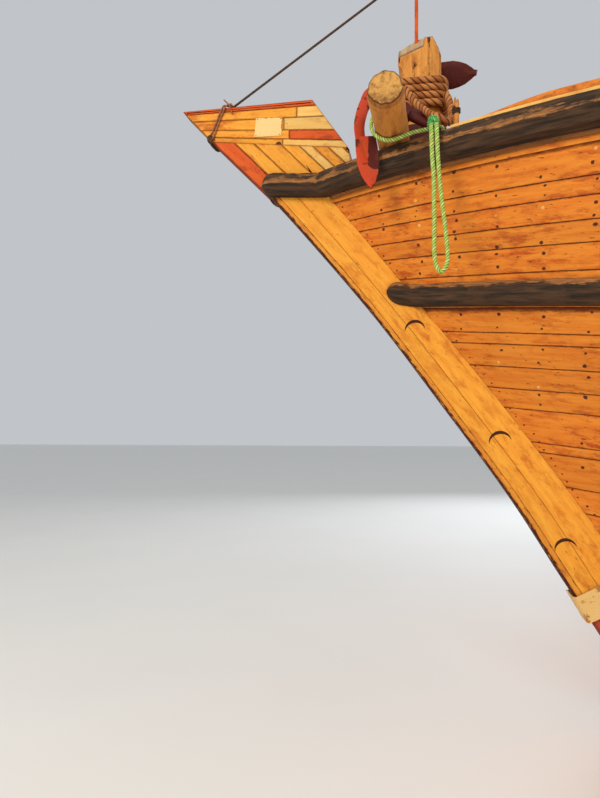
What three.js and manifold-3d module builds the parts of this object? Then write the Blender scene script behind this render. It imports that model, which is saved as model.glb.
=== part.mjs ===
// Wooden dhow, a motor-sailing cargo and fishing boat of the Gulf. Millimetres.
// +X runs to the bow, +Y to port, +Z up. The origin is on the waterline, amidships, on the centreline.

import * as THREE from 'three';
import { mergeVertices } from 'three/addons/utils/BufferGeometryUtils.js';
import Module from 'manifold-3d';

const wasm = await Module();
wasm.setup();

// Clearance between touching pieces, and between moving ones.
const GAP = 0.3;
const RUN = 6;

// Hull planking. Each row is one line of the skin from stern to stem: where it meets the stem rabbet,
// where it passes amidships, its half-breadth and height at the stern, how full it is towards the
// bow and the stern, and the slope at which it reaches each end.
const STEM_HALF = 110;
const MID_X = -1000;
const WAIST_X = -3000;
const ROWS = [
  // bowX, bowZ, midY, midZ, aftY, aftZ, fullBow, fullAft, slopeBow, slopeAft
  [4300, -1150, 110, -1150, 110, -1150, 1.0, 1.0, 0.0, 0.0],
  [5130, -560, 1500, -980, 110, -620, 1.15, 1.6, 0.14, 0.12],
  [5700, 290, 2350, -420, 110, 60, 1.35, 1.9, 0.18, 0.16],
  [6290, 1330, 2640, 640, 900, 1000, 1.6, 2.2, 0.15, 0.14],
  [7000, 2350, 2740, 1450, 1450, 1850, 1.9, 2.4, 0.14, 0.14],
  [7860, 3470, 2790, 2280, 1740, 2780, 2.2, 2.6, 0.17, 0.14],
  [8680, 4500, 2800, 3250, 1900, 3950, 2.6, 2.6, 0.075, 0.13],
];
const BOW_X = 0;
const BOW_Z = 1;
const MID_Y = 2;
const MID_Z = 3;
const AFT_Y = 4;
const AFT_Z = 5;
const FULL_BOW = 6;
const FULL_AFT = 7;
const SLOPE_BOW = 8;
const SLOPE_AFT = 9;

// The sternpost and the transom share one raked line.
const STERN_FOOT_X = -8520;
const STERN_RAKE = 0.28;

// Stem, head boards and keel. The leading edge runs from the tip down to the forefoot.
const KEEL_BOTTOM = -1450;
const KEEL_TOP = -1150;
const KEEL_FORE_X = 4300;
const STEM_EDGE = [
  [9700, 5010], [9240, 4560], [8700, 3940], [8180, 3300], [7700, 2645], [7070, 1760],
  [6640, 1070], [6405, 710], [5960, 0], [5420, -800], [4900, -1450],
];
const STEM_TIP = [10000, 5330];
const HEAD_TOP_AFT = [8760, 5290];
const HEAD_SEAM_AFT = [8430, 4820];
const NAME_BOARD = [[9299, 5009], [9041, 4995], [9031, 5161], [9282, 5180]];
const STEM_TOP_FORE = [8740, 4616];
const STEM_TOP_AFT = [8395, 4592];
const COLLAR_PROUD = 26;
const COLLAR_BACK = 18;
const COLLAR_TOP = [[6610, 990], [6100, 1260]];
const COLLAR_BOTTOM = [[6500, 800], [5960, 1080]];

// Deck, bulwark, rails and strakes.
const DECK_DROP = 850;
const DECK_THICK = 50;
const DECK_INSET = 60;
const WALL = 120;
const RAIL_UP = 100;
const RAIL_OUT = 115;
const RAIL_FORE_X = 9220;
const RAIL_FORE_Z = 4550;
const CAP_FORE_X = 7610;
const CAP_TAPER = 600;
const CAP_HIGH = 75;
const STRAKE_V = 0.837;
const STRAKE_HALF = 98;
const STRAKE_OUT = 85;
const STRAKE_FORE = [8100, 3535];
const BOOT_V = 0.492;
const BOOT_HALF = 95;
const BOOT_OUT = 22;

// Bow gear.
const LOG_X = 8018;
const LOG_R = 130;
const LOG_HALF = 1210;
const LOG_SADDLE = 8;
const PLATFORM_Z = 4300;
const PLATFORM_THICK = 80;
const PLATFORM_AFT = 6500;
const BITT_X = 7820;
const BITT_HALF = 178;
const BITT_TOP = 5716;
// The bitt's head is sawn in slopes: its ridge as [X, Z], and the two slopes on its port face.
const BITT_RIDGE = [
  [7500, 5303], [7642, 5533], [7745, 5716], [7857, 5690], [7998, 5603], [8100, 5530],
];
const BITT_RIDGE_Y = 60;
// How far the cutting shapes reach past the head.
const CUT_BEYOND = 120;
const CUT_OVER = 300;
const BITT_FORE_SLOPE = [[7780, 5570], [8050, 5483]];
const BITT_FORE_RISE = 150;
const BITT_AFT_SLOPE = [[7500, 5640], [7780, 5640]];
const BITT_AFT_RISE = 77;
const BITT_CORNER = [100, 58];
const ROPE_LOW = 5055;
const ROPE_HIGH = 5312;
const ROPE_THICK = 62;
const POLE_R = 16;
const STAFF_X = 7848;
const STAFF_Y = 85;
const STAFF_FOOT = 5600;
const POLE_TOP = 7150;
const STANCHION = [7530, 560, 22];
const STANCHION_TOP = 4900;
const LINE_R = 16;
const LASHING_Y = 768;
const HITCH_R = 42;
const HITCH_X = 7710;
const HITCH_Y = 800;

// Mast, yard and standing rigging.
const MAST_X = 1150;
const MAST_RAKE = 0.12;
const MAST_TOP = 10150;
const MAST_R = [175, 105];
const SLING_Z = 9000;
const PARREL_RUN = 2;
const YARD_FORE = 4500;
const YARD_AFT = 7600;
const YARD_ANGLE = 33;
const YARD_R = [92, 45];
const SAIL_R = 130;
const STAY_Z = 9840;
const STAY_FOOT = [9640, 5330];
const HOUND_Z = 8500;
const WIRE_R = 11;
const CHAIN_X = [1500, 600, -300];
const CHANNEL_WIDE = 130;
const CHANNEL_GAP = GAP;

// Hatch.
const HATCH_X = [-3300, -1200];
const HATCH_HALF = 800;
const COAMING = 60;
const COAMING_HIGH = 380;
const LID_THICK = 60;

// Wheelhouse.
const HOUSE_X = [-8100, -5600];
const HOUSE_HALF = 1250;
const HOUSE_WALL = 50;
const HOUSE_FLOOR = 3000;
const HOUSE_TOP = 4950;
const HOUSE_EAVE = 180;
const ROOF_THICK = 70;
const DOOR_WIDE = 680;
const DOOR_HIGH = 1720;
const DOOR_Y = -150;

// Helm.
const HELM_R = 400;
const HELM_X = -6300;
const HELM_Z = 3900;

// Rudder and propeller.
const POST_LONG = 190;
const POST_TOP = 4150;
const AXIS_AFT = 255;
const RUDDER_HALF = 58;
const RUDDER_LOW = -1400;
const PROP_X = -8130;
const PROP_Z = -640;
const PROP_R = 400;
const NOTCH = { fore: -7700, low: -1090, high: -190 };

// Maths of the hull skin.

function catmull(v, column) {
  const last = ROWS.length - 1;
  const at = Math.min(Math.max(v, 0), 1) * last;
  const k = Math.min(Math.floor(at), last - 1);
  const f = at - k;
  const pick = (i) => ROWS[Math.min(Math.max(i, 0), last)][column];
  const [a, b, c, d] = [pick(k - 1), pick(k), pick(k + 1), pick(k + 2)];
  const first = k === 0 ? 2 * b - c : a;
  const final = k === last - 1 ? 2 * c - b : d;
  const bend = 2 * first - 5 * b + 4 * c - final + f * (3 * (b - c) + final - first);
  return b + 0.5 * f * (c - first + f * bend);
}

function rise(from, to, slope, length, s) {
  const span = to - from;
  if (Math.abs(span) < 1) return from;
  const m = Math.min(Math.max((slope * length) / span, 0), 2.9);
  return from + span * s * s * (3 - m - (2 - m) * s);
}

function skin(t, v) {
  const col = (c) => catmull(v, c);
  const aftX = STERN_FOOT_X - STERN_RAKE * col(AFT_Z);
  const x = aftX + (col(BOW_X) - aftX) * t;
  const fore = x > MID_X;
  const reach = fore ? (x - MID_X) / (col(BOW_X) - MID_X) : (MID_X - x) / (MID_X - aftX);
  const endY = fore ? STEM_HALF : col(AFT_Y);
  const power = fore ? col(FULL_BOW) : col(FULL_AFT);
  const y = endY + (col(MID_Y) - endY) * (1 - Math.pow(Math.min(reach, 1), power));
  const ahead = x > WAIST_X;
  const length = ahead ? col(BOW_X) - WAIST_X : WAIST_X - aftX;
  const s = Math.min(Math.abs(x - WAIST_X) / length, 1);
  const [endZ, slope] = ahead ? [col(BOW_Z), col(SLOPE_BOW)] : [col(AFT_Z), col(SLOPE_AFT)];
  const z = rise(col(MID_Z), endZ, slope, length, s);
  return new THREE.Vector3(x, y, z);
}

function sheerZ(x) {
  const aftX = STERN_FOOT_X - STERN_RAKE * ROWS[6][AFT_Z];
  const t = (x - aftX) / (ROWS[6][BOW_X] - aftX);
  return skin(Math.min(Math.max(t, 0), 1), 1).z;
}

function deckZ(x) {
  return sheerZ(x) - DECK_DROP;
}

// The deck's top and the bulwark's top as the solids have them, straight between stations.
function alongStations(points, x) {
  const k = Math.min(Math.max(points.findIndex((p) => p.x >= x), 1), points.length - 1);
  const [a, b] = [points[k - 1], points[k]];
  return a.z + ((b.z - a.z) * (x - a.x)) / (b.x - a.x);
}

function rowAt(t, height) {
  let low = 0;
  let high = 1;
  for (let i = 0; i < 30; i += 1) {
    const v = (low + high) / 2;
    const p = skin(t, v);
    if (p.z < height(p.x)) low = v;
    else high = v;
  }
  return (low + high) / 2;
}

function pointAtX(v, x) {
  let low = 0;
  let high = 1;
  for (let i = 0; i < 30; i += 1) {
    const t = (low + high) / 2;
    if (skin(t, v).x < x) low = t;
    else high = t;
  }
  return skin((low + high) / 2, v);
}

// Stations along the hull, closer together towards the bow and the stern.
const STATIONS = 22;
const T = Array.from({ length: STATIONS + 1 }, (_, i) => {
  const u = i / STATIONS;
  return u + 0.09 * Math.sin(2 * Math.PI * (u - 0.5));
});

const deckLine = T.map((t) => {
  const foot = skin(t, rowAt(t, (x) => deckZ(x) - DECK_THICK));
  return { x: foot.x, z: deckZ(foot.x) };
});
const deckTop = (x) => alongStations(deckLine, x) + GAP;

// Solids.

function solidFrom(points, faces) {
  const g = new THREE.BufferGeometry();
  g.setAttribute('position', new THREE.Float32BufferAttribute(points.flatMap((p) => [p.x, p.y, p.z]), 3));
  g.setIndex(faces.flat());
  return outward(mergeVertices(g, 1e-3));
}

function volume(g) {
  const p = g.attributes.position;
  const [a, b, c] = [new THREE.Vector3(), new THREE.Vector3(), new THREE.Vector3()];
  let sum = 0;
  for (let i = 0; i < g.index.count; i += 3) {
    a.fromBufferAttribute(p, g.index.getX(i));
    b.fromBufferAttribute(p, g.index.getX(i + 1));
    c.fromBufferAttribute(p, g.index.getX(i + 2));
    sum += a.dot(b.cross(c));
  }
  return sum / 6;
}

function outward(g) {
  const kept = [];
  for (let i = 0; i < g.index.count; i += 3) {
    const [a, b, c] = [g.index.getX(i), g.index.getX(i + 1), g.index.getX(i + 2)];
    if (a !== b && b !== c && c !== a) kept.push(a, b, c);
  }
  g.setIndex(kept);
  if (volume(g) < 0) g.setIndex(kept.reverse());
  return g;
}

// A closed skin through rings of equal count, with its first and last ring capped. The second half
// of each ring has its diagonals the other way, so that a symmetric ring gives a symmetric solid.
function loft(rings) {
  const n = rings[0].length;
  const faces = [];
  for (let r = 0; r < rings.length - 1; r += 1) {
    for (let i = 0; i < n; i += 1) {
      const a = r * n + i;
      const b = r * n + ((i + 1) % n);
      if (i < n / 2) faces.push([a, b, b + n], [a, b + n, a + n]);
      else faces.push([a, b, a + n], [b, b + n, a + n]);
    }
  }
  const last = (rings.length - 1) * n;
  for (let i = 0; i < n / 2 - 1; i += 1) {
    const [a, b, c, d] = [i, i + 1, n - 2 - i, n - 1 - i];
    faces.push([a, c, b], [a, d, c]);
    faces.push([last + a, last + b, last + c], [last + a, last + c, last + d]);
  }
  return solidFrom(rings.flat(), faces);
}

function clean(g) {
  const bare = g.index ? g.toNonIndexed() : g.clone();
  bare.deleteAttribute('normal');
  bare.deleteAttribute('uv');
  return outward(mergeVertices(bare, 1e-3));
}

function toManifold(g) {
  const merged = clean(g);
  return new wasm.Manifold(new wasm.Mesh({
    numProp: 3,
    vertProperties: new Float32Array(merged.attributes.position.array),
    triVerts: new Uint32Array(merged.index.array),
  }));
}

function fromManifold(solid) {
  const m = solid.getMesh();
  const g = new THREE.BufferGeometry();
  g.setAttribute('position', new THREE.Float32BufferAttribute(m.vertProperties, 3));
  g.setIndex(Array.from(m.triVerts));
  return g;
}

function cut(base, ...tools) {
  return fromManifold(tools.reduce((s, tool) => s.subtract(toManifold(tool)), toManifold(base)));
}

function join(...pieces) {
  return fromManifold(pieces.slice(1).reduce((s, p) => s.add(toManifold(p)), toManifold(pieces[0])));
}

function box(low, high) {
  const g = new THREE.BoxGeometry(high[0] - low[0], high[1] - low[1], high[2] - low[2]);
  g.translate((low[0] + high[0]) / 2, (low[1] + high[1]) / 2, (low[2] + high[2]) / 2);
  return clean(g);
}

// A prism with its outline in the X-Z plane, from y = low to y = high.
function slab(outline, low, high) {
  const shape = new THREE.Shape(outline.map(([x, z]) => new THREE.Vector2(x, z)));
  const g = new THREE.ExtrudeGeometry(shape, { depth: high - low, bevelEnabled: false });
  g.rotateX(Math.PI / 2);
  g.translate(0, high, 0);
  return clean(g);
}

// A round bar between two points, tapered from one radius to the other.
function bar(from, to, r0, r1 = r0, sides = 8) {
  const a = new THREE.Vector3(...from);
  const b = new THREE.Vector3(...to);
  const g = new THREE.CylinderGeometry(r1, r0, a.distanceTo(b), sides);
  const way = b.clone().sub(a).normalize();
  const turn = new THREE.Quaternion().setFromUnitVectors(new THREE.Vector3(0, 1, 0), way);
  g.applyQuaternion(turn);
  g.translate((a.x + b.x) / 2, (a.y + b.y) / 2, (a.z + b.z) / 2);
  return clean(g);
}

function tube(points, r, steps, sides = 8) {
  const curve = new THREE.CatmullRomCurve3(points.map((p) => new THREE.Vector3(...p)));
  const ring = Array.from({ length: sides }, (_, i) => {
    const a = (2 * Math.PI * i) / sides;
    return new THREE.Vector2(r * Math.cos(a), r * Math.sin(a));
  });
  return clean(new THREE.ExtrudeGeometry(new THREE.Shape(ring), { steps, extrudePath: curve }));
}

function mirrored(g) {
  const m = g.clone();
  m.scale(1, -1, 1);
  return outward(m);
}

const dhow = new THREE.Group();
dhow.name = 'dhow';

function add(name, geometry, colour, roughness = 0.8, metalness = 0) {
  geometry.computeVertexNormals();
  const material = new THREE.MeshStandardMaterial({ color: colour, roughness, metalness });
  const mesh = new THREE.Mesh(geometry, material);
  mesh.name = name;
  dhow.add(mesh);
}

function addPair(name, geometry, colour, roughness) {
  add(`${name}_port`, geometry, colour, roughness);
  add(`${name}_starboard`, mirrored(geometry), colour, roughness);
}

const ORANGE = '#d98a3a';
const STEM_GOLD = '#e9a548';
const RED_PAINT = '#c8442a';
const DARK_WOOD = '#4a3a2c';
const CREAM = '#eed592';
const GREY_WOOD = '#9a8468';
const ROPE_BROWN = '#96552e';
const IRON = '#4b4a48';

// Hull: solid to the underside of the deck, with the propeller's aperture cut through.
const HULL_ROWS = 13;

// The rows of the hull from keel to deck, and those of the bulwark above, at one station.
function rowsAt(t) {
  const foot = rowAt(t, (x) => deckZ(x) - DECK_THICK);
  const below = Array.from({ length: HULL_ROWS }, (_, j) => skin(t, (foot * j) / (HULL_ROWS - 1)));
  const above = [foot, foot + (1 - foot) / 2, 1].map((v) => skin(t, v));
  return { below, above };
}

function hull() {
  const rings = T.map((t) => {
    const port = rowsAt(t).below;
    return [...port, ...port.map((p) => new THREE.Vector3(p.x, -p.y, p.z)).reverse()];
  });
  const aft = STERN_FOOT_X - 600;
  return cut(loft(rings), box([aft, -800, NOTCH.low], [NOTCH.fore, 800, NOTCH.high]));
}

add('hull', hull(), ORANGE);

function bulwark() {
  const rings = T.map((t) => {
    const rows = rowsAt(t).above;
    rows[0].z += GAP;
    const top = rows[2].clone();
    top.z += RAIL_UP;
    const outer = [...rows, top];
    const inner = outer.map((p) => new THREE.Vector3(p.x, Math.max(p.y - WALL, 2), p.z)).reverse();
    return [...outer, ...inner];
  });
  return loft(rings);
}

const bulwarkPort = bulwark();
const bulwarkStarboard = mirrored(bulwarkPort);
addPair('bulwark', bulwarkPort, ORANGE);

// Trims a deck to lie inside both bulwarks.
function between(solid) {
  const port = bulwarkPort.clone().translate(0, -2 * GAP, 0);
  return cut(solid, port, bulwarkStarboard.clone().translate(0, 2 * GAP, 0));
}

// A flat across the hull at each station, from one height to another.
function flat(line, inset) {
  const rings = line.map(({ p, low, high }) => {
    const half = p.y - inset;
    return [[half, low], [half, high], [-half, high], [-half, low]]
      .map(([y, z]) => new THREE.Vector3(p.x, y, z));
  });
  return loft(rings);
}

const deckRows = T.slice(1, -2).map((t) => {
  const [foot, middle] = rowsAt(t).above;
  const p = new THREE.Vector3(foot.x, Math.min(foot.y, middle.y), foot.z);
  return { p, low: foot.z + GAP, high: deckZ(foot.x) };
});
add('deck', between(flat(deckRows, DECK_INSET)), '#b98a58');

// The whole outer skin with the bulwarks, a little larger than the real one, to seat timbers on it.
function envelope(grow) {
  const rings = T.map((t) => {
    const { below, above } = rowsAt(t);
    const top = above[2].clone();
    top.z += 400;
    const port = [...below, above[1], above[2], top].map((p) => new THREE.Vector3(p.x, p.y + grow, p.z));
    return [...port, ...port.map((p) => new THREE.Vector3(p.x, -p.y, p.z)).reverse()];
  });
  return loft(rings);
}

const ENVELOPE = envelope(0.6);
const STEM_BLOCK = box([4000, -STEM_HALF - GAP, -2000], [10500, STEM_HALF + GAP, 6000]);
const SEAT = -45;
const ROUND_END = [0.97, 0.85, 0.55];
const END_STEPS = [0.35, 0.7, 0.85, 0.95, 1];

// A timber that follows row v of the skin, with its section given as [out, up] pairs. It may run on
// along the side of the stem to a rounded fore end.
function timber(v, section, fore) {
  const path = T.map((t) => skin(t, v));
  const steps = fore ? END_STEPS : [];
  const last = path.at(-1);
  const onStem = steps.map((s) => new THREE.Vector3(
    last.x + (fore[0] - last.x) * s, STEM_HALF, last.z + (fore[1] - last.z) * s));
  const whole = [...path, ...onStem];
  const rings = whole.map((p, i) => {
    const before = whole[Math.max(i - 1, 0)];
    const after = whole[Math.min(i + 1, whole.length - 1)];
    const along = after.clone().sub(before).setZ(0).normalize();
    const out = new THREE.Vector3(-along.y, along.x, 0);
    const size = ROUND_END[i - whole.length + ROUND_END.length] ?? 1;
    const shrink = fore ? size : 1;
    return section.map(([o, up]) => {
      const z = p.z + up * shrink;
      const base = i < path.length ? skin(T[i], rowAt(T[i], () => z)) : p.clone();
      base.z = z;
      return base.addScaledVector(out, o > 0 ? o * shrink : o);
    });
  });
  return cut(loft(rings), ENVELOPE, STEM_BLOCK);
}

const RAIL_SECTION = [
  [SEAT, -RAIL_UP], [RAIL_OUT * 0.55, -RAIL_UP], [RAIL_OUT, -10],
  [RAIL_OUT * 0.62, RAIL_UP], [SEAT, RAIL_UP], [SEAT, 0],
];
const railPort = timber(1, RAIL_SECTION, [RAIL_FORE_X, RAIL_FORE_Z]);
addPair('rail', railPort, DARK_WOOD, 0.95);

const STRAKE_SECTION = [
  [SEAT, -STRAKE_HALF], [STRAKE_OUT * 0.7, -STRAKE_HALF * 0.75], [STRAKE_OUT, 0],
  [STRAKE_OUT * 0.8, STRAKE_HALF * 0.7], [SEAT, STRAKE_HALF], [SEAT, 0],
];
addPair('strake', timber(STRAKE_V, STRAKE_SECTION, STRAKE_FORE), DARK_WOOD, 0.95);

const BOOT_SECTION = [[SEAT, -BOOT_HALF], [BOOT_OUT, -BOOT_HALF], [BOOT_OUT, BOOT_HALF], [SEAT, BOOT_HALF]];
addPair('boot_strip', timber(BOOT_V, BOOT_SECTION), CREAM);

// The cap lies on the bulwark and the rail, from abaft the bitt to the transom, and tapers to its fore end.
function cap() {
  const rings = T.map((t) => skin(t, 1)).filter((p) => p.x < CAP_FORE_X).map((p) => {
    const low = p.z + RAIL_UP + GAP;
    const high = low + CAP_HIGH * Math.min(Math.max((CAP_FORE_X - p.x) / CAP_TAPER, 0.15), 1);
    const inner = p.y - WALL - 25;
    const outer = p.y + RAIL_OUT * 0.35;
    return [[inner, low], [outer, low], [outer, high], [inner, high]]
      .map(([y, z]) => new THREE.Vector3(p.x, y, z));
  });
  return loft(rings);
}

addPair('cap', cap(), '#c8702e');

// Stem, with its after face on the rabbet, and the boards of the stem-head.
const bowRows = rowsAt(1);
const rabbet = [...bowRows.below, ...bowRows.above.slice(1)].map((p) => [p.x + GAP, p.z]);
const stemOutline = [
  ...STEM_EDGE, [KEEL_FORE_X + GAP, KEEL_BOTTOM], ...rabbet, STEM_TOP_FORE, STEM_TOP_AFT, HEAD_SEAM_AFT,
];
add('stem', slab(stemOutline, -STEM_HALF, STEM_HALF), STEM_GOLD);
const seamLift = 2 * GAP;
const headOutline = [
  STEM_TIP, HEAD_TOP_AFT,
  ...[HEAD_SEAM_AFT, STEM_EDGE[0]].map(([x, z]) => [x, z + seamLift]),
];
add('stem_head', slab(headOutline, -STEM_HALF + 15, STEM_HALF - 15), STEM_GOLD);
add('name_board', slab(NAME_BOARD, 95 + GAP, 103), CREAM);

function collar() {
  const band = [COLLAR_TOP[0], COLLAR_TOP[1], COLLAR_BOTTOM[1], COLLAR_BOTTOM[0]];
  const wide = STEM_HALF + COLLAR_PROUD;
  const grown = stemOutline.map(([x, z]) => [x + GAP, z]);
  const front = slab(grown, -STEM_HALF - GAP, STEM_HALF + GAP);
  const back = rabbet.map(([x, z]) => [x + COLLAR_BACK, z]);
  const behind = slab([...back, [0, 5000], [0, -2000]], -2 * wide, 2 * wide);
  return cut(slab(band, -wide, wide), front, behind);
}

add('stem_collar', collar(), CREAM);

// Transom and sternpost.
const sternX = (z) => STERN_FOOT_X - STERN_RAKE * z;
add('keel', slab([
  [sternX(KEEL_BOTTOM), KEEL_BOTTOM], [KEEL_FORE_X - GAP, KEEL_BOTTOM],
  [KEEL_FORE_X - GAP, KEEL_TOP - GAP], [sternX(KEEL_TOP), KEEL_TOP - GAP],
], -STEM_HALF, STEM_HALF), '#8c3a26');
const TRANSOM = 60;
const TRANSOM_LOW = 320;

function transom() {
  const low = rowAt(0, () => TRANSOM_LOW);
  const face = Array.from({ length: 9 }, (_, j) => skin(0, low + ((1 - low) * j) / 8));
  const top = face.at(-1).clone();
  top.z += RAIL_UP + CAP_HIGH;
  top.x -= STERN_RAKE * (RAIL_UP + CAP_HIGH);
  const port = [...face, top];
  const shift = (p, by, side) => new THREE.Vector3(p.x - by, side * p.y, p.z);
  const ring = (by) => [...port.map((p) => shift(p, by, 1)), ...port.map((p) => shift(p, by, -1)).reverse()];
  return loft([ring(GAP + TRANSOM), ring(GAP)]);
}

add('transom', transom(), '#c97a34');

function sternpost() {
  const back = TRANSOM + 2 * GAP;
  const step = TRANSOM_LOW - 20;
  const fore = [[KEEL_BOTTOM, GAP], [step, GAP], [step, back], [POST_TOP, back]];
  const outline = [
    ...fore.map(([z, off]) => [sternX(z) - off, z]),
    [sternX(POST_TOP) - POST_LONG, POST_TOP], [sternX(KEEL_BOTTOM) - POST_LONG, KEEL_BOTTOM],
  ];
  return slab(outline, -STEM_HALF, STEM_HALF);
}

add('sternpost', sternpost(), '#8c4a2a');

// Rudder on its raked axis, with pins in the irons of the sternpost.
const axisX = (z) => sternX(z) - AXIS_AFT;
const IRON_Z = [-900, 600, 2300];
const IRON_HIGH = 90;
const NOTCH_BELOW = 45;
const PIN_R = 22;

function rudder() {
  const outline = [
    [axisX(RUDDER_LOW), RUDDER_LOW], [axisX(3300), 3300], [axisX(3300) - 330, 3300],
    [axisX(1200) - 420, 1200], [axisX(500) - 820, 500], [axisX(-600) - 1150, -600],
    [axisX(RUDDER_LOW) - 1220, RUDDER_LOW],
  ];
  const corner = (z, ahead) => [axisX(z) + ahead, z + STERN_RAKE * ahead];
  const notches = IRON_Z.map((z) => {
    const [low, high] = [z - IRON_HIGH / 2 - NOTCH_BELOW, z + IRON_HIGH / 2 + 2 * GAP];
    return slab([corner(low, 200), corner(high, 200), corner(high, -95), corner(low, -95)], -200, 200);
  });
  const blade = toManifold(cut(slab(outline, -RUDDER_HALF, RUDDER_HALF), ...notches));
  const pinEnd = (z) => [axisX(z) - 4, 0, z];
  const pins = IRON_Z.map((z) => toManifold(bar(pinEnd(z - 130), pinEnd(z + 130), PIN_R)));
  return fromManifold(pins.reduce((s, p) => s.add(p), blade));
}

add('rudder', rudder(), '#7c3826');

function irons(z) {
  const reach = sternX(z) - POST_LONG;
  const [low, high] = [z - IRON_HIGH / 2, z + IRON_HIGH / 2];
  const eye = bar([axisX(low), 0, low], [axisX(high), 0, high], 56, 56, 12);
  const arm = box([axisX(z) + 20, -28, z - 35], [reach - GAP - STERN_RAKE * 35, 28, z + 35]);
  const hole = bar([axisX(z - 90) - 4, 0, z - 90], [axisX(z + 90) - 4, 0, z + 90], PIN_R + 5, PIN_R + 5, 12);
  return cut(join(eye, arm), hole);
}

IRON_Z.forEach((z, i) => add(`rudder_iron_${i + 1}`, irons(z), IRON, 0.6, 0.8));

// Propeller in its aperture.
function blade(turn) {
  const shape = [[-30, 60], [-60, 200], [-75, 310], [-20, PROP_R], [45, 360], [70, 230], [35, 60]];
  const g = slab(shape, -9, 9);
  g.rotateZ(0.95);
  g.rotateX(turn);
  return g;
}

function propeller() {
  const x = PROP_X;
  const hub = bar([x - 95, 0, 0], [x + 95, 0, 0], 52, 72, 12);
  const shaft = bar([x + 80, 0, 0], [NOTCH.fore - 130, 0, 0], 32, 32, 12);
  const blades = [0, 1, 2].map((i) => blade((i * 2 * Math.PI) / 3).translate(x, 0, 0));
  const whole = join(hub, shaft, ...blades);
  return whole.translate(0, 0, PROP_Z);
}

add('propeller', propeller(), '#b08a45', 0.4, 0.9);
const shaftBoss = bar([NOTCH.fore - 130 + GAP, 0, PROP_Z], [NOTCH.fore - GAP, 0, PROP_Z], 70, 92, 12);
add('shaft_boss', shaftBoss, IRON, 0.6, 0.7);

// Bow gear: the cross-beam log, the bitt with its rope, the staff and the stanchion.
const logZ = sheerZ(LOG_X) + RAIL_UP + LOG_R - LOG_SADDLE;
const bittBox = (grow, top) => box(
  [BITT_X - BITT_HALF - grow, -BITT_HALF - grow, PLATFORM_Z + GAP],
  [BITT_X + BITT_HALF + grow, BITT_HALF + grow, top]);

// A level platform between the bulwarks carries the bitt.
function platform() {
  const low = PLATFORM_Z - PLATFORM_THICK;
  const edge = T.map((t) => skin(t, rowAt(t, () => low)))
    .filter((p) => p.x > PLATFORM_AFT && p.y > WALL + 60);
  return between(flat(edge.map((p) => ({ p, low, high: PLATFORM_Z })), DECK_INSET));
}

add('platform', platform(), '#a8743c');

function crossLog() {
  const whole = bar([LOG_X, -LOG_HALF, logZ], [LOG_X, LOG_HALF, logZ], LOG_R, LOG_R, 14);
  const saddles = [bulwarkPort, bulwarkStarboard, railPort, mirrored(railPort)]
    .flatMap((g) => [GAP, -GAP].map((dy) => g.clone().translate(0, dy, 2 * GAP)));
  return cut(whole, bittBox(GAP, BITT_TOP + GAP), ...saddles);
}

add('cross_log', crossLog(), '#c47a3a');

// What a sloped saw cut takes off the head's port side, between two stations in X.
function sawCut(stations, rise) {
  const run = (BITT_HALF - BITT_RIDGE_Y) / rise;
  const [near, far, over] = [BITT_HALF + CUT_BEYOND, -BITT_HALF, BITT_TOP + CUT_OVER];
  return loft(stations.map(([x, z]) => [
    [near, z - CUT_BEYOND / run], [near, over], [far, over], [far, z + (2 * BITT_HALF) / run],
  ].map(([y, h]) => new THREE.Vector3(x, y, h))));
}

// The bitt leans no way; its after port arris is hewn off, and the staff stands in a hole in its head.
function bitt() {
  const [h, [cutX, cutY]] = [BITT_HALF, BITT_CORNER];
  const outline = [[h, h], [cutX - h, h], [-h, h - cutY], [-h, 0], [-h, -h], [h, -h]];
  const ring = (z) => outline.map(([x, y]) => new THREE.Vector3(BITT_X + x, y, z));
  const high = BITT_TOP + CUT_OVER;
  const ends = [BITT_RIDGE[BITT_RIDGE.length - 1][0], BITT_RIDGE[0][0]];
  return cut(
    loft([ring(PLATFORM_Z + GAP), ring(BITT_TOP)]),
    slab([...BITT_RIDGE, ...ends.map((x) => [x, high])], -BITT_HALF - CUT_BEYOND, BITT_HALF + CUT_BEYOND),
    sawCut(BITT_FORE_SLOPE, BITT_FORE_RISE),
    sawCut(BITT_AFT_SLOPE, BITT_AFT_RISE),
    bar([STAFF_X, STAFF_Y, STAFF_FOOT], [STAFF_X, STAFF_Y, high], POLE_R + GAP));
}

add('bitt', bitt(), GREY_WOOD);

function squareRing(inner, thick, low, high) {
  return cut(
    box([BITT_X - inner - thick, -inner - thick, low], [BITT_X + inner + thick, inner + thick, high]),
    box([BITT_X - inner, -inner, low - 10], [BITT_X + inner, inner, high + 10]),
  );
}

add('bitt_rope', squareRing(BITT_HALF + GAP, ROPE_THICK, ROPE_LOW, ROPE_HIGH), ROPE_BROWN);
add('staff', bar([STAFF_X, STAFF_Y, STAFF_FOOT + GAP], [STAFF_X, STAFF_Y, POLE_TOP], POLE_R), '#a0622e');
add('stanchion', bar(
  [STANCHION[0], STANCHION[1], PLATFORM_Z + GAP], [STANCHION[0], STANCHION[1], STANCHION_TOP],
  STANCHION[2]), GREY_WOOD);

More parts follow.
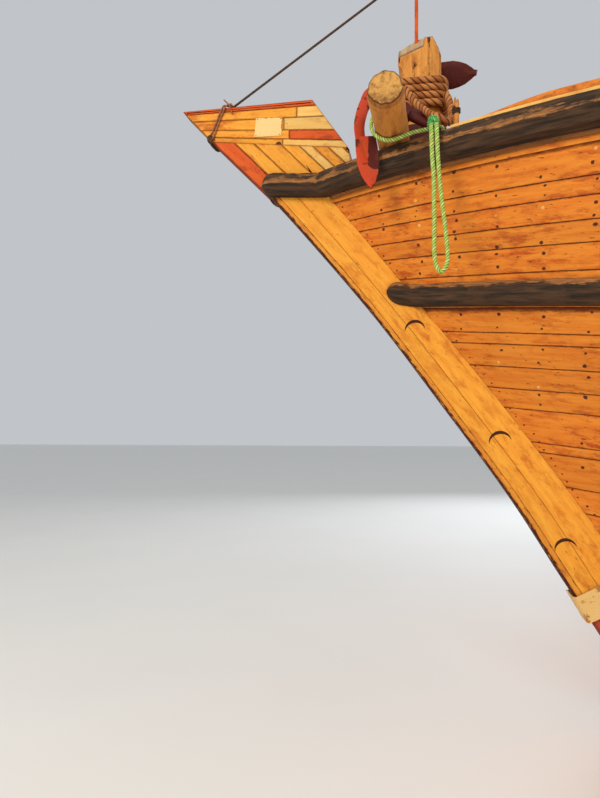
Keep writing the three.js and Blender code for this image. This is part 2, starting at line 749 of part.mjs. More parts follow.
// Anchors. The main one hangs with its crown on the log: one arm is over the rail, the other inboard of it.
// The second stands crown up behind the bitt, with one palm aft of the bitt's head.
const CROWN_R = 67;
const CROWN_X = LOG_X - 80;
const CROWN_Y = 520;
const crownZ = logZ + Math.sqrt((LOG_R + CROWN_R - 2) ** 2 - (LOG_X - CROWN_X) ** 2);
const ARM_WIDE = 46;
const ARM_THICK = 18;
const ARM_OUT = [
  [0, 0, 0], [120, 25, 140], [242, 60, 155], [286, 120, 42], [311, 160, -60], [323, 180, -153],
  [315, 195, -245],
  [297, 200, -333], [260, 200, -462],
];
const ARM_IN = [
  [0, 0, 0], [-99, -70, 10], [-217, -120, -48], [-285, -160, -150], [-300, -185, -250], [-290, -185, -320],
];
const PALM_OUT = { tip: [228, 200, -656], root: [272, 200, -261], facing: [-0.3, 1, 0], half: 88 };
const PALM_IN = { tip: [-290, -185, -420], root: [-285, -165, -120], facing: [0.3, 1, 0], half: 88 };
const STOCK = { x: 6950, y: 320, half: 430, r: 20 };
const SECOND = { x: 7800, y: -300, z: 5520, foot: 7720, r: 30, crown: 48, stock: 260 };
const SECOND_AFT = [[0, 0, 0], [-90, 0, 85], [-260, 0, 95], [-474, 0, 43]];
const SECOND_FORE = [[0, 0, 0], [100, 0, 80], [220, 0, 40], [310, 0, -100]];
const SECOND_ARM_R = 24;
const SECOND_PALM_AFT = { tip: [-474, 0, 43], root: [-90, 0, 58], facing: [0, 0.86, -0.5], half: 112 };
const SECOND_PALM_FORE = { tip: [310, 0, -100], root: [220, 0, 40], facing: [0, 0.9, 0.4], half: 80 };
const PALM_THICK = 8;
// A palm's half widths as shares, at shares of the way from its root to its tip.
const PALM_SHARES = [[-0.02, 0.9], [0.45, 1], [0.74, 0.72], [1, 0.1]];

// A shield-shaped plate on an arm's last stretch, turned to face a given way.
function palm({ tip, root, facing, half }, at) {
  const [a, b] = [new THREE.Vector3(...at(root)), new THREE.Vector3(...at(tip))];
  const along = b.clone().sub(a).normalize();
  const across = new THREE.Vector3(...facing).cross(along).normalize();
  const thick = along.clone().cross(across);
  const far = a.distanceTo(b);
  const t = PALM_THICK;
  return loft(PALM_SHARES.map(([s, w]) => [[-w * half, -t], [w * half, -t], [w * half, t], [-w * half, t]]
    .map(([u, v]) => a.clone().addScaledVector(along, s * far)
      .addScaledVector(across, u).addScaledVector(thick, v))));
}

// A flat bar on a curved route, broad in the boat's length and thin athwart.
function flatArm(points, wide, thick, steps) {
  const curve = new THREE.CatmullRomCurve3(points.map((p) => new THREE.Vector3(...p)));
  return loft(Array.from({ length: steps + 1 }, (_, k) => {
    const centre = curve.getPoint(k / steps);
    const across = new THREE.Vector3(0, 1, 0).cross(curve.getTangent(k / steps)).normalize();
    const out = curve.getTangent(k / steps).cross(across);
    return [[1, 0.4], [0.4, 1], [-0.4, 1], [-1, 0.4], [-1, -0.4], [-0.4, -1], [0.4, -1], [1, -0.4]]
      .map(([u, v]) => centre.clone().addScaledVector(across, u * wide).addScaledVector(out, v * thick));
  }));
}

function anchor() {
  const at = ([x, y, z]) => [CROWN_X + x, CROWN_Y + y, crownZ + z];
  const arms = [ARM_OUT, ARM_IN]
    .map((arm) => flatArm(arm.map(at), ARM_WIDE, ARM_THICK, 2 * (arm.length - 1)));
  const crown = bar([CROWN_X, CROWN_Y - 60, crownZ], [CROWN_X, CROWN_Y + 60, crownZ], CROWN_R, CROWN_R, 12);
  const stockZ = PLATFORM_Z + STOCK.r + 4;
  const shank = bar([CROWN_X, CROWN_Y, crownZ], [STOCK.x - 60, STOCK.y, stockZ + 8], 32, 26);
  const stockEnd = (side) => [STOCK.x, STOCK.y + side * STOCK.half, stockZ];
  const stock = bar(stockEnd(-1), stockEnd(1), STOCK.r);
  return cut(join(crown, shank, stock, ...arms, palm(PALM_OUT, at), palm(PALM_IN, at)), bar(
    [LOG_X, -LOG_HALF, logZ], [LOG_X, LOG_HALF, logZ], LOG_R + GAP, LOG_R + GAP, 14));
}

add('anchor', anchor(), '#c83a22', 0.5);

function secondAnchor() {
  const at = ([x, y, z]) => [SECOND.x + x, SECOND.y + y, SECOND.z + z];
  const arms = [SECOND_AFT, SECOND_FORE].map((arm) => tube(arm.map(at), SECOND_ARM_R, 2 * (arm.length - 1)));
  const crown = bar(at([0, -45, 0]), at([0, 45, 0]), SECOND.crown, SECOND.crown, 12);
  const shank = bar([SECOND.foot, SECOND.y, PLATFORM_Z + GAP + 2], at([0, 0, 0]), SECOND.r, SECOND_ARM_R);
  const low = PLATFORM_Z + 22;
  const stockEnd = (side) => [SECOND.foot + side * SECOND.stock, SECOND.y, low];
  const stock = bar(stockEnd(-1), stockEnd(1), 16);
  return join(crown, shank, stock, ...arms, palm(SECOND_PALM_AFT, at), palm(SECOND_PALM_FORE, at));
}

add('second_anchor', secondAnchor(), '#6a2226', 0.5);

// Green line: turns round the log, a hitch on the rail, and a bight that hangs from it outboard.
const railTop = (x) => pointAtX(1, x).z + RAIL_UP;
const HITCH = [HITCH_X, HITCH_Y, railTop(HITCH_X) + HITCH_R + GAP];

// The line comes over the log, down its fore side and under it, and on to the hitch.
function logLashing() {
  const r = LOG_R + LINE_R + 2 * GAP;
  const turn = [[100, 690], [60, 715], [25, 738], [-10, 755], [-45, 768], [-80, 768], [-105, 768]];
  const round = turn.map(([degrees, y]) => {
    const a = (degrees * Math.PI) / 180;
    return [LOG_X + r * Math.cos(a), y, logZ + r * Math.sin(a)];
  });
  const line = tube([...round, [7850, 782, 4552], HITCH], LINE_R, 24);
  const knot = clean(new THREE.IcosahedronGeometry(HITCH_R, 1)).translate(...HITCH);
  const logEnd = (side) => [LOG_X, LASHING_Y + side * 200, logZ];
  const log = bar(logEnd(-1), logEnd(1), LOG_R + GAP, LOG_R + GAP, 14);
  return cut(join(line, knot), log);
}

add('log_lashing', logLashing(), '#7fb04c');

// The route of the bight from the hitch and back, each point [ahead, outboard, up] from the hitch.
const BIGHT = [
  [6, 36, 2], [6, 84, -16], [6, 128, -44], [4, 156, -84], [2, 168, -150], [-3, 168, -284], [-14, 168, -444],
  [-16, 168, -606], [-18, 168, -769], [-17, 168, -932], [-22, 168, -1013], [-39, 168, -1075],
  [-65, 168, -1103], [-95, 168, -1072], [-111, 168, -1004], [-106, 168, -938], [-91, 168, -775],
  [-71, 168, -611], [-54, 168, -448], [-42, 168, -284], [-36, 168, -150],
  [-34, 156, -84], [-32, 128, -44], [-31, 84, -16],
  [-30, 36, 2],
].map((step) => step.map((d, i) => d + HITCH[i]));
add('green_bight', cut(tube(BIGHT, LINE_R, 44), logLashing()), '#8fc052');

// Mast, raked forward, with its partner on the deck.
const mastX = (z) => MAST_X + MAST_RAKE * (z - deckZ(MAST_X));
const mastFoot = deckZ(MAST_X) + 160;
const mastAt = (z) => [mastX(z), 0, z];
const mastR = (z) => MAST_R[0] + ((MAST_R[1] - MAST_R[0]) * (z - mastFoot)) / (MAST_TOP - mastFoot);
const mastBar = (grow) => bar(
  mastAt(mastFoot - 60), mastAt(MAST_TOP + grow), MAST_R[0] + grow, MAST_R[1] + grow, 20);
const belowMast = box([MAST_X - 900, -500, 0], [MAST_X + 900, 500, mastFoot]);
add('mast', cut(mastBar(0), belowMast), '#b57a44');
add('mast_partner', slab([
  [MAST_X - 420, deckTop(MAST_X - 420)], [MAST_X + 480, deckTop(MAST_X + 480)],
  [MAST_X + 480, mastFoot - GAP], [MAST_X - 420, mastFoot - GAP],
], -380, 380), '#9a6a3c');

// Yard with its parrel about the mast, and the sail furled along it.
const yardTilt = (YARD_ANGLE * Math.PI) / 180;
const parrelR = mastR(SLING_Z) + PARREL_RUN;
const yardY = -(parrelR + 40 + YARD_R[0] - 12);
const onYard = (s, y = yardY, lift = 0) => [
  mastX(SLING_Z) + s * Math.cos(yardTilt) + lift * Math.sin(yardTilt), y,
  SLING_Z - s * Math.sin(yardTilt) + lift * Math.cos(yardTilt),
];

const yardBars = (grow) => [
  bar(onYard(0), onYard(YARD_FORE), YARD_R[0] + grow, YARD_R[1] + grow, 10),
  bar(onYard(1), onYard(-YARD_AFT), YARD_R[0] + grow, YARD_R[1] + grow, 10),
];

function yard() {
  const ring = bar(mastAt(SLING_Z - 45), mastAt(SLING_Z + 45), parrelR + 42, parrelR + 42, 20);
  const hole = bar(mastAt(SLING_Z - 90), mastAt(SLING_Z + 90), parrelR, parrelR, 20);
  return join(cut(ring, hole), ...yardBars(0));
}

add('yard', yard(), '#a8703e');

function sail() {
  const stations = [-7200, -5200, -3000, -1200, -400, 400, 1500, 3000, 4200];
  const fat = [0.35, 0.8, 1, 1.05, 0.85, 0.8, 0.95, 0.7, 0.35];
  const rings = stations.map((s, i) => {
    const r = SAIL_R * fat[i];
    const spar = YARD_R[0] + ((YARD_R[1] - YARD_R[0]) * Math.abs(s)) / (s < 0 ? YARD_AFT : YARD_FORE);
    return Array.from({ length: 10 }, (_, k) => {
      const a = (2 * Math.PI * (k + 0.5)) / 10;
      return new THREE.Vector3(...onYard(s, yardY - 30 + r * Math.cos(a), r * Math.sin(a) - spar - r + 12));
    });
  });
  return cut(loft(rings), ...yardBars(GAP));
}

add('furled_sail', sail(), '#d8cdb4');

// Standing rigging.
function forestay() {
  const head = slab(headOutline.map(([x, z]) => [x, z + GAP]), -STEM_HALF, STEM_HALF);
  const wire = bar(mastAt(STAY_Z), [STAY_FOOT[0], 0, STAY_FOOT[1] - 30], WIRE_R, WIRE_R, 6);
  return cut(wire, mastBar(GAP), head);
}

add('forestay', forestay(), '#6b5a48');

function shrouds(side) {
  const ends = CHAIN_X.map((x) => pointAtX(1, x));
  const inner = Math.max(...ends.map((p) => p.y)) + RAIL_OUT + CHANNEL_GAP;
  const r = mastR(HOUND_Z);
  const band = cut(
    bar(mastAt(HOUND_Z - 60), mastAt(HOUND_Z + 60), r + 26, r + 26, 16),
    box([0, -400, HOUND_Z - 300], [4000, 40, HOUND_Z + 300]));
  const low = ends.map((p) => [p.x, inner + CHANNEL_WIDE / 2, p.z + 60]);
  const wires = low.map((p) => bar([mastX(HOUND_Z), r, HOUND_Z], p, WIRE_R, WIRE_R, 6));
  const [fore, , aft] = ends;
  const plank = box([aft.x - 250, inner, aft.z + 20], [fore.x + 250, inner + CHANNEL_WIDE, aft.z + 90]);
  const whole = join(plank, band, ...wires);
  return cut(side > 0 ? whole : mirrored(whole), mastBar(GAP));
}

add('shrouds_port', shrouds(1), '#6b5a48');
add('shrouds_starboard', shrouds(-1), '#6b5a48');

// Hatch: coaming, and a lid hinged along its starboard side.
function coaming() {
  const [a, b] = HATCH_X;
  const low = deckZ(a);
  const top = deckZ(b) + COAMING_HIGH;
  const outer = slab([[a, deckTop(a)], [b, deckTop(b)], [b, top], [a, top]], -HATCH_HALF, HATCH_HALF);
  const half = HATCH_HALF - COAMING;
  return cut(outer, box([a + COAMING, -half, low - 100], [b - COAMING, half, top + 10]));
}

add('hatch_coaming', coaming(), '#a0703f');
const lidZ = deckZ(HATCH_X[1]) + COAMING_HIGH + GAP;
const LID_LIP = 30;
add('hatch_lid', box(
  [HATCH_X[0] - LID_LIP, -HATCH_HALF - LID_LIP, lidZ],
  [HATCH_X[1] + LID_LIP, HATCH_HALF + LID_LIP, lidZ + LID_THICK]), '#8d6238');

// Wheelhouse: a level sill on the sloping deck, four walls with windows, a roof and a door.
const [houseAft, houseFore] = HOUSE_X;
const door = { low: HOUSE_FLOOR + RUN, high: HOUSE_FLOOR + DOOR_HIGH };

function houseSill() {
  const outline = [
    [houseAft, deckTop(houseAft)], [houseFore, deckTop(houseFore)],
    [houseFore, HOUSE_FLOOR - GAP], [houseAft, HOUSE_FLOOR - GAP],
  ];
  return slab(outline, -HOUSE_HALF, HOUSE_HALF);
}

add('house_sill', houseSill(), '#8fae8c');

const WINDOW_LOW = 3850;
const WINDOW_HIGH = 4550;

function sideWall() {
  const wall = box([houseAft, HOUSE_HALF - HOUSE_WALL, HOUSE_FLOOR], [houseFore, HOUSE_HALF, HOUSE_TOP]);
  const panes = [-7750, -7000, -6250].map((x) => box([x, 0, WINDOW_LOW], [x + 500, 2000, WINDOW_HIGH]));
  return cut(wall, ...panes);
}

addPair('house_side', sideWall(), '#e8e2cc');

function endWall(x0, x1, holes) {
  const half = HOUSE_HALF - HOUSE_WALL - GAP;
  const wall = box([x0, -half, HOUSE_FLOOR], [x1, half, HOUSE_TOP]);
  return cut(wall, ...holes.map(([y0, y1, z0, z1]) => box([x0 - 50, y0, z0], [x1 + 50, y1, z1])));
}

const frontHoles = [-1080, -340, 400].map((y) => [y, y + 680, WINDOW_LOW, WINDOW_HIGH]);
add('house_front', endWall(houseFore - HOUSE_WALL, houseFore, frontHoles), '#e8e2cc');
const doorway = [DOOR_Y - DOOR_WIDE / 2, DOOR_Y + DOOR_WIDE / 2, HOUSE_FLOOR - 10, door.high + RUN];
const HINGE = { x: houseAft - 16, y: doorway[0], r: 11, high: 60, at: [door.low + 260, door.high - 320] };

// A hinge knuckle with its plate, on the door above or on the wall below.
function knuckle(z, onDoor) {
  const [low, high] = onDoor ? [z, z + HINGE.high] : [z - HINGE.high, z - GAP];
  const [y0, y1] = onDoor ? [HINGE.y + 3, HINGE.y + 110] : [HINGE.y - 60, HINGE.y - 2];
  return join(
    bar([HINGE.x, HINGE.y, low], [HINGE.x, HINGE.y, high], HINGE.r, HINGE.r, 12),
    box([HINGE.x - 4, y0, low + 1], [houseAft + 4, y1, high - 1]));
}

const backWall = endWall(houseAft, houseAft + HOUSE_WALL, [doorway]);
add('house_back', join(backWall, ...HINGE.at.map((z) => knuckle(z, false))), '#e8e2cc');
add('house_roof', box(
  [houseAft - HOUSE_EAVE, -HOUSE_HALF - HOUSE_EAVE, HOUSE_TOP + GAP],
  [houseFore + HOUSE_EAVE * 1.5, HOUSE_HALF + HOUSE_EAVE, HOUSE_TOP + ROOF_THICK]), '#7aa08a');
const leaf = box([houseAft, doorway[0] + RUN, door.low], [houseAft + 40, doorway[1] - RUN, door.high]);
add('house_door', join(leaf, ...HINGE.at.map((z) => knuckle(z, true))), '#4f8a86');

// Helm: the wheel turns on its pedestal behind the front windows.
function helm() {
  const rim = new THREE.TorusGeometry(HELM_R * 0.74, 22, 6, 24);
  rim.rotateY(Math.PI / 2);
  const hub = bar([-45, 0, 0], [45, 0, 0], 60, 60, 12);
  const spokes = Array.from({ length: 6 }, (_, i) => {
    const a = (i * Math.PI) / 3;
    return bar([0, 0, 0], [0, HELM_R * Math.cos(a), HELM_R * Math.sin(a)], 15, 13, 6);
  });
  const wheel = join(hub, rim, ...spokes);
  return wheel.translate(HELM_X, 0, HELM_Z);
}

add('helm_wheel', helm(), '#7a4a26');
add('helm_pedestal', join(
  box([HELM_X + 50, -130, HOUSE_FLOOR], [HELM_X + 330, 130, HELM_Z + 160]),
  bar([HELM_X + 45 + GAP, 0, HELM_Z], [HELM_X + 60, 0, HELM_Z], 40, 40, 12)), '#8a5a30');

export default dhow;
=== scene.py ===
"""A wooden dhow afloat: planking, timbers, ropes and fittings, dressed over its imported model.

Metres, +X to the bow, +Y to port, +Z up, with the origin on the waterline amidships.
"""

import logging
import math
from dataclasses import dataclass, field
from enum import Enum
from typing import Optional, Sequence, Union

import bpy
import numpy as np
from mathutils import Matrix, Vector


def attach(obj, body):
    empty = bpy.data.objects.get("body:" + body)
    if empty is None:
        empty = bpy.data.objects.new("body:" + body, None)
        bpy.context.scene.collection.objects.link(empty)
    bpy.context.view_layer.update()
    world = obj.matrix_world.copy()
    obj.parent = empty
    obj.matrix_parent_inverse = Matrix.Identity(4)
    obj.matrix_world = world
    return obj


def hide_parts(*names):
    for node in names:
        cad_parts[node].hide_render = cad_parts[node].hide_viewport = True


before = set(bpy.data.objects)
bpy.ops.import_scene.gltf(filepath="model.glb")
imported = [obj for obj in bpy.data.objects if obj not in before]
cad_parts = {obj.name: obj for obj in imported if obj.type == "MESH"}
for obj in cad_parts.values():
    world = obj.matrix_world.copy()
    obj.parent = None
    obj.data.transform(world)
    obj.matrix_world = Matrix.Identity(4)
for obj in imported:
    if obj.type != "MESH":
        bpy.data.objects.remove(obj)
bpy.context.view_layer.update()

LOG = logging.getLogger("dhow")
UP = np.array([0.0, 0.0, 1.0])

Colour = tuple[float, float, float]
Pair = tuple[float, float]
Triple = tuple[float, float, float]
Array = np.ndarray
Number = Union[float, Array]
Point = Sequence[float]


class Side(Enum):
    """The two sides of the boat, with the sign of their Y."""

    PORT = 1
    STARBOARD = -1

    @property
    def label(self) -> str:
        """Return the side as the names of pieces spell it."""
        return self.name.lower()


def unit(rows: Array) -> Array:
    """Return the rows scaled to length one."""
    return rows / np.maximum(np.linalg.norm(rows, axis=-1, keepdims=True), 1e-9)


def stretches(hidden: Array) -> list[slice]:
    """Return the runs of two or more points that aren't hidden."""
    edges = np.flatnonzero(np.diff(np.concatenate([[True], hidden, [True]]).astype(int)))
    return [slice(a, b) for a, b in zip(edges[::2], edges[1::2]) if b - a > 1]


def smooth_path(points: Sequence[Point], count: int) -> Array:
    """Run a centripetal curve through a few points.

    Args:
        points: The points that the curve passes.
        count: How many points to return, evenly spaced by length.

    Returns:
        The points of the curve, one row each.
    """
    raw = np.asarray(points, float)
    padded = np.vstack([2 * raw[0] - raw[1], raw, 2 * raw[-1] - raw[-2]])
    dense = []
    for k in range(1, len(padded) - 2):
        p0, p1, p2, p3 = padded[k - 1 : k + 3]
        d = [max(np.linalg.norm(b - a), 1e-6) ** 0.5 for a, b in ((p0, p1), (p1, p2), (p2, p3))]
        m1 = d[1] * ((p1 - p0) / d[0] - (p2 - p0) / (d[0] + d[1]) + (p2 - p1) / d[1])
        m2 = d[1] * ((p2 - p1) / d[1] - (p3 - p1) / (d[1] + d[2]) + (p3 - p2) / d[2])
        s = np.linspace(0, 1, 16, endpoint=False)[:, None]
        dense.append(
            (2 * s**3 - 3 * s**2 + 1) * p1
            + (s**3 - 2 * s**2 + s) * m1
            + (3 * s**2 - 2 * s**3) * p2
            + (s**3 - s**2) * m2
        )
    return resampled(np.vstack([*dense, raw[-1:]]), count)


def resampled(path: Array, count: int) -> Array:
    """Return a path's points again, evenly spaced along its length."""
    steps = lengths(path)
    at = np.linspace(0, steps[-1], count)
    return np.stack([np.interp(at, steps, path[:, k]) for k in range(path.shape[1])], axis=1)


def lengths(path: Array) -> Array:
    """Return how far along the path each of its points lies."""
    return np.concatenate([[0], np.cumsum(np.linalg.norm(np.diff(path, axis=0), axis=1))])


def frames_along(path: Array, hint: Point = (0.13, 0.31, 0.94)) -> tuple[Array, Array]:
    """Carry two crosswise directions along a path without twist.

    Args:
        path: The path's points.
        hint: A direction that the first one starts near.

    Returns:
        Two arrays of unit vectors, square to the path and to each other.
    """
    along = unit(np.gradient(path, axis=0))
    side = np.zeros_like(path)
    current = np.asarray(hint, float)
    for i, direction in enumerate(along):
        current = current - direction * current.dot(direction)
        current /= max(np.linalg.norm(current), 1e-9)
        side[i] = current
    return side, np.cross(along, side)


class Value:
    """A node's output in a shader expression."""

    def __init__(self, paint: "Paint", socket: bpy.types.NodeSocket) -> None:
        """Keep the socket and the material that it belongs to."""
        self.paint = paint
        self.socket = socket

    def _math(self, operation: str, *others: Union["Value", float]) -> "Value":
        """Add a Math node on this value and the others."""
        return self.paint.node("ShaderNodeMath", {"operation": operation}, dict(enumerate((self, *others))))

    def _swapped(self, operation: str, other: float) -> "Value":
        """Add a Math node with the other value first."""
        return self.paint.node("ShaderNodeMath", {"operation": operation}, {0: other, 1: self})

    def __add__(self, other: Union["Value", float]) -> "Value":
        """Add."""
        return self._math("ADD", other)

    __radd__ = __add__

    def __mul__(self, other: Union["Value", float]) -> "Value":
        """Multiply."""
        return self._math("MULTIPLY", other)

    __rmul__ = __mul__

    def __sub__(self, other: Union["Value", float]) -> "Value":
        """Subtract."""
        return self._math("SUBTRACT", other)

    def __rsub__(self, other: float) -> "Value":
        """Subtract this from the other."""
        return self._swapped("SUBTRACT", other)

    def __pow__(self, other: float) -> "Value":
        """Raise to a power."""
        return self._math("POWER", other)

    def sine(self) -> "Value":
        """Give the sine."""
        return self._math("SINE")

    def step(self, low: float, high: float) -> "Value":
        """Rise smoothly from 0 at low to 1 at high; high may be the lower one."""
        settings = {"interpolation_type": "SMOOTHSTEP"}
        if low < high:
            return self.paint.node("ShaderNodeMapRange", settings, {0: self, 1: low, 2: high})
        return 1 - self.paint.node("ShaderNodeMapRange", settings, {0: self, 1: high, 2: low})


Input = Union[Value, float, Colour]


class Paint:
    """A material in the making, with its Principled shader."""

    def __init__(self, name: str) -> None:
        """Start an empty material with that name."""
        self.material = bpy.data.materials.new(name)
        self.material.use_nodes = True
        self.tree = self.material.node_tree
        self.tree.nodes.clear()
        self.shader = self.tree.nodes.new("ShaderNodeBsdfPrincipled")
        self.shader.inputs["Specular IOR Level"].default_value = 0.25
        output = self.tree.nodes.new("ShaderNodeOutputMaterial")
        self.tree.links.new(self.shader.outputs[0], output.inputs[0])

    def node(self, kind: str, settings: dict, sockets: dict, out: Union[int, str] = 0) -> Value:
        """Add one node.

        Args:
            kind: The node's type.
            settings: Its settings, set first.
            sockets: A value or link for each input, by its number or name.
            out: The output that is wanted.

        Returns:
            That output.
        """
        node = self.tree.nodes.new(kind)
        for name, setting in settings.items():
            setattr(node, name, setting)
        for key, value in sockets.items():
            self._plug(node.inputs[key], value)
        return Value(self, node.outputs[out])

    def _plug(self, socket: bpy.types.NodeSocket, value: Input) -> None:
        """Link or set one input."""
        if isinstance(value, Value):
            self.tree.links.new(value.socket, socket)
        elif isinstance(value, tuple) and socket.type == "RGBA":
            socket.default_value = (*value, 1.0)
        else:
            socket.default_value = value

    def fact(self, name: str) -> Value:
        """Read a number that the mesh holds."""
        return self.node("ShaderNodeAttribute", {"attribute_name": name}, {}, "Fac")

    def grain(self) -> Value:
        """Read the grain's place that the mesh holds."""
        return self.node("ShaderNodeAttribute", {"attribute_name": "grain"}, {}, "Vector")

    def place(self) -> Value:
        """Read the point's place on the piece."""
        return self.node("ShaderNodeTexCoord", {}, {}, "Object")

    def parts(self, vector: Value) -> tuple[Value, Value, Value]:
        """Split a vector."""
        first = self.node("ShaderNodeSeparateXYZ", {}, {0: vector})
        return tuple(Value(self, s) for s in first.socket.node.outputs)

    def join(self, x: Input, y: Input, z: Input) -> Value:
        """Make a vector of three numbers."""
        return self.node("ShaderNodeCombineXYZ", {}, {0: x, 1: y, 2: z})

    def noise(self, vector: Value, scale: float, detail: float = 3.0, rough: float = 0.5) -> Value:
        """Sample fractal noise, from 0 to 1."""
        sockets = {"Vector": vector, "Scale": scale, "Detail": detail, "Roughness": rough}
        return self.node("ShaderNodeTexNoise", {}, sockets)

    def stretch(self, vector: Value, by: Colour) -> Value:
        """Scale a vector along its axes."""
        return self.node("ShaderNodeVectorMath", {"operation": "MULTIPLY"}, {0: vector, 1: by})

    def drawn(self, vector: Value, by: Pair, scale: float, detail: float, rough: float) -> Value:
        """Sample noise on a vector that is scaled along its first two axes."""
        return self.noise(self.stretch(vector, (*by, 1.0)), scale, detail, rough)

    def mix(self, share: Input, first: Input, second: Input) -> Value:
        """Blend two colours."""
        return self.node("ShaderNodeMix", {"data_type": "RGBA"}, {0: share, 6: first, 7: second}, 2)

    def shade(self, colour: Input, by: Value) -> Value:
        """Multiply a colour by a number."""
        grey = self.join(by, by, by)
        settings = {"data_type": "RGBA", "blend_type": "MULTIPLY"}
        return self.node("ShaderNodeMix", settings, {0: 1.0, 6: colour, 7: grey}, 2)

    def finish(self, colour: Input, rough: Input, height: Optional[Value] = None,
            **rest: Input) -> bpy.types.Material:
        """Connect the shader.

        Args:
            colour: The base colour.
            rough: The roughness.
            height: The relief in metres, if there is any.
            **rest: Other sockets, with underscores for spaces.

        Returns:
            The finished material.
        """
        self._plug(self.shader.inputs["Base Color"], colour)
        self._plug(self.shader.inputs["Roughness"], rough)
        for name, value in rest.items():
            self._plug(self.shader.inputs[name.replace("_", " ")], value)
        if height is not None:
            bump = self.node("ShaderNodeBump", {}, {"Height": height, "Distance": 1.0, "Strength": 1.0})
            self._plug(self.shader.inputs["Normal"], bump)
        return self.material


class Shape:
    """A mesh in the making. Each point knows its grain, its tone and how near an edge it lies."""

    def __init__(self, name: str) -> None:
        """Start an empty shape with that name."""
        self.name = name
        self.points: list[Array] = []
        self.faces: list[tuple[int, ...]] = []
        self.grain: list[Array] = []
        self.tone: list[Array] = []
        self.edge: list[Array] = []
        self.count = 0

    def grid(
        self,
        rings: Array,
        around: bool = False,
        caps: bool = False,
        tone: Number = 0.5,
        edge: Number = 0.0,
        grain: Optional[Array] = None,
        start: float = 0.0,
    ) -> None:
        """Add a grid of points with its faces.

        Args:
            rings: The points, as rings by points by three.
            around: Whether each ring closes on itself.
            caps: Whether the first and the last ring are filled.
            tone: The tone of its points, from 0 to 1, which also seeds its grain.
            edge: How near an edge each point lies, from 0 to 1.
            grain: The grain's place for each point, or None to measure it.
            start: Where the grain starts along the rings.
        """
        m, n = rings.shape[:2]
        rings = np.asarray(rings, float)
        if grain is None:
            along = np.linalg.norm(np.diff(rings.mean(axis=1), axis=0), axis=1)
            across = np.linalg.norm(np.diff(rings, axis=1), axis=2).mean(axis=0)
            u = start + np.concatenate([[0], np.cumsum(along)])
            w = np.concatenate([[0], np.cumsum(across)])
            seed = np.full((m, n), np.mean(tone) * 37.0)
            grain = np.stack(np.broadcast_arrays(u[:, None], w[None, :], seed), axis=2)
        index = self.count + np.arange(m * n).reshape(m, n)
        right = np.roll(index, -1, axis=1) if around else index[:, 1:]
        left = index if around else index[:, :-1]
        quads = np.stack([left[:-1], right[:-1], right[1:], left[1:]], axis=-1).reshape(-1, 4)
        self.faces.extend(map(tuple, quads.tolist()))
        if caps:
            self.faces.append(tuple(index[0][::-1].tolist()))
            self.faces.append(tuple(index[-1].tolist()))
        self.points.append(rings.reshape(-1, 3))
        self.grain.append(np.asarray(grain, float).reshape(-1, 3))
        self.tone.append(np.broadcast_to(tone, (m, n)).reshape(-1).astype(float))
        self.edge.append(np.broadcast_to(edge, (m, n)).reshape(-1).astype(float))
        self.count += m * n

    def build(
        self, finish: "Finish", *nodes: str, body: str = "hull", sharp: float = 40.0, slot: str = ""
    ) -> bpy.types.Object:
        """Make the object and let it ride.

        Args:
            finish: Its finish.
            *nodes: The nodes of the model that it replaces.
            body: The body that it rides on.
            sharp: The angle in degrees above which an edge stays sharp.
            slot: Not used.

        Returns:
            The object.
        """
        mesh = bpy.data.meshes.new(self.name)
        mesh.from_pydata(np.vstack(self.points).tolist(), [], self.faces)
        for name, kind, rows in (
            ("grain", "FLOAT_VECTOR", np.vstack(self.grain)),
            ("tone", "FLOAT", np.concatenate(self.tone)),
            ("edge", "FLOAT", np.concatenate(self.edge)),
        ):
            layer = mesh.attributes.new(name, kind, "POINT")
            layer.data.foreach_set("vector" if kind == "FLOAT_VECTOR" else "value",
                rows.ravel().astype(np.float32))
        mesh.update()
        mesh.shade_smooth()
        mesh.set_sharp_from_angle(angle=math.radians(sharp))
        mesh.materials.append(Palette.of(finish))
        piece = bpy.data.objects.new(self.name, mesh)
        bpy.context.scene.collection.objects.link(piece)
        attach(piece, body)
        if nodes:
            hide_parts(*nodes)
        LOG.info("%s: %d faces", self.name, len(self.faces))
        return piece


def mirrored(points: Array, side: int) -> Array:
    """Return the points on the given side of the boat, in an order that keeps faces outward."""
    if side > 0:
        return points
    flipped = points * np.array([1.0, -1.0, 1.0])
    return flipped[:, ::-1] if flipped.ndim == 3 else flipped


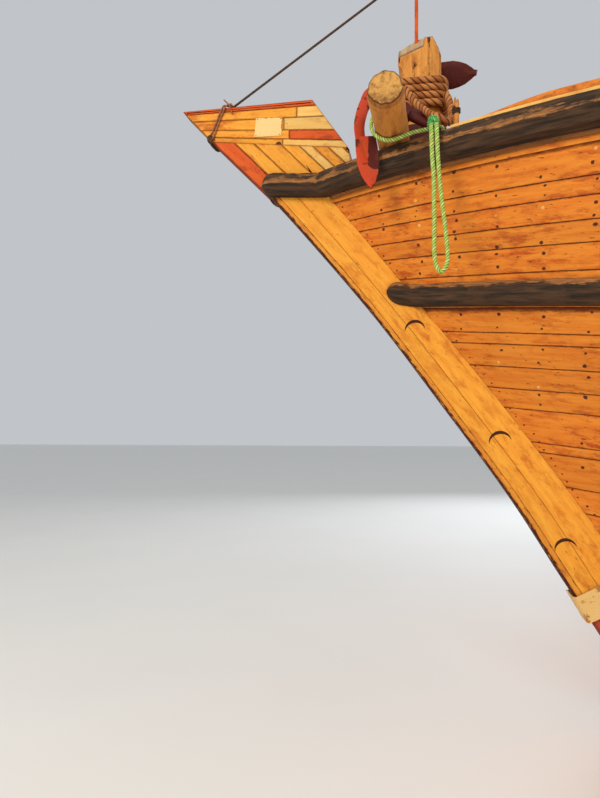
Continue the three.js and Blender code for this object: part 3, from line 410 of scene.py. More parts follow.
def strip(
    shape: Shape,
    low: Array,
    high: Array,
    out: Array,
    tone: float,
    depth: float = 0.03,
    bevel: float = 0.003,
    gap: float = 0.0015,
    crown: float = 0.0015,
    halo: float = 0.022,
    grime: float = 0.0,
    start: float = 0.0,
) -> None:
    """Add one board that lies between two long edges.

    Args:
        shape: The shape that it joins.
        low: The points of its first edge.
        high: The points of its second edge.
        out: The outward direction at each station.
        tone: Its tone, from 0 to 1.
        depth: How deep its edges reach in.
        bevel: The size of its rounded arrises.
        gap: Half the seam on each side.
        crown: How far its middle stands proud.
        halo: How far in from a seam the seam's stain reaches.
        grime: How far down from its second edge a dark gradient runs, painted shade under the timber above
            it.
        start: Where its grain starts.
    """
    across = unit(high - low)
    width = np.linalg.norm(high - low, axis=1, keepdims=True)
    low = low + across * gap
    high = high - across * gap
    inner = np.minimum(halo, width * 0.3)
    # Painted shade: a drop widens the darkened band along the second edge, so the seam stain fades down the
    # board from it.
    upper = np.minimum(max(halo, grime), width * 0.8)
    ring = np.stack(
        [
            low - out * depth,
            low - out * bevel,
            low + across * bevel,
            low + across * inner + out * crown * 0.6,
            low + across * (width - upper) * 0.6 + out * crown,
            high - across * upper + out * crown * 0.6,
            high - across * bevel,
            high - out * bevel,
            high - out * depth,
        ],
        axis=1,
    )
    # Painted shade: the second edge is darkened fully where a drop is given.
    edge = np.array([1, 1, 0.75, 0.05, 0, 0.05, 1.15 if grime else 0.75, 1, 1.0])
    near = np.minimum(np.arange(len(low)), np.arange(len(low))[::-1])
    ends = np.where(near == 0, 0.45, 0.0)[:, None]
    shape.grid(ring, caps=True, tone=tone, edge=np.maximum(edge[None, :], ends), start=start)


def side_strip(shape: Shape, side: Side, low: Array, high: Array, out: Array, **rest: float) -> None:
    """Add one board given for the port side, on either side; rest are the strip's sizes."""
    low, high, out = (mirrored(rows, side.value) for rows in (low, high, out))
    strip(shape, *((low, high) if side is Side.PORT else (high, low)), out, **rest)


def sweep(
    shape: Shape,
    path: Array,
    section: Array,
    scale: Optional[Array] = None,
    hint: Point = (0.0, 0.0, 1.0),
    tone: float = 0.5,
    edge: Number = 0.0,
) -> None:
    """Sweep a closed section along a path.

    Args:
        shape: The shape that it joins.
        path: The path's points.
        section: Its outline, as pairs across the path.
        scale: The section's size at each point of the path.
        hint: The direction that the section's first axis starts near.
        tone: Its tone.
        edge: How near an edge each point of the section lies.
    """
    side, other = frames_along(path, hint)
    size = np.ones(len(path)) if scale is None else scale
    rings = path[:, None, :] + size[:, None, None] * (
        section[None, :, 0, None] * side[:, None, :] + section[None, :, 1, None] * other[:, None, :]
    )
    shape.grid(rings, around=True, caps=True, tone=tone, edge=edge)


def angles(sides: int) -> Array:
    """Return even steps round a circle."""
    return np.linspace(0, 2 * np.pi, sides, endpoint=False)


def turning(a: Array, one: Point, other: Point) -> Array:
    """Return points at angles a on the unit circle in the plane of two directions."""
    return np.cos(a)[..., None] * np.asarray(one) + np.sin(a)[..., None] * np.asarray(other)


def circle(radius: float, sides: int) -> Array:
    """Return a round section."""
    a = angles(sides)
    return radius * np.stack([np.cos(a), np.sin(a)], axis=1)


def beam(
    shape: Shape,
    start: Point,
    end: Point,
    wide: float,
    high: float,
    up: Point = (0.0, 0.0, 1.0),
    bevel: float = 0.004,
    tone: float = 0.5,
) -> None:
    """Add a straight squared timber with rounded arrises.

    Args:
        shape: The shape that it joins.
        start: The middle of one end.
        end: The middle of the other end.
        wide: Its size across the given direction.
        high: Its size along the given direction.
        up: The direction of its height.
        bevel: The size of its arrises.
        tone: Its tone.
    """
    a, b = np.asarray(start, float), np.asarray(end, float)
    along = unit(b - a)
    rise = unit(np.asarray(up, float) - along * np.dot(up, along))
    side = np.cross(rise, along)
    x, y = wide / 2, high / 2
    corners = [(x, y - bevel), (x - bevel, y), (bevel - x, y), (-x, y - bevel)]
    corners += [(-x, bevel - y), (bevel - x, -y), (x - bevel, -y), (x, bevel - y)]
    full = np.array(corners)
    small = full * np.array([(x - bevel) / x, (y - bevel) / y])
    rings = []
    for place, outline in ((a, small), (a + along * bevel, full), (b - along * bevel, full), (b, small)):
        rings.append(place + outline[:, :1] * side + outline[:, 1:] * rise)
    shape.grid(np.array(rings), around=True, caps=True, tone=tone,
        edge=np.array([0.6, 0.2, 0.2, 0.6])[:, None])


def turned(
    shape: Shape,
    start: Point,
    axis: Point,
    profile: Sequence[Pair],
    sides: int = 24,
    tone: float = 0.5,
    edge: Union[float, Sequence[float]] = 0.0,
) -> None:
    """Add a turned form on an axis.

    Args:
        shape: The shape that it joins.
        start: Where the axis starts.
        axis: Its direction.
        profile: Pairs of a distance along the axis and a radius there.
        sides: How many sides it has.
        tone: Its tone.
        edge: How near an edge each ring lies.
    """
    along = unit(np.asarray(axis, float))
    hint = np.array([1.0, 0.0, 0.0]) if abs(along[0]) < 0.9 else np.array([0.0, 1.0, 0.0])
    side = unit(hint - along * hint.dot(along))
    other = np.cross(along, side)
    ring = circle(1.0, sides)
    around = ring[:, :1] * side + ring[:, 1:] * other
    rings = np.array([np.asarray(start) + along * s + around * max(r, 1e-4) for s, r in profile])
    edges = edge
    if np.ndim(edge):
        edges = np.broadcast_to(np.asarray(edge, float).reshape(-1, 1), (len(rings), sides))
    shape.grid(rings, around=True, caps=True, tone=tone, edge=edges)


def board(
    shape: Shape,
    outline: Sequence[Point],
    front: float,
    back: float,
    tone: float,
    lie: Point = (1.0, 0.0),
    bevel: float = 0.004,
    halo: float = 0.022,
) -> None:
    """Add a flat board with a convex outline in the X-Z plane.

    Args:
        shape: The shape that it joins.
        outline: Its corners as X and Z.
        front: The Y of one face.
        back: The Y of the other face.
        tone: Its tone.
        lie: The direction of its grain in X and Z.
        bevel: The size of its arrises.
        halo: How far in from its edge the stain reaches.
    """
    flat = np.asarray(outline, float)
    area = 0.5 * np.sum(flat[:, 0] * np.roll(flat[:, 1], -1) - np.roll(flat[:, 0], -1) * flat[:, 1])
    if (area > 0) == (back > front):
        flat = flat[::-1]
    sign = 1.0 if back > front else -1.0
    rings = []
    for inset, y in (
        (halo, front),
        (bevel, front),
        (0.0, front + sign * bevel),
        (0.0, back - sign * bevel),
        (bevel, back),
        (halo, back),
    ):
        moved = drawn_in(flat, inset + 0.001)
        rings.append(np.stack([moved[:, 0], np.full(len(moved), y), moved[:, 1]], axis=1))
    rings = np.array(rings)
    along = unit(np.asarray(lie, float))
    across = np.array([-along[1], along[0]])
    xz = rings[:, :, [0, 2]]
    grain = np.stack([xz @ along, xz @ across, np.full(xz.shape[:2], tone * 37.0)], axis=2)
    edge = np.array([0, 0.85, 1, 1, 0.85, 0])[:, None]
    shape.grid(rings, around=True, caps=True, tone=tone, edge=edge, grain=grain)


def drawn_in(outline: Array, inset: float) -> Array:
    """Move each side of a convex outline inwards.

    Args:
        outline: Its corners.
        inset: How far its sides move.

    Returns:
        The new corners.
    """
    middle = outline.mean(axis=0)
    before = np.roll(outline, 1, axis=0)
    after = np.roll(outline, -1, axis=0)
    moved = []
    for a, p, b in zip(before, outline, after):
        rows, right = [], []
        for first, second in ((a, p), (p, b)):
            normal = np.array([second[1] - first[1], first[0] - second[0]])
            normal /= max(np.linalg.norm(normal), 1e-9)
            if normal.dot(middle - first) < 0:
                normal = -normal
            rows.append(normal)
            right.append(normal.dot(first) + inset)
        if abs(np.linalg.det(rows)) > 0.05:
            moved.append(np.linalg.solve(rows, right))
        else:
            moved.append(p + unit(middle - p) * inset)
    return np.array(moved)


def kept_side(outline: Array, normal: Array, at: float) -> Array:
    """Return the part of a convex outline whose distance along the normal is at least the given one."""
    kept = []
    for p, q in zip(outline, np.roll(outline, -1, axis=0)):
        dp, dq = p.dot(normal) - at, q.dot(normal) - at
        if dp >= 0:
            kept.append(p)
        if dp * dq < 0:
            kept.append(p + (q - p) * dp / (dp - dq))
    return np.array(kept)


@dataclass(frozen=True)
class Timber:
    """Wood in boards: streaks along the grain, a stain along the seams, and patches of wear."""

    name: str
    pale: Colour
    mid: Colour
    deep: Colour
    seam: Colour
    stain: float = 0.55
    grain: float = 1.0
    gloss: float = 0.55
    ragged: float = 0.0
    spots: float = 0.5
    relief: float = 0.0016
    loose: bool = False

    def build(self) -> bpy.types.Material:
        """Make the material; a loose one measures its grain on the piece, as plain nodes have no facts."""
        paint = Paint(self.name)
        place = paint.place()
        grain = place if self.loose else paint.grain()
        tone = paint.noise(place, 0.35, 1.0) if self.loose else paint.fact("tone")
        edge = paint.fact("edge")
        along = paint.stretch(grain, (1.0, 13.0, 1.0))
        streak = paint.noise(along, 2.2 * self.grain, 6.0, 0.62).step(0.32, 0.72)
        fibre = paint.drawn(grain, (1.6, 70.0), 4.0, 3.0, 0.6)
        patch = paint.noise(place, 1.7, 4.0, 0.6).step(0.36, 0.62)
        blotch = paint.drawn(grain, (1.0, 2.6), 5.0, 5.0, 0.7).step(0.44, 0.68)
        light = paint.drawn(grain, (1.0, 3.5), 3.1, 5.0, 0.7).step(0.54, 0.72)
        spot = paint.drawn(grain, (1.0, 2.2), 21.0, 2.0, 0.5).step(0.66, 0.76)
        colour = paint.mix(streak * 0.75 + (fibre - 0.5) * 0.5, self.pale, self.mid)
        colour = paint.mix(light * 0.55, colour, self.pale)
        colour = paint.mix(blotch * 0.35 + blotch * patch * 0.55 + (tone - 0.5) * 0.3, colour, self.deep)
        colour = paint.mix(spot * self.spots, colour, self.seam)
        torn = paint.drawn(grain, (5.0, 14.0), 3.0, 4.0, 0.7)
        halo = (edge + (torn - 0.5) * (0.9 + self.ragged)).step(0.40, 1.0)
        colour = paint.mix(halo * self.stain, colour, self.seam)
        colour = paint.shade(colour, 0.74 + fibre * 0.34 + (tone - 0.5) * 0.18)
        rough = self.gloss + fibre * 0.2 + halo * 0.15
        height = (fibre * 0.5 + streak * 0.35 - spot * 0.8 + torn * 0.25) * self.relief
        return paint.finish(colour, rough, height)


@dataclass(frozen=True)
class WornTimber:
    """Dark weathered timber: furrowed, with its arrises rubbed back to bright wood."""

    name: str
    dark: Colour
    brown: Colour
    bright: Colour
    rubbed: float = 0.6

    def build(self) -> bpy.types.Material:
        """Make the material."""
        paint = Paint(self.name)
        place = paint.place()
        grain = paint.grain()
        edge = paint.fact("edge")
        furrow = paint.drawn(grain, (1.0, 11.0), 3.0, 6.0, 0.65)
        fibre = paint.drawn(grain, (2.0, 60.0), 5.0, 3.0, 0.6)
        patch = paint.noise(place, 2.4, 4.0, 0.6)
        scar = paint.drawn(grain, (1.0, 3.0), 9.0, 5.0, 0.7)
        colour = paint.mix(furrow.step(0.35, 0.7), self.dark, self.brown)
        colour = paint.mix(patch.step(0.52, 0.68) * 0.55, colour, self.brown)
        rub = (edge * 0.75 + (scar - 0.5) * 1.3 + (patch - 0.5) * 0.8).step(0.42, 0.62)
        chip = (scar * 0.7 + furrow * 0.3).step(0.645, 0.68)
        bare = paint.mix(fibre.step(0.3, 0.7), self.bright, self.brown)
        colour = paint.mix(rub * self.rubbed + chip * 0.7, colour, bare)
        colour = paint.shade(colour, 0.72 + fibre * 0.5)
        height = (furrow * 1.2 + fibre * 0.4 + scar * 1.0 - chip * 0.8) * 0.004
        return paint.finish(colour, 0.72 + fibre * 0.2, height)


@dataclass(frozen=True)
class LaidRope:
    """Rope of three strands with painted shade dark in its grooves, and fibres along each strand."""

    name: str
    strand: Colour
    other: Colour
    groove_shade: Colour

    def build(self) -> bpy.types.Material:
        """Make the material."""
        paint = Paint(self.name)
        grain = paint.grain()
        edge = paint.fact("edge")
        along, around, _ = paint.parts(grain)
        fibre = paint.noise(paint.join(along * 240.0, around * 900.0, 0.0), 1.0, 3.0, 0.6)
        worn = paint.noise(paint.place(), 14.0, 3.0, 0.6)
        strand = paint.fact("strand").step(0.4, 0.6)
        colour = paint.mix(strand, self.strand, self.other)
        # Painted shade: the grooves between the strands darken almost to black.
        colour = paint.mix(edge.step(0.30, 0.85) * 0.95, colour, self.groove_shade)
        colour = paint.shade(colour, 0.7 + fibre * 0.35 + worn * 0.2)
        return paint.finish(colour, 0.75, fibre * 0.0012 + worn * 0.0008)


@dataclass(frozen=True)
class WornPaint:
    """Brushed paint that has chipped and faded over another colour."""

    name: str
    paint: Colour
    under: Colour
    faded: Colour
    chips: float = 0.5
    gloss: float = 0.5
    metal: float = 0.0
    other: Optional[Colour] = None

    def build(self) -> bpy.types.Material:
        """Make the material."""
        paint = Paint(self.name)
        place = paint.place()
        edge = paint.fact("edge")
        broad = paint.noise(place, 1.7, 4.0, 0.6)
        flake = paint.noise(place, 13.0, 5.0, 0.68)
        brush = paint.noise(paint.stretch(place, (3.0, 3.0, 55.0)), 2.0, 3.0, 0.5)
        chip = (flake + edge * 0.16 * self.chips + broad * 0.2).step(0.84 - 0.2 * self.chips,
            0.88 - 0.2 * self.chips)
        base = paint.mix(broad.step(0.35, 0.7) * 0.8, self.paint, self.faded)
        if self.other:
            base = paint.mix((paint.fact("tone") + (flake - 0.5) * 0.6).step(0.55, 0.45), base, self.other)
        colour = paint.mix(chip, base, self.under)
        colour = paint.shade(colour, 0.82 + brush * 0.16 + flake * 0.18)
        rough = self.gloss + chip * 0.3 + brush * 0.12
        height = (brush * 0.35 + flake * 0.4 - chip * 0.9) * 0.0012
        return paint.finish(colour, rough, height, Metallic=chip * self.metal)


@dataclass(frozen=True)
class Metal:
    """Cast or forged metal, with a dull skin and brighter worn edges."""

    name: str
    skin: Colour
    worn: Colour
    rust: Colour
    metallic: float = 0.85
    gloss: float = 0.45

    def build(self) -> bpy.types.Material:
        """Make the material."""
        paint = Paint(self.name)
        place = paint.place()
        edge = paint.fact("edge")
        pit = paint.noise(place, 40.0, 5.0, 0.65)
        broad = paint.noise(place, 5.0, 4.0, 0.6)
        colour = paint.mix(broad.step(0.35, 0.7), self.skin, self.worn)
        scale = (pit * 0.6 + broad * 0.5).step(0.55, 0.68)
        colour = paint.mix(scale * 0.85, colour, self.rust)
        colour = paint.mix(edge * 0.5, colour, self.worn)
        metallic = (1 - scale) * self.metallic
        return paint.finish(colour, self.gloss + scale * 0.35 + pit * 0.1, pit * 0.0012, Metallic=metallic)


@dataclass(frozen=True)
class Canvas:
    """Rolled cotton canvas: a weave, cloth seams, stains, and painted shade darkening the hollows of its
    folds.
    """

    name: str
    cloth: Colour
    grime: Colour

    def build(self) -> bpy.types.Material:
        """Make the material."""
        paint = Paint(self.name)
        grain = paint.grain()
        edge = paint.fact("edge")
        along, around, _ = paint.parts(grain)
        weave = (along * 2600.0).sine() * (around * 2600.0).sine()
        stain = paint.drawn(grain, (1.0, 3.0), 2.6, 5.0, 0.65)
        # Painted shade: the edge fact rises in the hollows of the folds, which darken towards the grime
        # colour together with the stains.
        dirt_and_fold_shade = (stain * 0.8 + edge * 0.5).step(0.42, 0.95)
        colour = paint.mix(dirt_and_fold_shade * 0.8, self.cloth, self.grime)
        colour = paint.shade(colour, 0.93 + weave * 0.04)
        return paint.finish(colour, 0.9, weave * 0.0003 + stain * 0.006)


@dataclass(frozen=True)
class Glass:
    """Old window glass with a film of salt."""

    name: str
    tint: Colour

    def build(self) -> bpy.types.Material:
        """Make the material."""
        paint = Paint(self.name)
        film = paint.noise(paint.place(), 6.0, 5.0, 0.65)
        colour = paint.mix(film.step(0.45, 0.75) * 0.3, self.tint, (0.6, 0.62, 0.58))
        return paint.finish(colour, 0.06 + film * 0.2, Alpha=0.4 + film * 0.35)


@dataclass(frozen=True)
class EndGrain:
    """The sawn end of a log: rings, radial cracks and bleached wood."""

    name: str
    pale: Colour
    ring: Colour
    crack: Colour

    def build(self) -> bpy.types.Material:
        """Make the material; the grain fact holds the place across the end."""
        paint = Paint(self.name)
        across, up, _ = paint.parts(paint.grain())
        wobble = paint.noise(paint.place(), 9.0, 4.0, 0.6)
        radius = (across * across + up * up) ** 0.5
        rings = ((radius + wobble * 0.05) * 330.0).sine()
        angle = paint.node("ShaderNodeMath", {"operation": "ARCTAN2"}, {0: up, 1: across})
        crack = ((angle * 3.5 + wobble * 7.0).sine() ** 10.0) * radius.step(0.005, 0.09)
        patch = paint.noise(paint.place(), 22.0, 5.0, 0.7)
        colour = paint.mix(rings * 0.12 + patch.step(0.35, 0.7) * 0.6, self.pale, self.ring)
        colour = paint.mix(crack * 0.35 + patch.step(0.5, 0.7) * 0.45, colour, self.crack)
        rim = (paint.fact("edge") + (patch - 0.5) * 0.6).step(0.35, 0.9)
        # Painted shade: the lower part of the end darkens towards the crack colour.
        low = up.step(0.02, -0.10) * patch.step(0.25, 0.6)
        colour = paint.mix(rim * 0.8 + low * 0.6, colour, self.crack)
        height = patch * 0.006 - crack * 0.006 + rings * 0.0006
        return paint.finish(colour, 0.85, height)


ORANGE = Timber("orange_planking", (0.88, 0.30, 0.030), (0.72, 0.17, 0.011), (0.42, 0.050, 0.006),
    (0.09, 0.010, 0.003), 0.85, spots=0.75)
GOLD = Timber("golden_stem", (0.95, 0.44, 0.045), (0.84, 0.30, 0.020), (0.54, 0.12, 0.008),
    (0.16, 0.025, 0.005), 0.55, spots=0.45)
REDDENED = Timber("reddened_timber", (0.80, 0.125, 0.010), (0.66, 0.080, 0.007), (0.36, 0.035, 0.005),
    (0.12, 0.012, 0.004), 0.7, spots=0.8)
CHAFED = Timber("chafed_timber", (0.90, 0.38, 0.04), (0.72, 0.22, 0.02), (0.34, 0.06, 0.012),
    (0.07, 0.012, 0.005), 1.0, ragged=1.6)
# Painted shade: this dark finish on the strake under the main rail stands for the rail's shadow.
SHADED_SHEER = Timber("shaded_sheer_plank", (0.44, 0.16, 0.04), (0.26, 0.09, 0.025), (0.08, 0.03, 0.012),
    (0.02, 0.008, 0.004), 1.0)
BOTTOM = Timber("red_bottom_boards", (0.56, 0.08, 0.03), (0.48, 0.06, 0.025), (0.32, 0.04, 0.02),
    (0.12, 0.02, 0.015), 0.5, spots=0.2)
BRIGHT = Timber("pale_timber", (0.92, 0.60, 0.18), (0.84, 0.44, 0.09), (0.58, 0.22, 0.03),
    (0.18, 0.05, 0.012), 0.6)
DECKING = Timber("deck_planks", (0.52, 0.36, 0.22), (0.42, 0.27, 0.15), (0.27, 0.16, 0.09),
    (0.04, 0.025, 0.02), 0.9, spots=0.15)
BITT_SIDE = Timber("hewn_bitt", (0.80, 0.36, 0.07), (0.58, 0.20, 0.03), (0.30, 0.08, 0.012),
    (0.05, 0.012, 0.005), 1.0, ragged=0.6)
SPAR = Timber("oiled_spar", (0.66, 0.36, 0.14), (0.52, 0.24, 0.08), (0.32, 0.12, 0.04), (0.10, 0.04, 0.02),
    0.4, grain=0.7)
LOG_BARK = Timber("log_side", (0.74, 0.33, 0.07), (0.54, 0.19, 0.03), (0.28, 0.08, 0.015),
    (0.05, 0.015, 0.006), 0.7, grain=0.8)
GREYED = Timber("greyed_timber", (0.60, 0.42, 0.24), (0.44, 0.26, 0.12), (0.26, 0.15, 0.09),
    (0.07, 0.04, 0.03), 0.8)
DARK = WornTimber("dark_rail_timber", (0.022, 0.015, 0.010), (0.10, 0.050, 0.024), (0.66, 0.27, 0.07), 0.8)
CAULK = WornPaint("seam_caulking", (0.045, 0.010, 0.006), (0.06, 0.02, 0.01), (0.05, 0.012, 0.008))
CREAM = WornPaint("cream_paint", (0.82, 0.58, 0.24), (0.42, 0.18, 0.05), (0.72, 0.44, 0.14), 0.6)
HOUSE = WornPaint("house_paint", (0.80, 0.72, 0.52), (0.44, 0.27, 0.14), (0.70, 0.60, 0.40), 0.45)
TRIM = WornPaint("trim_paint", (0.10, 0.36, 0.34), (0.46, 0.30, 0.16), (0.20, 0.42, 0.36), 0.5)
ANCHOR_PAINT = WornPaint("anchor_red_and_maroon", (0.60, 0.050, 0.012), (0.14, 0.03, 0.015),
    (0.46, 0.075, 0.025), 0.55, 0.42, 0.3, other=(0.085, 0.010, 0.008))
BROWN_ROPE = LaidRope("brown_rope", (0.52, 0.20, 0.055), (0.36, 0.12, 0.03), (0.035, 0.010, 0.004))
GREEN_ROPE = LaidRope("green_rope", (0.42, 0.62, 0.12), (0.62, 0.74, 0.24), (0.015, 0.07, 0.010))
GREEN_KNOT = LaidRope("green_knot", (0.10, 0.50, 0.13), (0.24, 0.62, 0.18), (0.01, 0.08, 0.02))
TARRED = LaidRope("tarred_line", (0.10, 0.055, 0.03), (0.08, 0.045, 0.03), (0.02, 0.01, 0.01))
LASHING = LaidRope("lashing_line", (0.42, 0.17, 0.07), (0.34, 0.12, 0.05), (0.08, 0.03, 0.02))
IRON = Metal("tarred_iron", (0.045, 0.04, 0.038), (0.10, 0.085, 0.075), (0.22, 0.07, 0.025), 0.6, 0.55)
BRONZE = Metal("cast_bronze", (0.42, 0.26, 0.09), (0.70, 0.48, 0.20), (0.09, 0.22, 0.16), 0.9, 0.35)
SAILCLOTH = Canvas("sail_canvas", (0.74, 0.64, 0.46), (0.34, 0.25, 0.15))
PANE = Glass("salted_glass", (0.10, 0.13, 0.13))
LOG_END = EndGrain("log_end", (0.66, 0.36, 0.10), (0.48, 0.22, 0.05), (0.10, 0.03, 0.01))
PLUG = Timber("plug_wood", (0.12, 0.03, 0.012), (0.08, 0.02, 0.01), (0.04, 0.012, 0.006),
    (0.02, 0.006, 0.004), 0.5)
LOOSE = Timber("plain_timber", (0.66, 0.36, 0.14), (0.52, 0.24, 0.08), (0.32, 0.12, 0.04),
    (0.10, 0.04, 0.02), 0.3, loose=True)

Finish = Union[Timber, WornTimber, LaidRope, WornPaint, Metal, Canvas, Glass, EndGrain]


class Palette:
    """Builds each finish once, when it is first asked for."""

    made: dict[str, bpy.types.Material] = {}

    @classmethod
    def of(cls, finish: Finish) -> bpy.types.Material:
        """Return the finish's material."""
        if finish.name not in cls.made:
            cls.made[finish.name] = finish.build()
        return cls.made[finish.name]


@dataclass(frozen=True)
class Row:
    """One line of the hull's skin, from the transom to the stem."""

    bow_x: float
    bow_z: float
    mid_y: float
    mid_z: float
    aft_y: float
    aft_z: float
    full_bow: float
    full_aft: float
    slope_bow: float
    slope_aft: float


@dataclass
class Skin:
    """The hull's surface: t runs from the transom to the stem, v from the keel to the sheer."""

    stem_half: float = 0.11
    mid_x: float = -1.0
    waist_x: float = -3.0
    stern_foot: float = -8.52
    stern_rake: float = 0.28
    deck_drop: float = 0.85
    rows: tuple[Row, ...] = (
        Row(4.30, -1.15, 0.11, -1.15, 0.11, -1.15, 1.0, 1.0, 0.0, 0.0),
        Row(5.13, -0.56, 1.50, -0.98, 0.11, -0.62, 1.15, 1.6, 0.14, 0.12),
        Row(5.70, 0.29, 2.35, -0.42, 0.11, 0.06, 1.35, 1.9, 0.18, 0.16),
        Row(6.29, 1.33, 2.64, 0.64, 0.90, 1.00, 1.6, 2.2, 0.15, 0.14),
        Row(7.00, 2.35, 2.74, 1.45, 1.45, 1.85, 1.9, 2.4, 0.14, 0.14),
        Row(7.86, 3.47, 2.79, 2.28, 1.74, 2.78, 2.2, 2.6, 0.17, 0.14),
        Row(8.68, 4.50, 2.80, 3.25, 1.90, 3.95, 2.6, 2.6, 0.075, 0.13),
    )
    table: Array = field(init=False)

    def __post_init__(self) -> None:
        """Lay the rows out as an array, with one more row beyond each end."""
        names = Row.__dataclass_fields__
        raw = np.array([[getattr(row, name) for name in names] for row in self.rows])
        self.table = np.vstack([2 * raw[0] - raw[1], raw, 2 * raw[-1] - raw[-2]])

    def columns(self, v: Array) -> Array:
        """Return the smoothed row values at each v, one column a value."""
        last = len(self.rows) - 1
        at = np.clip(v, 0, 1) * last
        k = np.minimum(at.astype(int), last - 1)
        f = (at - k)[..., None]
        a, b, c, d = (self.table[k + i] for i in range(4))
        return b + 0.5 * f * (c - a + f * (2 * a - 5 * b + 4 * c - d + f * (3 * (b - c) + d - a)))

    def at(self, t: Number, v: Number) -> Array:
        """Return the port side's points at t and v."""
        t, v = np.broadcast_arrays(np.asarray(t, float), np.asarray(v, float))
        bow_x, bow_z, mid_y, mid_z, aft_y, aft_z, full_bow, full_aft, slope_bow, slope_aft = np.moveaxis(
            self.columns(v), -1, 0
        )
        aft_x = self.stern_foot - self.stern_rake * aft_z
        x = aft_x + (bow_x - aft_x) * t
        fore = x > self.mid_x
        reach = np.where(fore, (x - self.mid_x) / (bow_x - self.mid_x),
            (self.mid_x - x) / (self.mid_x - aft_x))
        end = np.where(fore, self.stem_half, aft_y)
        power = np.where(fore, full_bow, full_aft)
        y = end + (mid_y - end) * (1 - np.clip(reach, 0, 1) ** power)
        ahead = x > self.waist_x
        length = np.where(ahead, bow_x - self.waist_x, self.waist_x - aft_x)
        s = np.minimum(np.abs(x - self.waist_x) / length, 1)
        span = np.where(ahead, bow_z, aft_z) - mid_z
        slope = np.where(ahead, slope_bow, slope_aft)
        safe = np.where(np.abs(span) < 1e-3, 1.0, span)
        m = np.clip(slope * length / safe, 0, 2.9)
        rise = np.where(np.abs(span) < 1e-3, 0.0, span * s * s * (3 - m - (2 - m) * s))
        return np.stack([x, y, mid_z + rise], axis=-1)

    def outward(self, t: Array, v: Array) -> Array:
        """Return the port side's outward directions at t and v."""
        d = 1e-3
        along = self.at(np.clip(t + d, 0, 1), v) - self.at(np.clip(t - d, 0, 1), v)
        up = self.at(t, np.clip(v + d, 0, 1)) - self.at(t, np.clip(v - d, 0, 1))
        out = unit(np.cross(up, along))
        return np.where(out[..., 1:2] < 0, -out, out)

    def t_at(self, x: Number, v: Number) -> Array:
        """Return the t at which row v passes X."""
        c = self.columns(np.asarray(v, float))
        aft_x = self.stern_foot - self.stern_rake * c[..., 5]
        return (x - aft_x) / (c[..., 0] - aft_x)

    def on(self, x: Number, v: Number) -> Array:
        """Return the port side's points at X on row v."""
        return self.at(self.t_at(x, v), v)

    def v_at(self, x: float, z: float) -> float:
        """Return the row at which the skin is at height z abreast of X."""
        low, high = 0.0, 1.0
        for _ in range(24):
            v = (low + high) / 2
            t = float(np.clip(self.t_at(x, v), 0, 1))
            if self.at(t, v)[2] < z:
                low = v
            else:
                high = v
        return (low + high) / 2

    def abreast(self, x: float, z: float) -> Array:
        """Return the port side's point at X and height z."""
        return self.on(x, self.v_at(x, z))

    def sheer(self, x: Number) -> Array:
        """Return the sheer's height at X."""
        return self.at(np.clip(self.t_at(x, 1.0), 0, 1), 1.0)[..., 2]

    def deck(self, x: Number) -> Array:
        """Return the deck's height at X."""
        return self.sheer(x) - self.deck_drop

    def stations(self, fine: float = 0.1, coarse: float = 0.28) -> Array:
        """Return t from the transom to the stem, closer together towards the bow."""
        bow = np.arange(1.0, 0.72, -fine / 18.0)
        body = np.linspace(0.0, bow[-1] - coarse / 18.0, int(13.0 / coarse))
        return np.concatenate([body, bow[::-1]])


SKIN = Skin()


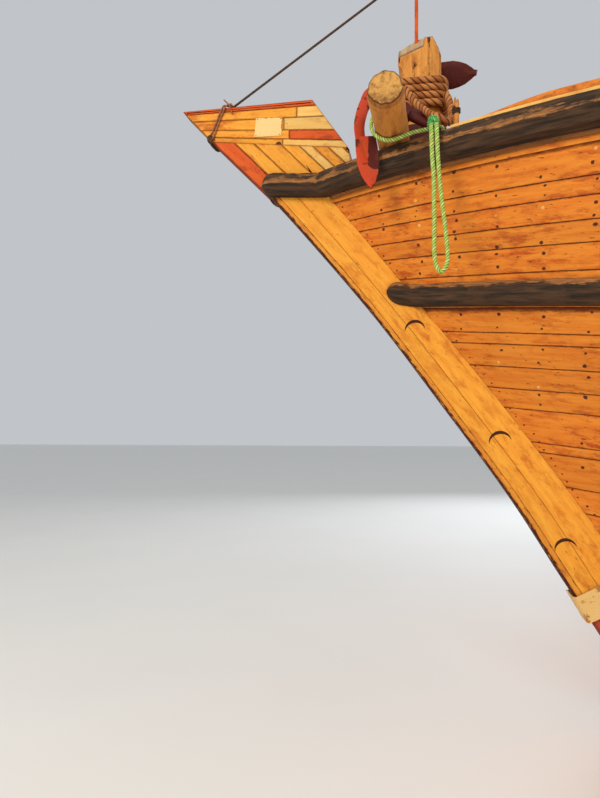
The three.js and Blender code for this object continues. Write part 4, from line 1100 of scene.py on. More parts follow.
@dataclass
class Planking:
    """The hull's strakes, their fastenings and the caulking behind them, on both sides."""

    seams: tuple[float, ...] = (0.0, 0.045, 0.09, 0.135, 0.18, 0.22, 0.26, 0.30, 0.335, 0.37, 0.405, 0.44,
        0.475, 0.51, 0.555, 0.5905, 0.6365, 0.650, 0.694, 0.7194, 0.747, 0.775, 0.789, 0.8194, 0.847, 0.859,
        0.8865, 0.908, 0.930, 0.947, 0.978, 0.990)
    butt_every: float = 4.6
    clear_bow: float = 3.4
    frame_every: float = 0.285
    clear_stem: float = 0.085
    lead_frame: Pair = (9.0, 4.4)
    last_frame: float = -8.3
    plug_rows: Pair = (0.24, 0.76)
    nails: Triple = (0.2, 0.98, 0.0105)
    heads_x: Pair = (-9.0, 6.6)
    plug_r: float = 0.0145
    frame_lean: float = 0.06
    # Painted shade: on the port side, strakes ending at these seams darken downwards from their top edge,
    # under the rubbing strake, the bead and the rail.
    shaded_seams: tuple[float, ...] = (0.8194, 0.978, 0.990)
    shade_drop: float = 0.075
    paint_v: float = 0.52
    sheer_v: float = 0.985
    skipped: float = 0.20
    bleached: float = 0.13
    head_every: float = 0.52
    notch_fore: float = -7.7
    notch_low: float = -1.09
    notch_high: float = -0.19
    wall: float = 0.12
    rail_up: float = 0.10
    seed: int = 7

    def build(self) -> None:
        """Build both sides."""
        self.t = SKIN.stations()
        for side in Side:
            self.side(side)
        self.bulwarks()

    def side(self, side: Side) -> None:
        """Build one side's strakes, caulking and plugs."""
        name = side.label
        chance = np.random.default_rng(self.seed + side.value)
        rows = ("topside_strakes", "bottom_strakes", "sheer_strake")
        top, bottom, shaded_top = (Shape(f"{row}_{name}") for row in rows)
        for number, (low, high) in enumerate(zip(self.seams, self.seams[1:])):
            # The strake under the main rail takes the dark finish that paints the rail's shade.
            shape = bottom if high <= self.paint_v else top if high < self.sheer_v else shaded_top
            self.strake(shape, low, high, number, side, chance)
        top.build(ORANGE, "hull", f"bulwark_{name}", slot="planking")
        bottom.build(BOTTOM, slot="red_paint")
        shaded_top.build(SHADED_SHEER, slot="planking")
        self.caulking(name, side)
        self.plugs(name, side, chance)

    def strake(self, shape: Shape, low: float, high: float, number: int, side: Side,
            chance: np.random.Generator) -> None:
        """Add one strake in its lengths."""
        t = self.t
        first = SKIN.at(t, low)
        second = SKIN.at(t, high)
        out = SKIN.outward(t, np.full(len(t), (low + high) / 2))
        x = first[:, 0]
        butts = np.arange(x[-1] - self.clear_bow - (number * 1.7) % self.butt_every, x[0] + 1.5,
            -self.butt_every)
        cuts = sorted({0, len(t) - 1, *(int(np.argmin(np.abs(x - b))) for b in butts)})
        run = 0.0
        for a, b in zip(cuts, cuts[1:]):
            part = slice(a, b + 1)
            middle = (first[part] + second[part]) / 2
            proud = chance.uniform(-0.001, 0.0015)
            rows = [first[part] + out[part] * proud, second[part] + out[part] * proud, out[part]]
            # Painted shade under the timber above, on the port side only.
            grime = self.shade_drop if high in self.shaded_seams and side is Side.PORT else 0.0
            for keep in self.outside_notch(middle):
                tone = float(chance.uniform(0.05, 0.95))
                side_strip(shape, side, *(r[keep] for r in rows), tone=tone, grime=grime,
                    start=run + number * 3.1)
            run += 6.0

    def outside_notch(self, middle: Array) -> list[slice]:
        """Return the stretches of a strake that lie outside the propeller's aperture."""
        x, z = middle[:, 0], middle[:, 2]
        return stretches((x < self.notch_fore) & (z > self.notch_low) & (z < self.notch_high))

    def caulking(self, name: str, side: Side) -> None:
        """Add the dark surface behind the seams, and the faces of the aperture."""
        shape = Shape(f"caulking_{name}")
        t, v = np.meshgrid(self.t[::2], np.linspace(0, 0.99, 30), indexing="ij")
        rows = SKIN.at(t, v) - SKIN.outward(t, v) * 0.014
        rows[..., 1] = np.maximum(rows[..., 1], 0.0)
        low, high = self.notch_low - 0.1, self.notch_high + 0.1
        inside = (rows[..., 0] < self.notch_fore) & (rows[..., 2] > low) & (rows[..., 2] < high)
        rows[..., 1] = np.where(inside, 0.0, rows[..., 1])
        shape.grid(mirrored(rows, side.value)[:, ::-1])
        for z in (self.notch_low, self.notch_high):
            self.notch_level(shape, z, side)
        heights = np.linspace(self.notch_low, self.notch_high, 9)
        edge = np.array([SKIN.abreast(self.notch_fore, z) for z in heights])
        middle = edge * np.array([1.0, 0.0, 1.0])
        shape.grid(mirrored(np.stack([middle, edge], axis=1), side.value))
        shape.build(CAULK, slot="planking")

    def notch_level(self, shape: Shape, z: float, side: Side) -> None:
        """Close the aperture at one height."""
        x = np.linspace(self.notch_fore, SKIN.stern_foot - SKIN.stern_rake * z + 0.02, 10)
        edge = np.array([SKIN.abreast(a, z) for a in x])
        middle = edge * np.array([1.0, 0.0, 1.0])
        rows = np.stack([middle, edge], axis=1)
        shape.grid(mirrored(rows if z > -0.5 else rows[::-1], side.value))

    def plugs(self, name: str, side: Side, chance: np.random.Generator) -> None:
        """Add the wooden plugs over the fastenings, in rows at the frames, and nails along the stem."""
        shape = Shape(f"plugs_{name}")
        pale = Shape(f"bleached_plugs_{name}")
        for low, high in zip(self.seams, self.seams[1:]):
            if high - low < 0.015 or high > self.sheer_v:
                continue
            bow_x = float(SKIN.at(1.0, low)[0])
            z = float(SKIN.at(0.9, (low + high) / 2)[2])
            fore, high_z = self.lead_frame
            first = fore - self.frame_lean * (high_z - z)
            for x in np.arange(first, self.last_frame, -self.frame_every):
                if x > bow_x - self.clear_stem:
                    continue
                for share in self.plug_rows:
                    if chance.random() < self.skipped:
                        continue
                    v = low + (high - low) * (share + chance.uniform(-0.12, 0.12))
                    part = pale if chance.random() < self.bleached else shape
                    self.plug(part, x + chance.uniform(-0.014, 0.014), v, side, chance)
        for v in np.arange(*self.nails):
            x = float(SKIN.at(1.0, v)[0]) - 0.05 + chance.uniform(-0.02, 0.02)
            self.plug(shape, x, v, side, chance, 0.6)
        shape.build(PLUG, sharp=60, slot="planking")
        pale.build(BRIGHT, sharp=60, slot="planking")

    def plug(self, shape: Shape, x: float, v: float, side: Side, chance: np.random.Generator,
            scale: float = 1.0) -> None:
        """Add one plug on the skin."""
        t = SKIN.t_at(x, v)
        centre, out = SKIN.at(t, v), SKIN.outward(t, v)
        if centre[0] < self.notch_fore and self.notch_low < centre[2] < self.notch_high:
            return
        along = unit(np.cross(out, UP))
        up = np.cross(along, out)
        r = self.plug_r * scale * chance.uniform(0.75, 1.15)
        ring = circle(1.0, 7) * chance.uniform(0.78, 1.18, (7, 1))
        flat = ring[:, :1] * along + ring[:, 1:] * up * chance.uniform(0.75, 1.0)
        rings = np.array([centre + flat * r - out * 0.004, centre + flat * r + out * 0.0022,
            centre + flat * r * 0.5 + out * 0.0026])
        index = shape.count
        rings = mirrored(rings, side.value)
        shape.grid(rings, around=True, tone=float(chance.random()), edge=0.3)
        shape.faces.append(tuple(range(index + 14, index + 21)))

    def bulwarks(self) -> None:
        """Build the bulwarks' inner boards, their timberheads and their tops."""
        inner = Shape("bulwark_boards")
        heads = Shape("timberheads")
        t = self.t[:-3:2]
        rows = SKIN.at(t, 1.0)
        deck = SKIN.deck(rows[:, 0])
        for side in Side:
            foot = np.array([SKIN.v_at(x, z) for x, z in zip(rows[:, 0], deck - 0.04)])
            levels = []
            for s in np.linspace(0, 1, 6):
                v = foot + (1 - foot) * s
                levels.append(SKIN.at(np.clip(SKIN.t_at(rows[:, 0], v), 0, 1), v))
            levels[-1] = levels[-1] + np.array([0, 0, self.rail_up])
            levels = [self.inside(level) for level in levels]
            for k, (a, b) in enumerate(zip(levels, levels[1:])):
                facing = np.tile([0.0, -1.0, 0.0], (len(a), 1))
                side_strip(inner, side, b, a, facing, tone=0.15 + 0.7 * ((k * 5) % 7) / 7, depth=0.012)
            top = self.inside(levels[-1], 0.0)
            outer = top + np.array([0, self.wall, 0])
            side_strip(inner, side, outer, top, np.tile(UP, (len(top), 1)), tone=0.5, depth=0.02)
            for x in np.arange(*self.heads_x, self.head_every):
                self.timberhead(heads, x, side)
        inner.build(ORANGE, slot="planking")
        heads.build(SPAR, slot="planking")

    def inside(self, rows: Array, by: float = 0.12) -> Array:
        """Return rows moved to the bulwark's inner face."""
        moved = rows.copy()
        moved[:, 1] = np.maximum(rows[:, 1] - by, 0.004)
        return moved

    def timberhead(self, shape: Shape, x: float, side: Side) -> None:
        """Add one timber that stands inside the bulwark."""
        z = np.linspace(float(SKIN.deck(x)) - 0.02, float(SKIN.sheer(x)) + 0.06, 6)
        line = np.array([SKIN.on(x, min(SKIN.v_at(x, a), 1.0)) for a in z])
        line[:, 2] = z
        line[:, 1] -= self.wall + 0.03
        if line[:, 1].min() < 0.25:
            return
        path = mirrored(line, side.value)[:: side.value]
        section = np.array([(0.035, 0.045), (-0.035, 0.045), (-0.035, -0.045), (0.035, -0.045)])
        sweep(shape, path, section, hint=(0, 1, 0), tone=(x * 0.37) % 1.0, edge=0.2)


@dataclass
class StemWork:
    """The raked stem in its long timbers, the stem-head's boards, the collar and the keel."""

    half: float = 0.11
    head_half: float = 0.095
    edge: tuple[Pair, ...] = (
        (9.70, 5.01), (9.24, 4.56), (8.70, 3.94), (8.18, 3.30), (7.70, 2.645), (7.07, 1.76),
        (6.64, 1.07), (6.405, 0.71), (5.96, 0.0), (5.42, -0.80), (4.90, -1.45),
    )
    tip: Pair = (10.0, 5.33)
    head_aft: Pair = (8.76, 5.29)
    seam_aft: Pair = (8.43, 4.82)
    top_fore: Pair = (8.74, 4.616)
    top_aft: Pair = (8.395, 4.592)
    plate: tuple[Pair, ...] = ((9.299, 5.009), (9.041, 4.995), (9.031, 5.161), (9.282, 5.180))
    scarfs: tuple[tuple[Pair, float, float], ...] = (((7.86, 3.20), 1.45, 0.085),
        ((7.165, 2.245), 1.5, 0.09), ((6.66, 1.38), 1.6, 0.085))
    split_z: float = 4.50
    paint_z: float = 0.93
    collar_fore: tuple[Pair, Pair] = ((6.60, 0.99), (6.49, 0.80))
    collar_aft: tuple[Pair, Pair] = ((6.235, 1.185), (6.085, 1.01))
    keel_joints: tuple[float, ...] = (4.30, 1.2, -2.1, -5.4, -8.12)
    keel_low: float = -1.45
    keel_top: float = -1.15
    seams: tuple[float, ...] = (0.0, 0.14, 0.46, 1.0)

    def build(self) -> None:
        """Build all of it."""
        self.stem()
        self.upper_boards()
        self.head()
        self.name_board()
        self.crescents()
        self.collar()
        self.keel()

    def lines(self) -> tuple[Array, Array]:
        """Return the stem's leading edge and its after edge below the rail, matched point by point."""
        lead = smooth_path([(x, 0, z) for x, z in self.edge], 400)
        lead = lead[lead[:, 2] < self.split_z]
        v = np.linspace(1.0, 0.0, 240)
        rabbet = SKIN.at(1.0, v) * np.array([1.0, 0.0, 1.0])
        return resampled(lead, 70), resampled(rabbet, 70)

    def stem(self) -> None:
        """Build the stem's long timbers, bright above the collar and red below it."""
        lead, aft = self.lines()
        bright, chafed, red = Shape("stem_timbers"), Shape("stem_leading_edge"), Shape("stem_bottom")
        middle = (lead + aft) / 2
        cut = int(np.argmin(np.abs(middle[:, 2] - self.paint_z - 0.1)))
        for k, (a, b) in enumerate(zip(self.seams, self.seams[1:])):
            fore = lead + (aft - lead) * a
            back = lead + (aft - lead) * b
            for shape, part in ((chafed if k == 0 else bright, slice(0, cut + 1)), (red, slice(cut, None))):
                self.timber(shape, fore[part], back[part], 0.2 + 0.3 * k, a == 0.0)
        bright.build(GOLD, "stem", slot="stem_timber")
        chafed.build(CHAFED, slot="stem_timber")
        red.build(BOTTOM, slot="red_paint")

    def timber(self, shape: Shape, fore: Array, back: Array, tone: float, leading: bool) -> None:
        """Add one long timber of the stem.

        Args:
            shape: The shape that it joins.
            fore: The points of its fore edge.
            back: The points of its after edge.
            tone: Its tone.
            leading: Whether its fore edge is the stem's own.
        """
        across = unit(back - fore)
        width = np.linalg.norm(back - fore, axis=1, keepdims=True)
        bevel = 0.014 if leading else 0.003
        fore = fore + across * (0.0 if leading else 0.001)
        back = back - across * 0.001
        h = self.half
        y = np.array([0.0, 1.0, 0.0])
        halo = np.minimum(0.035, width * 0.3)
        ring = [fore + y * (bevel - h), fore + y * (h - bevel), fore + across * bevel + y * h,
            fore + across * (bevel + halo) + y * h, (fore + back) / 2 + y * (h + 0.001),
            back - across * halo + y * h, back - across * 0.003 + y * h, back + y * (h - 0.003),
            back - y * (h - 0.003), back - across * 0.003 - y * h, back - across * halo - y * h,
            (fore + back) / 2 - y * (h + 0.001), fore + across * (bevel + halo) - y * h,
            fore + across * bevel - y * h]
        front = 1.0 if leading else 0.45
        edge = np.array([front, front, front, 0.15, 0, 0.1, 0.5, 0.8, 0.8, 0.5, 0.1, 0, 0.15, front])
        shape.grid(np.stack(ring, axis=1), around=True, caps=True, tone=tone, edge=edge)

    def upper_boards(self) -> None:
        """Build the boards above the rail that run down beside the leading edge."""
        split_fore = np.interp(self.split_z, [4.56, 5.01], [9.24, 9.70])
        fore = float(split_fore) - 0.06
        field_outline = np.array([self.edge[0], (fore + 0.02, self.split_z), (8.68, self.split_z),
            self.top_fore, self.top_aft, self.seam_aft])
        direction = unit(np.array(self.edge[0]) - np.array((fore + 0.02, self.split_z)))
        normal = np.array([-direction[1], direction[0]])
        if normal.dot(np.array(self.seam_aft) - np.array(self.edge[0])) < 0:
            normal = -normal
        origin = np.array(self.edge[0]).dot(normal)
        steps = (-0.02, 0.13, 0.245, 0.40, 0.50, 0.575, 0.66, 0.74, 0.80, 1.0)
        finishes = (REDDENED, GOLD, GOLD, GOLD, BRIGHT, GOLD, BRIGHT, GOLD, REDDENED)
        shapes: dict[str, tuple[Shape, Timber]] = {}
        for k, (a, b) in enumerate(zip(steps, steps[1:])):
            piece = kept_side(kept_side(field_outline, normal, origin + a), -normal, -(origin + b))
            if len(piece) < 3:
                continue
            finish = finishes[k]
            shape, _ = shapes.setdefault(finish.name, (Shape(f"stem_boards_{finish.name}"), finish))
            board(shape, piece, -self.half + 0.002 * (k % 2), self.half - 0.002 * (k % 2), 0.1 + 0.11 * k,
                direction)
        for shape, finish in shapes.values():
            shape.build(finish, slot="stem_timber")

    def head(self) -> None:
        """Build the stem-head's level boards, with their butts."""
        low = (np.array(self.edge[0]), np.array(self.seam_aft))
        high = (np.array(self.tip), np.array(self.head_aft))
        rows = (
            (0.88, 1.0, (), (REDDENED,)),
            (0.66, 0.88, (8.90,), (GOLD, BRIGHT)),
            (0.38, 0.66, (9.02,), (GOLD, BRIGHT)),
            (0.16, 0.38, (8.97,), (GOLD, REDDENED)),
            (0.0, 0.16, (9.03,), (GOLD, BRIGHT)),
        )
        shapes: dict[str, tuple[Shape, Timber]] = {}
        lie = unit(low[0] - low[1])
        for number, (a, b, butts, finishes) in enumerate(rows):
            corners = [low[i] + (high[i] - low[i]) * s for s in (a, b) for i in (0, 1)]
            outline = np.array([corners[0], corners[1], corners[3], corners[2]])
            places = [12.0, *butts, 6.0]
            for k, (right, left) in enumerate(zip(places, places[1:])):
                piece = kept_side(outline, np.array([-1.0, 0.0]), -right)
                piece = kept_side(piece, np.array([1.0, 0.0]), left)
                finish = finishes[k]
                shape, _ = shapes.setdefault(finish.name, (Shape(f"head_boards_{finish.name}"), finish))
                proud = 0.003 if number == 4 and k == 1 else 0.0015 * (number % 2)
                board(shape, piece, -self.head_half - proud, self.head_half + proud,
                    (0.17 + 0.23 * number + 0.4 * k) % 1, lie)
        for i, (shape, finish) in enumerate(shapes.values()):
            nodes = ("stem_head",) if i == 0 else ()
            shape.build(finish, *nodes, slot="stem_timber")
        knot = Shape("head_knot")
        turned(knot, (9.07, self.head_half - 0.003, 4.92), (0, 1, 0),
            ((0, 0.03), (0.004, 0.028), (0.005, 0.012)), 12)
        knot.build(PLUG, slot="stem_timber")

    def name_board(self) -> None:
        """Build the blank cream plate on the head, screwed at its corners."""
        shape, screws = Shape("blank_plate"), Shape("blank_plate_screws")
        board(shape, self.plate, self.head_half + 0.0035, self.head_half + 0.0078, 0.4, (1.0, 0.05),
            bevel=0.0015, halo=0.012)
        middle = np.mean(self.plate, axis=0)
        for corner in self.plate:
            x, z = middle + (np.array(corner) - middle) * 0.86
            turned(screws, (x, self.head_half + 0.006, z), (0, 1, 0),
                ((0, 0.005), (0.0024, 0.0045), (0.003, 0.002)), 8)
        shape.build(CREAM, "name_board", slot="cream_paint")
        screws.build(IRON, slot="iron")

    def crescents(self) -> None:
        """Build dark crescent plates on the stem where its scarfs end, painted shade for the recesses there.
        """
        shape = Shape("scarf_crescents")
        for (x, z), turn, size in self.scarfs:
            a = np.linspace(0.1 + turn - 1.45, math.pi + turn - 1.3, 18)
            thick = 0.026 * np.sin(np.linspace(0, np.pi, 18)) + 0.001
            for side in Side:
                rings = []
                for r in (size - thick, np.full(18, size)):
                    rings.append(np.stack([x - r * np.cos(a), np.full(18, side.value * (self.half + 0.0018)),
                        z + r * np.sin(a)], axis=1))
                rows = np.stack(rings, axis=1)
                shape.grid(rows if side is Side.STARBOARD else rows[:, ::-1], edge=1.0)
        shape.build(PLUG, slot="stem_timber")

    def collar(self) -> None:
        """Build the cream band round the stem."""
        shape = Shape("collar_band")
        wide = self.half + 0.026
        lead, back = np.array(self.collar_fore), np.array(self.collar_aft)
        for side in Side:
            s = side.value
            outline = []
            for k in (0, 1):
                fx, fz = lead[k] + np.array([0.016, 0.0])
                bx, bz = back[k]
                outline.append([(fx, 0.0, fz), (fx, s * (wide - 0.02), fz), (fx - 0.02, s * wide, fz),
                    ((fx + bx) / 2, s * wide, (fz + bz) / 2), (bx, s * wide, bz),
                    (bx, s * (self.half - 0.004), bz)])
            upper, lower = (np.array(o) for o in outline)
            inner_up = upper + np.array([-0.01, 0, 0.0]) - s * np.array([0, 0.012, 0])
            lift = np.array([0, 0, 0.006])
            rings = np.stack([inner_up + lift, upper, (upper + lower) / 2 + s * np.array([0, 0.003, 0]),
                lower, lower - lift], axis=0)
            rows = rings if side is Side.STARBOARD else rings[:, ::-1]
            shape.grid(rows, tone=0.4, edge=np.array([1, 0.6, 0, 0.6, 1])[:, None])
        shape.build(CREAM, "stem_collar", slot="cream_paint")

    def keel(self) -> None:
        """Build the keel in scarfed lengths."""
        shape = Shape("keel_timbers")
        mid = (self.keel_low + self.keel_top) / 2
        for k, (a, b) in enumerate(zip(self.keel_joints, self.keel_joints[1:])):
            beam(shape, (a - 0.001, 0, mid), (b + 0.001, 0, mid), 0.22, 0.298, bevel=0.008, tone=0.2 * k)
        shape.build(BOTTOM, "keel", slot="red_paint")


@dataclass
class Fenders:
    """The dark main rails and rubbing strakes, the mouldings, the boot strips and the orange caps."""

    rail_up: float = 0.10
    rail_out: float = 0.115
    rail_fore: Pair = (9.22, 4.55)
    strake_v: float = 0.837
    strake_half: float = 0.098
    strake_out: float = 0.085
    strake_fore: Pair = (8.10, 3.535)
    boot_v: float = 0.492
    bead_v: float = 0.978
    cap_fore: float = 7.61
    cap_taper: float = 0.60
    cap_high: float = 0.075
    cap_joints: Triple = (-5.5, -1.2, 3.1)
    wall: float = 0.12
    seed: int = 11

    def build(self) -> None:
        """Build them on both sides."""
        for side in Side:
            name = side.label
            self.rail(name, side)
            self.strake(name, side)
            self.bead(name, side)
            self.boot(name, side)
            self.cap(name, side)

    def line(self, v: float, fore: Optional[Pair], fine: float = 0.05) -> tuple[Array, Array]:
        """Return a row's points with the run along the stem, and the section's size at each.

        Args:
            v: The row that the timber follows.
            fore: The X and Z of its fore end on the stem, or None where it stops at the rabbet.
            fine: The spacing of its points near the bow.

        Returns:
            The points, and the sizes.
        """
        path = SKIN.at(SKIN.stations(fine, 0.2), v)
        if fore is None:
            return path, np.ones(len(path))
        last = path[-1]
        steps = np.linspace(0, 1, 20)[1:]
        onward = np.stack([last[0] + (fore[0] - last[0]) * steps, np.full(19, SKIN.stem_half),
            last[2] + (fore[1] - last[2]) * steps], axis=1)
        whole = np.vstack([path, onward])
        left = lengths(whole)[-1] - lengths(whole)
        size = np.sqrt(np.clip(1 - (1 - np.clip(left / 0.13, 0, 1)) ** 2, 0.02, 1))
        return whole, size

    def worn(self, name: str, path: Array, size: Array, section: Sequence[Triple], side: Side,
             node: str, rough: float) -> None:
        """Build one heavy worn timber.

        Args:
            name: Its name.
            path: The points that it follows.
            size: The section's size at each.
            section: Rows of how far out, how far up and how rubbed.
            side: Its side.
            node: The node that it replaces.
            rough: How deep its surface is gouged, in metres.
        """
        chance = np.random.default_rng(self.seed)
        along = np.gradient(path, axis=0)
        along[:, 2] = 0
        along = unit(along)
        out = np.stack([-along[:, 1], along[:, 0], np.zeros(len(path))], axis=1)
        rows = np.array(section)
        o, up, edge = rows[:, 0], rows[:, 1], rows[:, 2]
        s = size[:, None]
        sideways = (o * np.where(o > 0, s, 1.0))[..., None] * out[:, None, :]
        rings = path[:, None, :] + sideways + (up * s)[..., None] * UP
        slow = chance.normal(0, 1, (len(path) // 6 + 3, len(rows)))
        fast = chance.normal(0, 1, rings.shape[:2])
        grid = np.linspace(0, len(slow) - 1.001, len(path))
        k = grid.astype(int)
        f = (grid - k)[:, None]
        wave = slow[k] * (1 - f) + slow[k + 1] * f
        push = (wave * 0.7 + fast * 0.35) * rough * (o > 0.02)
        outward = unit(rings - path[:, None, :] + out[:, None, :] * 0.02)
        rings = rings - outward * np.abs(push)[..., None] * s[..., None]
        shape = Shape(name)
        shape.grid(mirrored(rings, side.value), around=True, caps=True, tone=0.5,
                   edge=edge if side is Side.PORT else edge[::-1])
        shape.build(DARK, node, sharp=50, slot="dark_timber")

    def rail(self, name: str, side: Side) -> None:
        """Build the main rail: two worn faces with a rubbed arris between them; the upper face is rubbed
        brighter, partly wear and partly painted light, and the lower is left dark as painted shade.
        """
        path, size = self.line(1.0, self.rail_fore)
        u, o = self.rail_up, self.rail_out
        # Third column: rubbed wear, and also painted light on the upper face and painted shade on the lower.
        section = ((-0.03, -u, 0.0), (0.02, -u, 0.0), (o * 0.50, -u, 0.2), (o * 0.62, -u * 0.92, 0.25),
            (o * 0.82, -u * 0.5, 0.0), (o * 0.95, -u * 0.2, 0.35), (o * 1.0, -0.004, 0.9),
            (o * 0.985, 0.012, 0.85), (o * 0.88, 0.035, 0.62), (o * 0.78, u * 0.62, 0.56),
            (o * 0.68, u * 0.88, 0.6), (o * 0.56, u * 0.98, 0.8), (o * 0.40, u, 0.5), (-0.03, u, 0.1))
        self.worn(f"main_rail_{name}", path, size, section, side, f"rail_{name}", 0.006)

    def strake(self, name: str, side: Side) -> None:
        """Build the rubbing strake: rounded, brighter along its top."""
        path, size = self.line(self.strake_v, self.strake_fore)
        h, o = self.strake_half, self.strake_out
        section = ((-0.03, -h, 0.0), (0.01, -h, 0.0), (o * 0.50, -h * 0.86, 0.0), (o * 0.82, -h * 0.55, 0.0),
            (o * 0.98, -h * 0.15, 0.1), (o, h * 0.2, 0.3), (o * 0.93, h * 0.55, 0.75),
            (o * 0.72, h * 0.82, 1.0), (o * 0.42, h * 0.97, 0.9), (0.01, h, 0.6), (-0.03, h, 0.3))
        self.worn(f"rubbing_strake_{name}", path, size, section, side, f"strake_{name}", 0.005)

    def moulding(self, shape: Shape, side: Side, t: Array, v: float, section: Sequence[Pair],
                 edge: Point) -> None:
        """Add a thin moulding along one row of the skin.

        Args:
            shape: The shape that it joins.
            side: Its side.
            t: Its stations.
            v: The row that it follows.
            section: Rows of how far out and how far up.
            edge: How worn each row of the section is.
        """
        path = SKIN.at(t, v)
        out = SKIN.outward(t, np.full(len(path), v))
        rings = np.stack([path + out * o + UP * u for o, u in section], axis=1)
        shape.grid(mirrored(rings, side.value), around=True, caps=True, tone=0.6, edge=np.array(edge))

    def bead(self, name: str, side: Side) -> None:
        """Build the thin moulding below the sheer strake."""
        shape = Shape(f"sheer_bead_{name}")
        section = ((-0.004, -0.021), (0.012, -0.020), (0.018, -0.008), (0.018, 0.008), (0.012, 0.020),
            (-0.004, 0.021))
        self.moulding(shape, side, SKIN.stations(0.08, 0.3), self.bead_v, section, (1, 0.6, 0, 0, 0.6, 1))
        shape.build(ORANGE, slot="planking")

    def boot(self, name: str, side: Side) -> None:
        """Build the cream boot strip."""
        shape = Shape(f"boot_stripe_{name}")
        section = ((-0.01, -0.094), (0.016, -0.094), (0.022, -0.088), (0.023, 0.0), (0.022, 0.088),
            (0.016, 0.094), (-0.01, 0.094))
        self.moulding(shape, side, SKIN.stations(0.1, 0.3), self.boot_v, section, (1, 1, 0.6, 0, 0.6, 1, 1))
        shape.build(CREAM, f"boot_strip_{name}", slot="cream_paint")

    def cap(self, name: str, side: Side) -> None:
        """Build the cap over the bulwark in its lengths, with a pale fillet under its outer edge."""
        path = SKIN.at(SKIN.stations(0.12, 0.3), 1.0)
        path = path[path[:, 0] < self.cap_fore]
        cap, fillet = Shape(f"cap_lengths_{name}"), Shape(f"cap_fillet_{name}")
        low = path[:, 2] + self.rail_up
        cuts = [0, *(int(np.argmin(np.abs(path[:, 0] - x))) for x in self.cap_joints), len(path) - 1]
        inner, outer = path[:, 1] - self.wall - 0.025, path[:, 1] + self.rail_out * 0.35
        for k, (a, b) in enumerate(zip(cuts, cuts[1:])):
            part = slice(a, b + 1)
            h = self.cap_high * np.clip((self.cap_fore - path[part, 0]) / self.cap_taper, 0.15, 1.0)
            ring = []
            for y, z in ((inner, 0.002), (outer - 0.004, 0.002), (outer, h * 0.12), (outer, h * 0.88),
                    (outer - 0.008, h), ((inner + outer) / 2, h + 0.001), (inner + 0.008, h),
                    (inner, h * 0.88)):
                ring.append(np.stack([path[part, 0], y[part], low[part] + z], axis=1))
            rows = np.stack(ring, axis=1)
            rows[0, :, 0] += 0.001
            cap.grid(mirrored(rows, side.value), around=True, caps=True, tone=0.2 + 0.2 * k,
                     edge=np.array([1, 1, 0.8, 0.5, 0.5, 0, 0.5, 0.8]))
        ring = [np.stack([path[:, 0], outer + o, low + z], axis=1) for o, z in
                ((-0.02, 0.003), (0.012, 0.003), (0.012, 0.020), (0.004, 0.026), (-0.02, 0.026))]
        fillet.grid(mirrored(np.stack(ring, axis=1), side.value), around=True, caps=True, tone=0.7, edge=0.2)
        cap.build(ORANGE, f"cap_{name}", slot="planking")
        fillet.build(BRIGHT, slot="planking")


class Rope(Shape):
    """Three-strand ropes in the making. Each point also knows whether it lies on the marked strand."""

    def __init__(self, name: str) -> None:
        """Start with no rope laid."""
        super().__init__(name)
        self.strands: list[Array] = []

    def lay(self, path: Array, diameter: float, sides: int = 15, pitch: float = 2.8) -> None:
        """Lay one rope along a path.

        Args:
            path: The route's points, close together.
            diameter: The rope's diameter.
            sides: Points round the rope.
            pitch: Length of one turn of the lay, in diameters.
        """
        line = resampled(path, max(int(lengths(path)[-1] / (diameter * pitch * 0.08)), 8))
        run = lengths(line)
        side, other = frames_along(line)
        a = angles(sides)
        turn = 2 * np.pi * run / (diameter * pitch)
        phase = 3 * (a[None, :] - turn[:, None])
        lobe = np.abs(np.cos(phase / 2))
        radius = diameter / 2 * (0.80 + 0.20 * lobe**0.7)
        rings = line[:, None, :] + radius[..., None] * (
            np.cos(a)[None, :, None] * side[:, None, :] + np.sin(a)[None, :, None] * other[:, None, :]
        )
        strand = np.floor((phase / (2 * np.pi) + 0.5) % 3)
        around = (a[None, :] - turn[:, None] * 0.85) * diameter / 2
        grain = np.stack([np.broadcast_to(run[:, None], lobe.shape), around, strand], axis=2)
        self.grid(rings, around=True, caps=True, edge=1 - lobe, grain=grain)
        self.strands.append((strand == 0).astype(np.float32).ravel())

    def build(
        self, finish: "Finish", *nodes: str, body: str = "hull", sharp: float = 80.0, slot: str = "rope"
    ) -> bpy.types.Object:
        """Make the object, as any shape does, and give it its strand fact."""
        piece = super().build(finish, *nodes, body=body, sharp=sharp, slot=slot)
        layer = piece.data.attributes.new("strand", "FLOAT", "POINT")
        layer.data.foreach_set("value", np.concatenate(self.strands))
        return piece


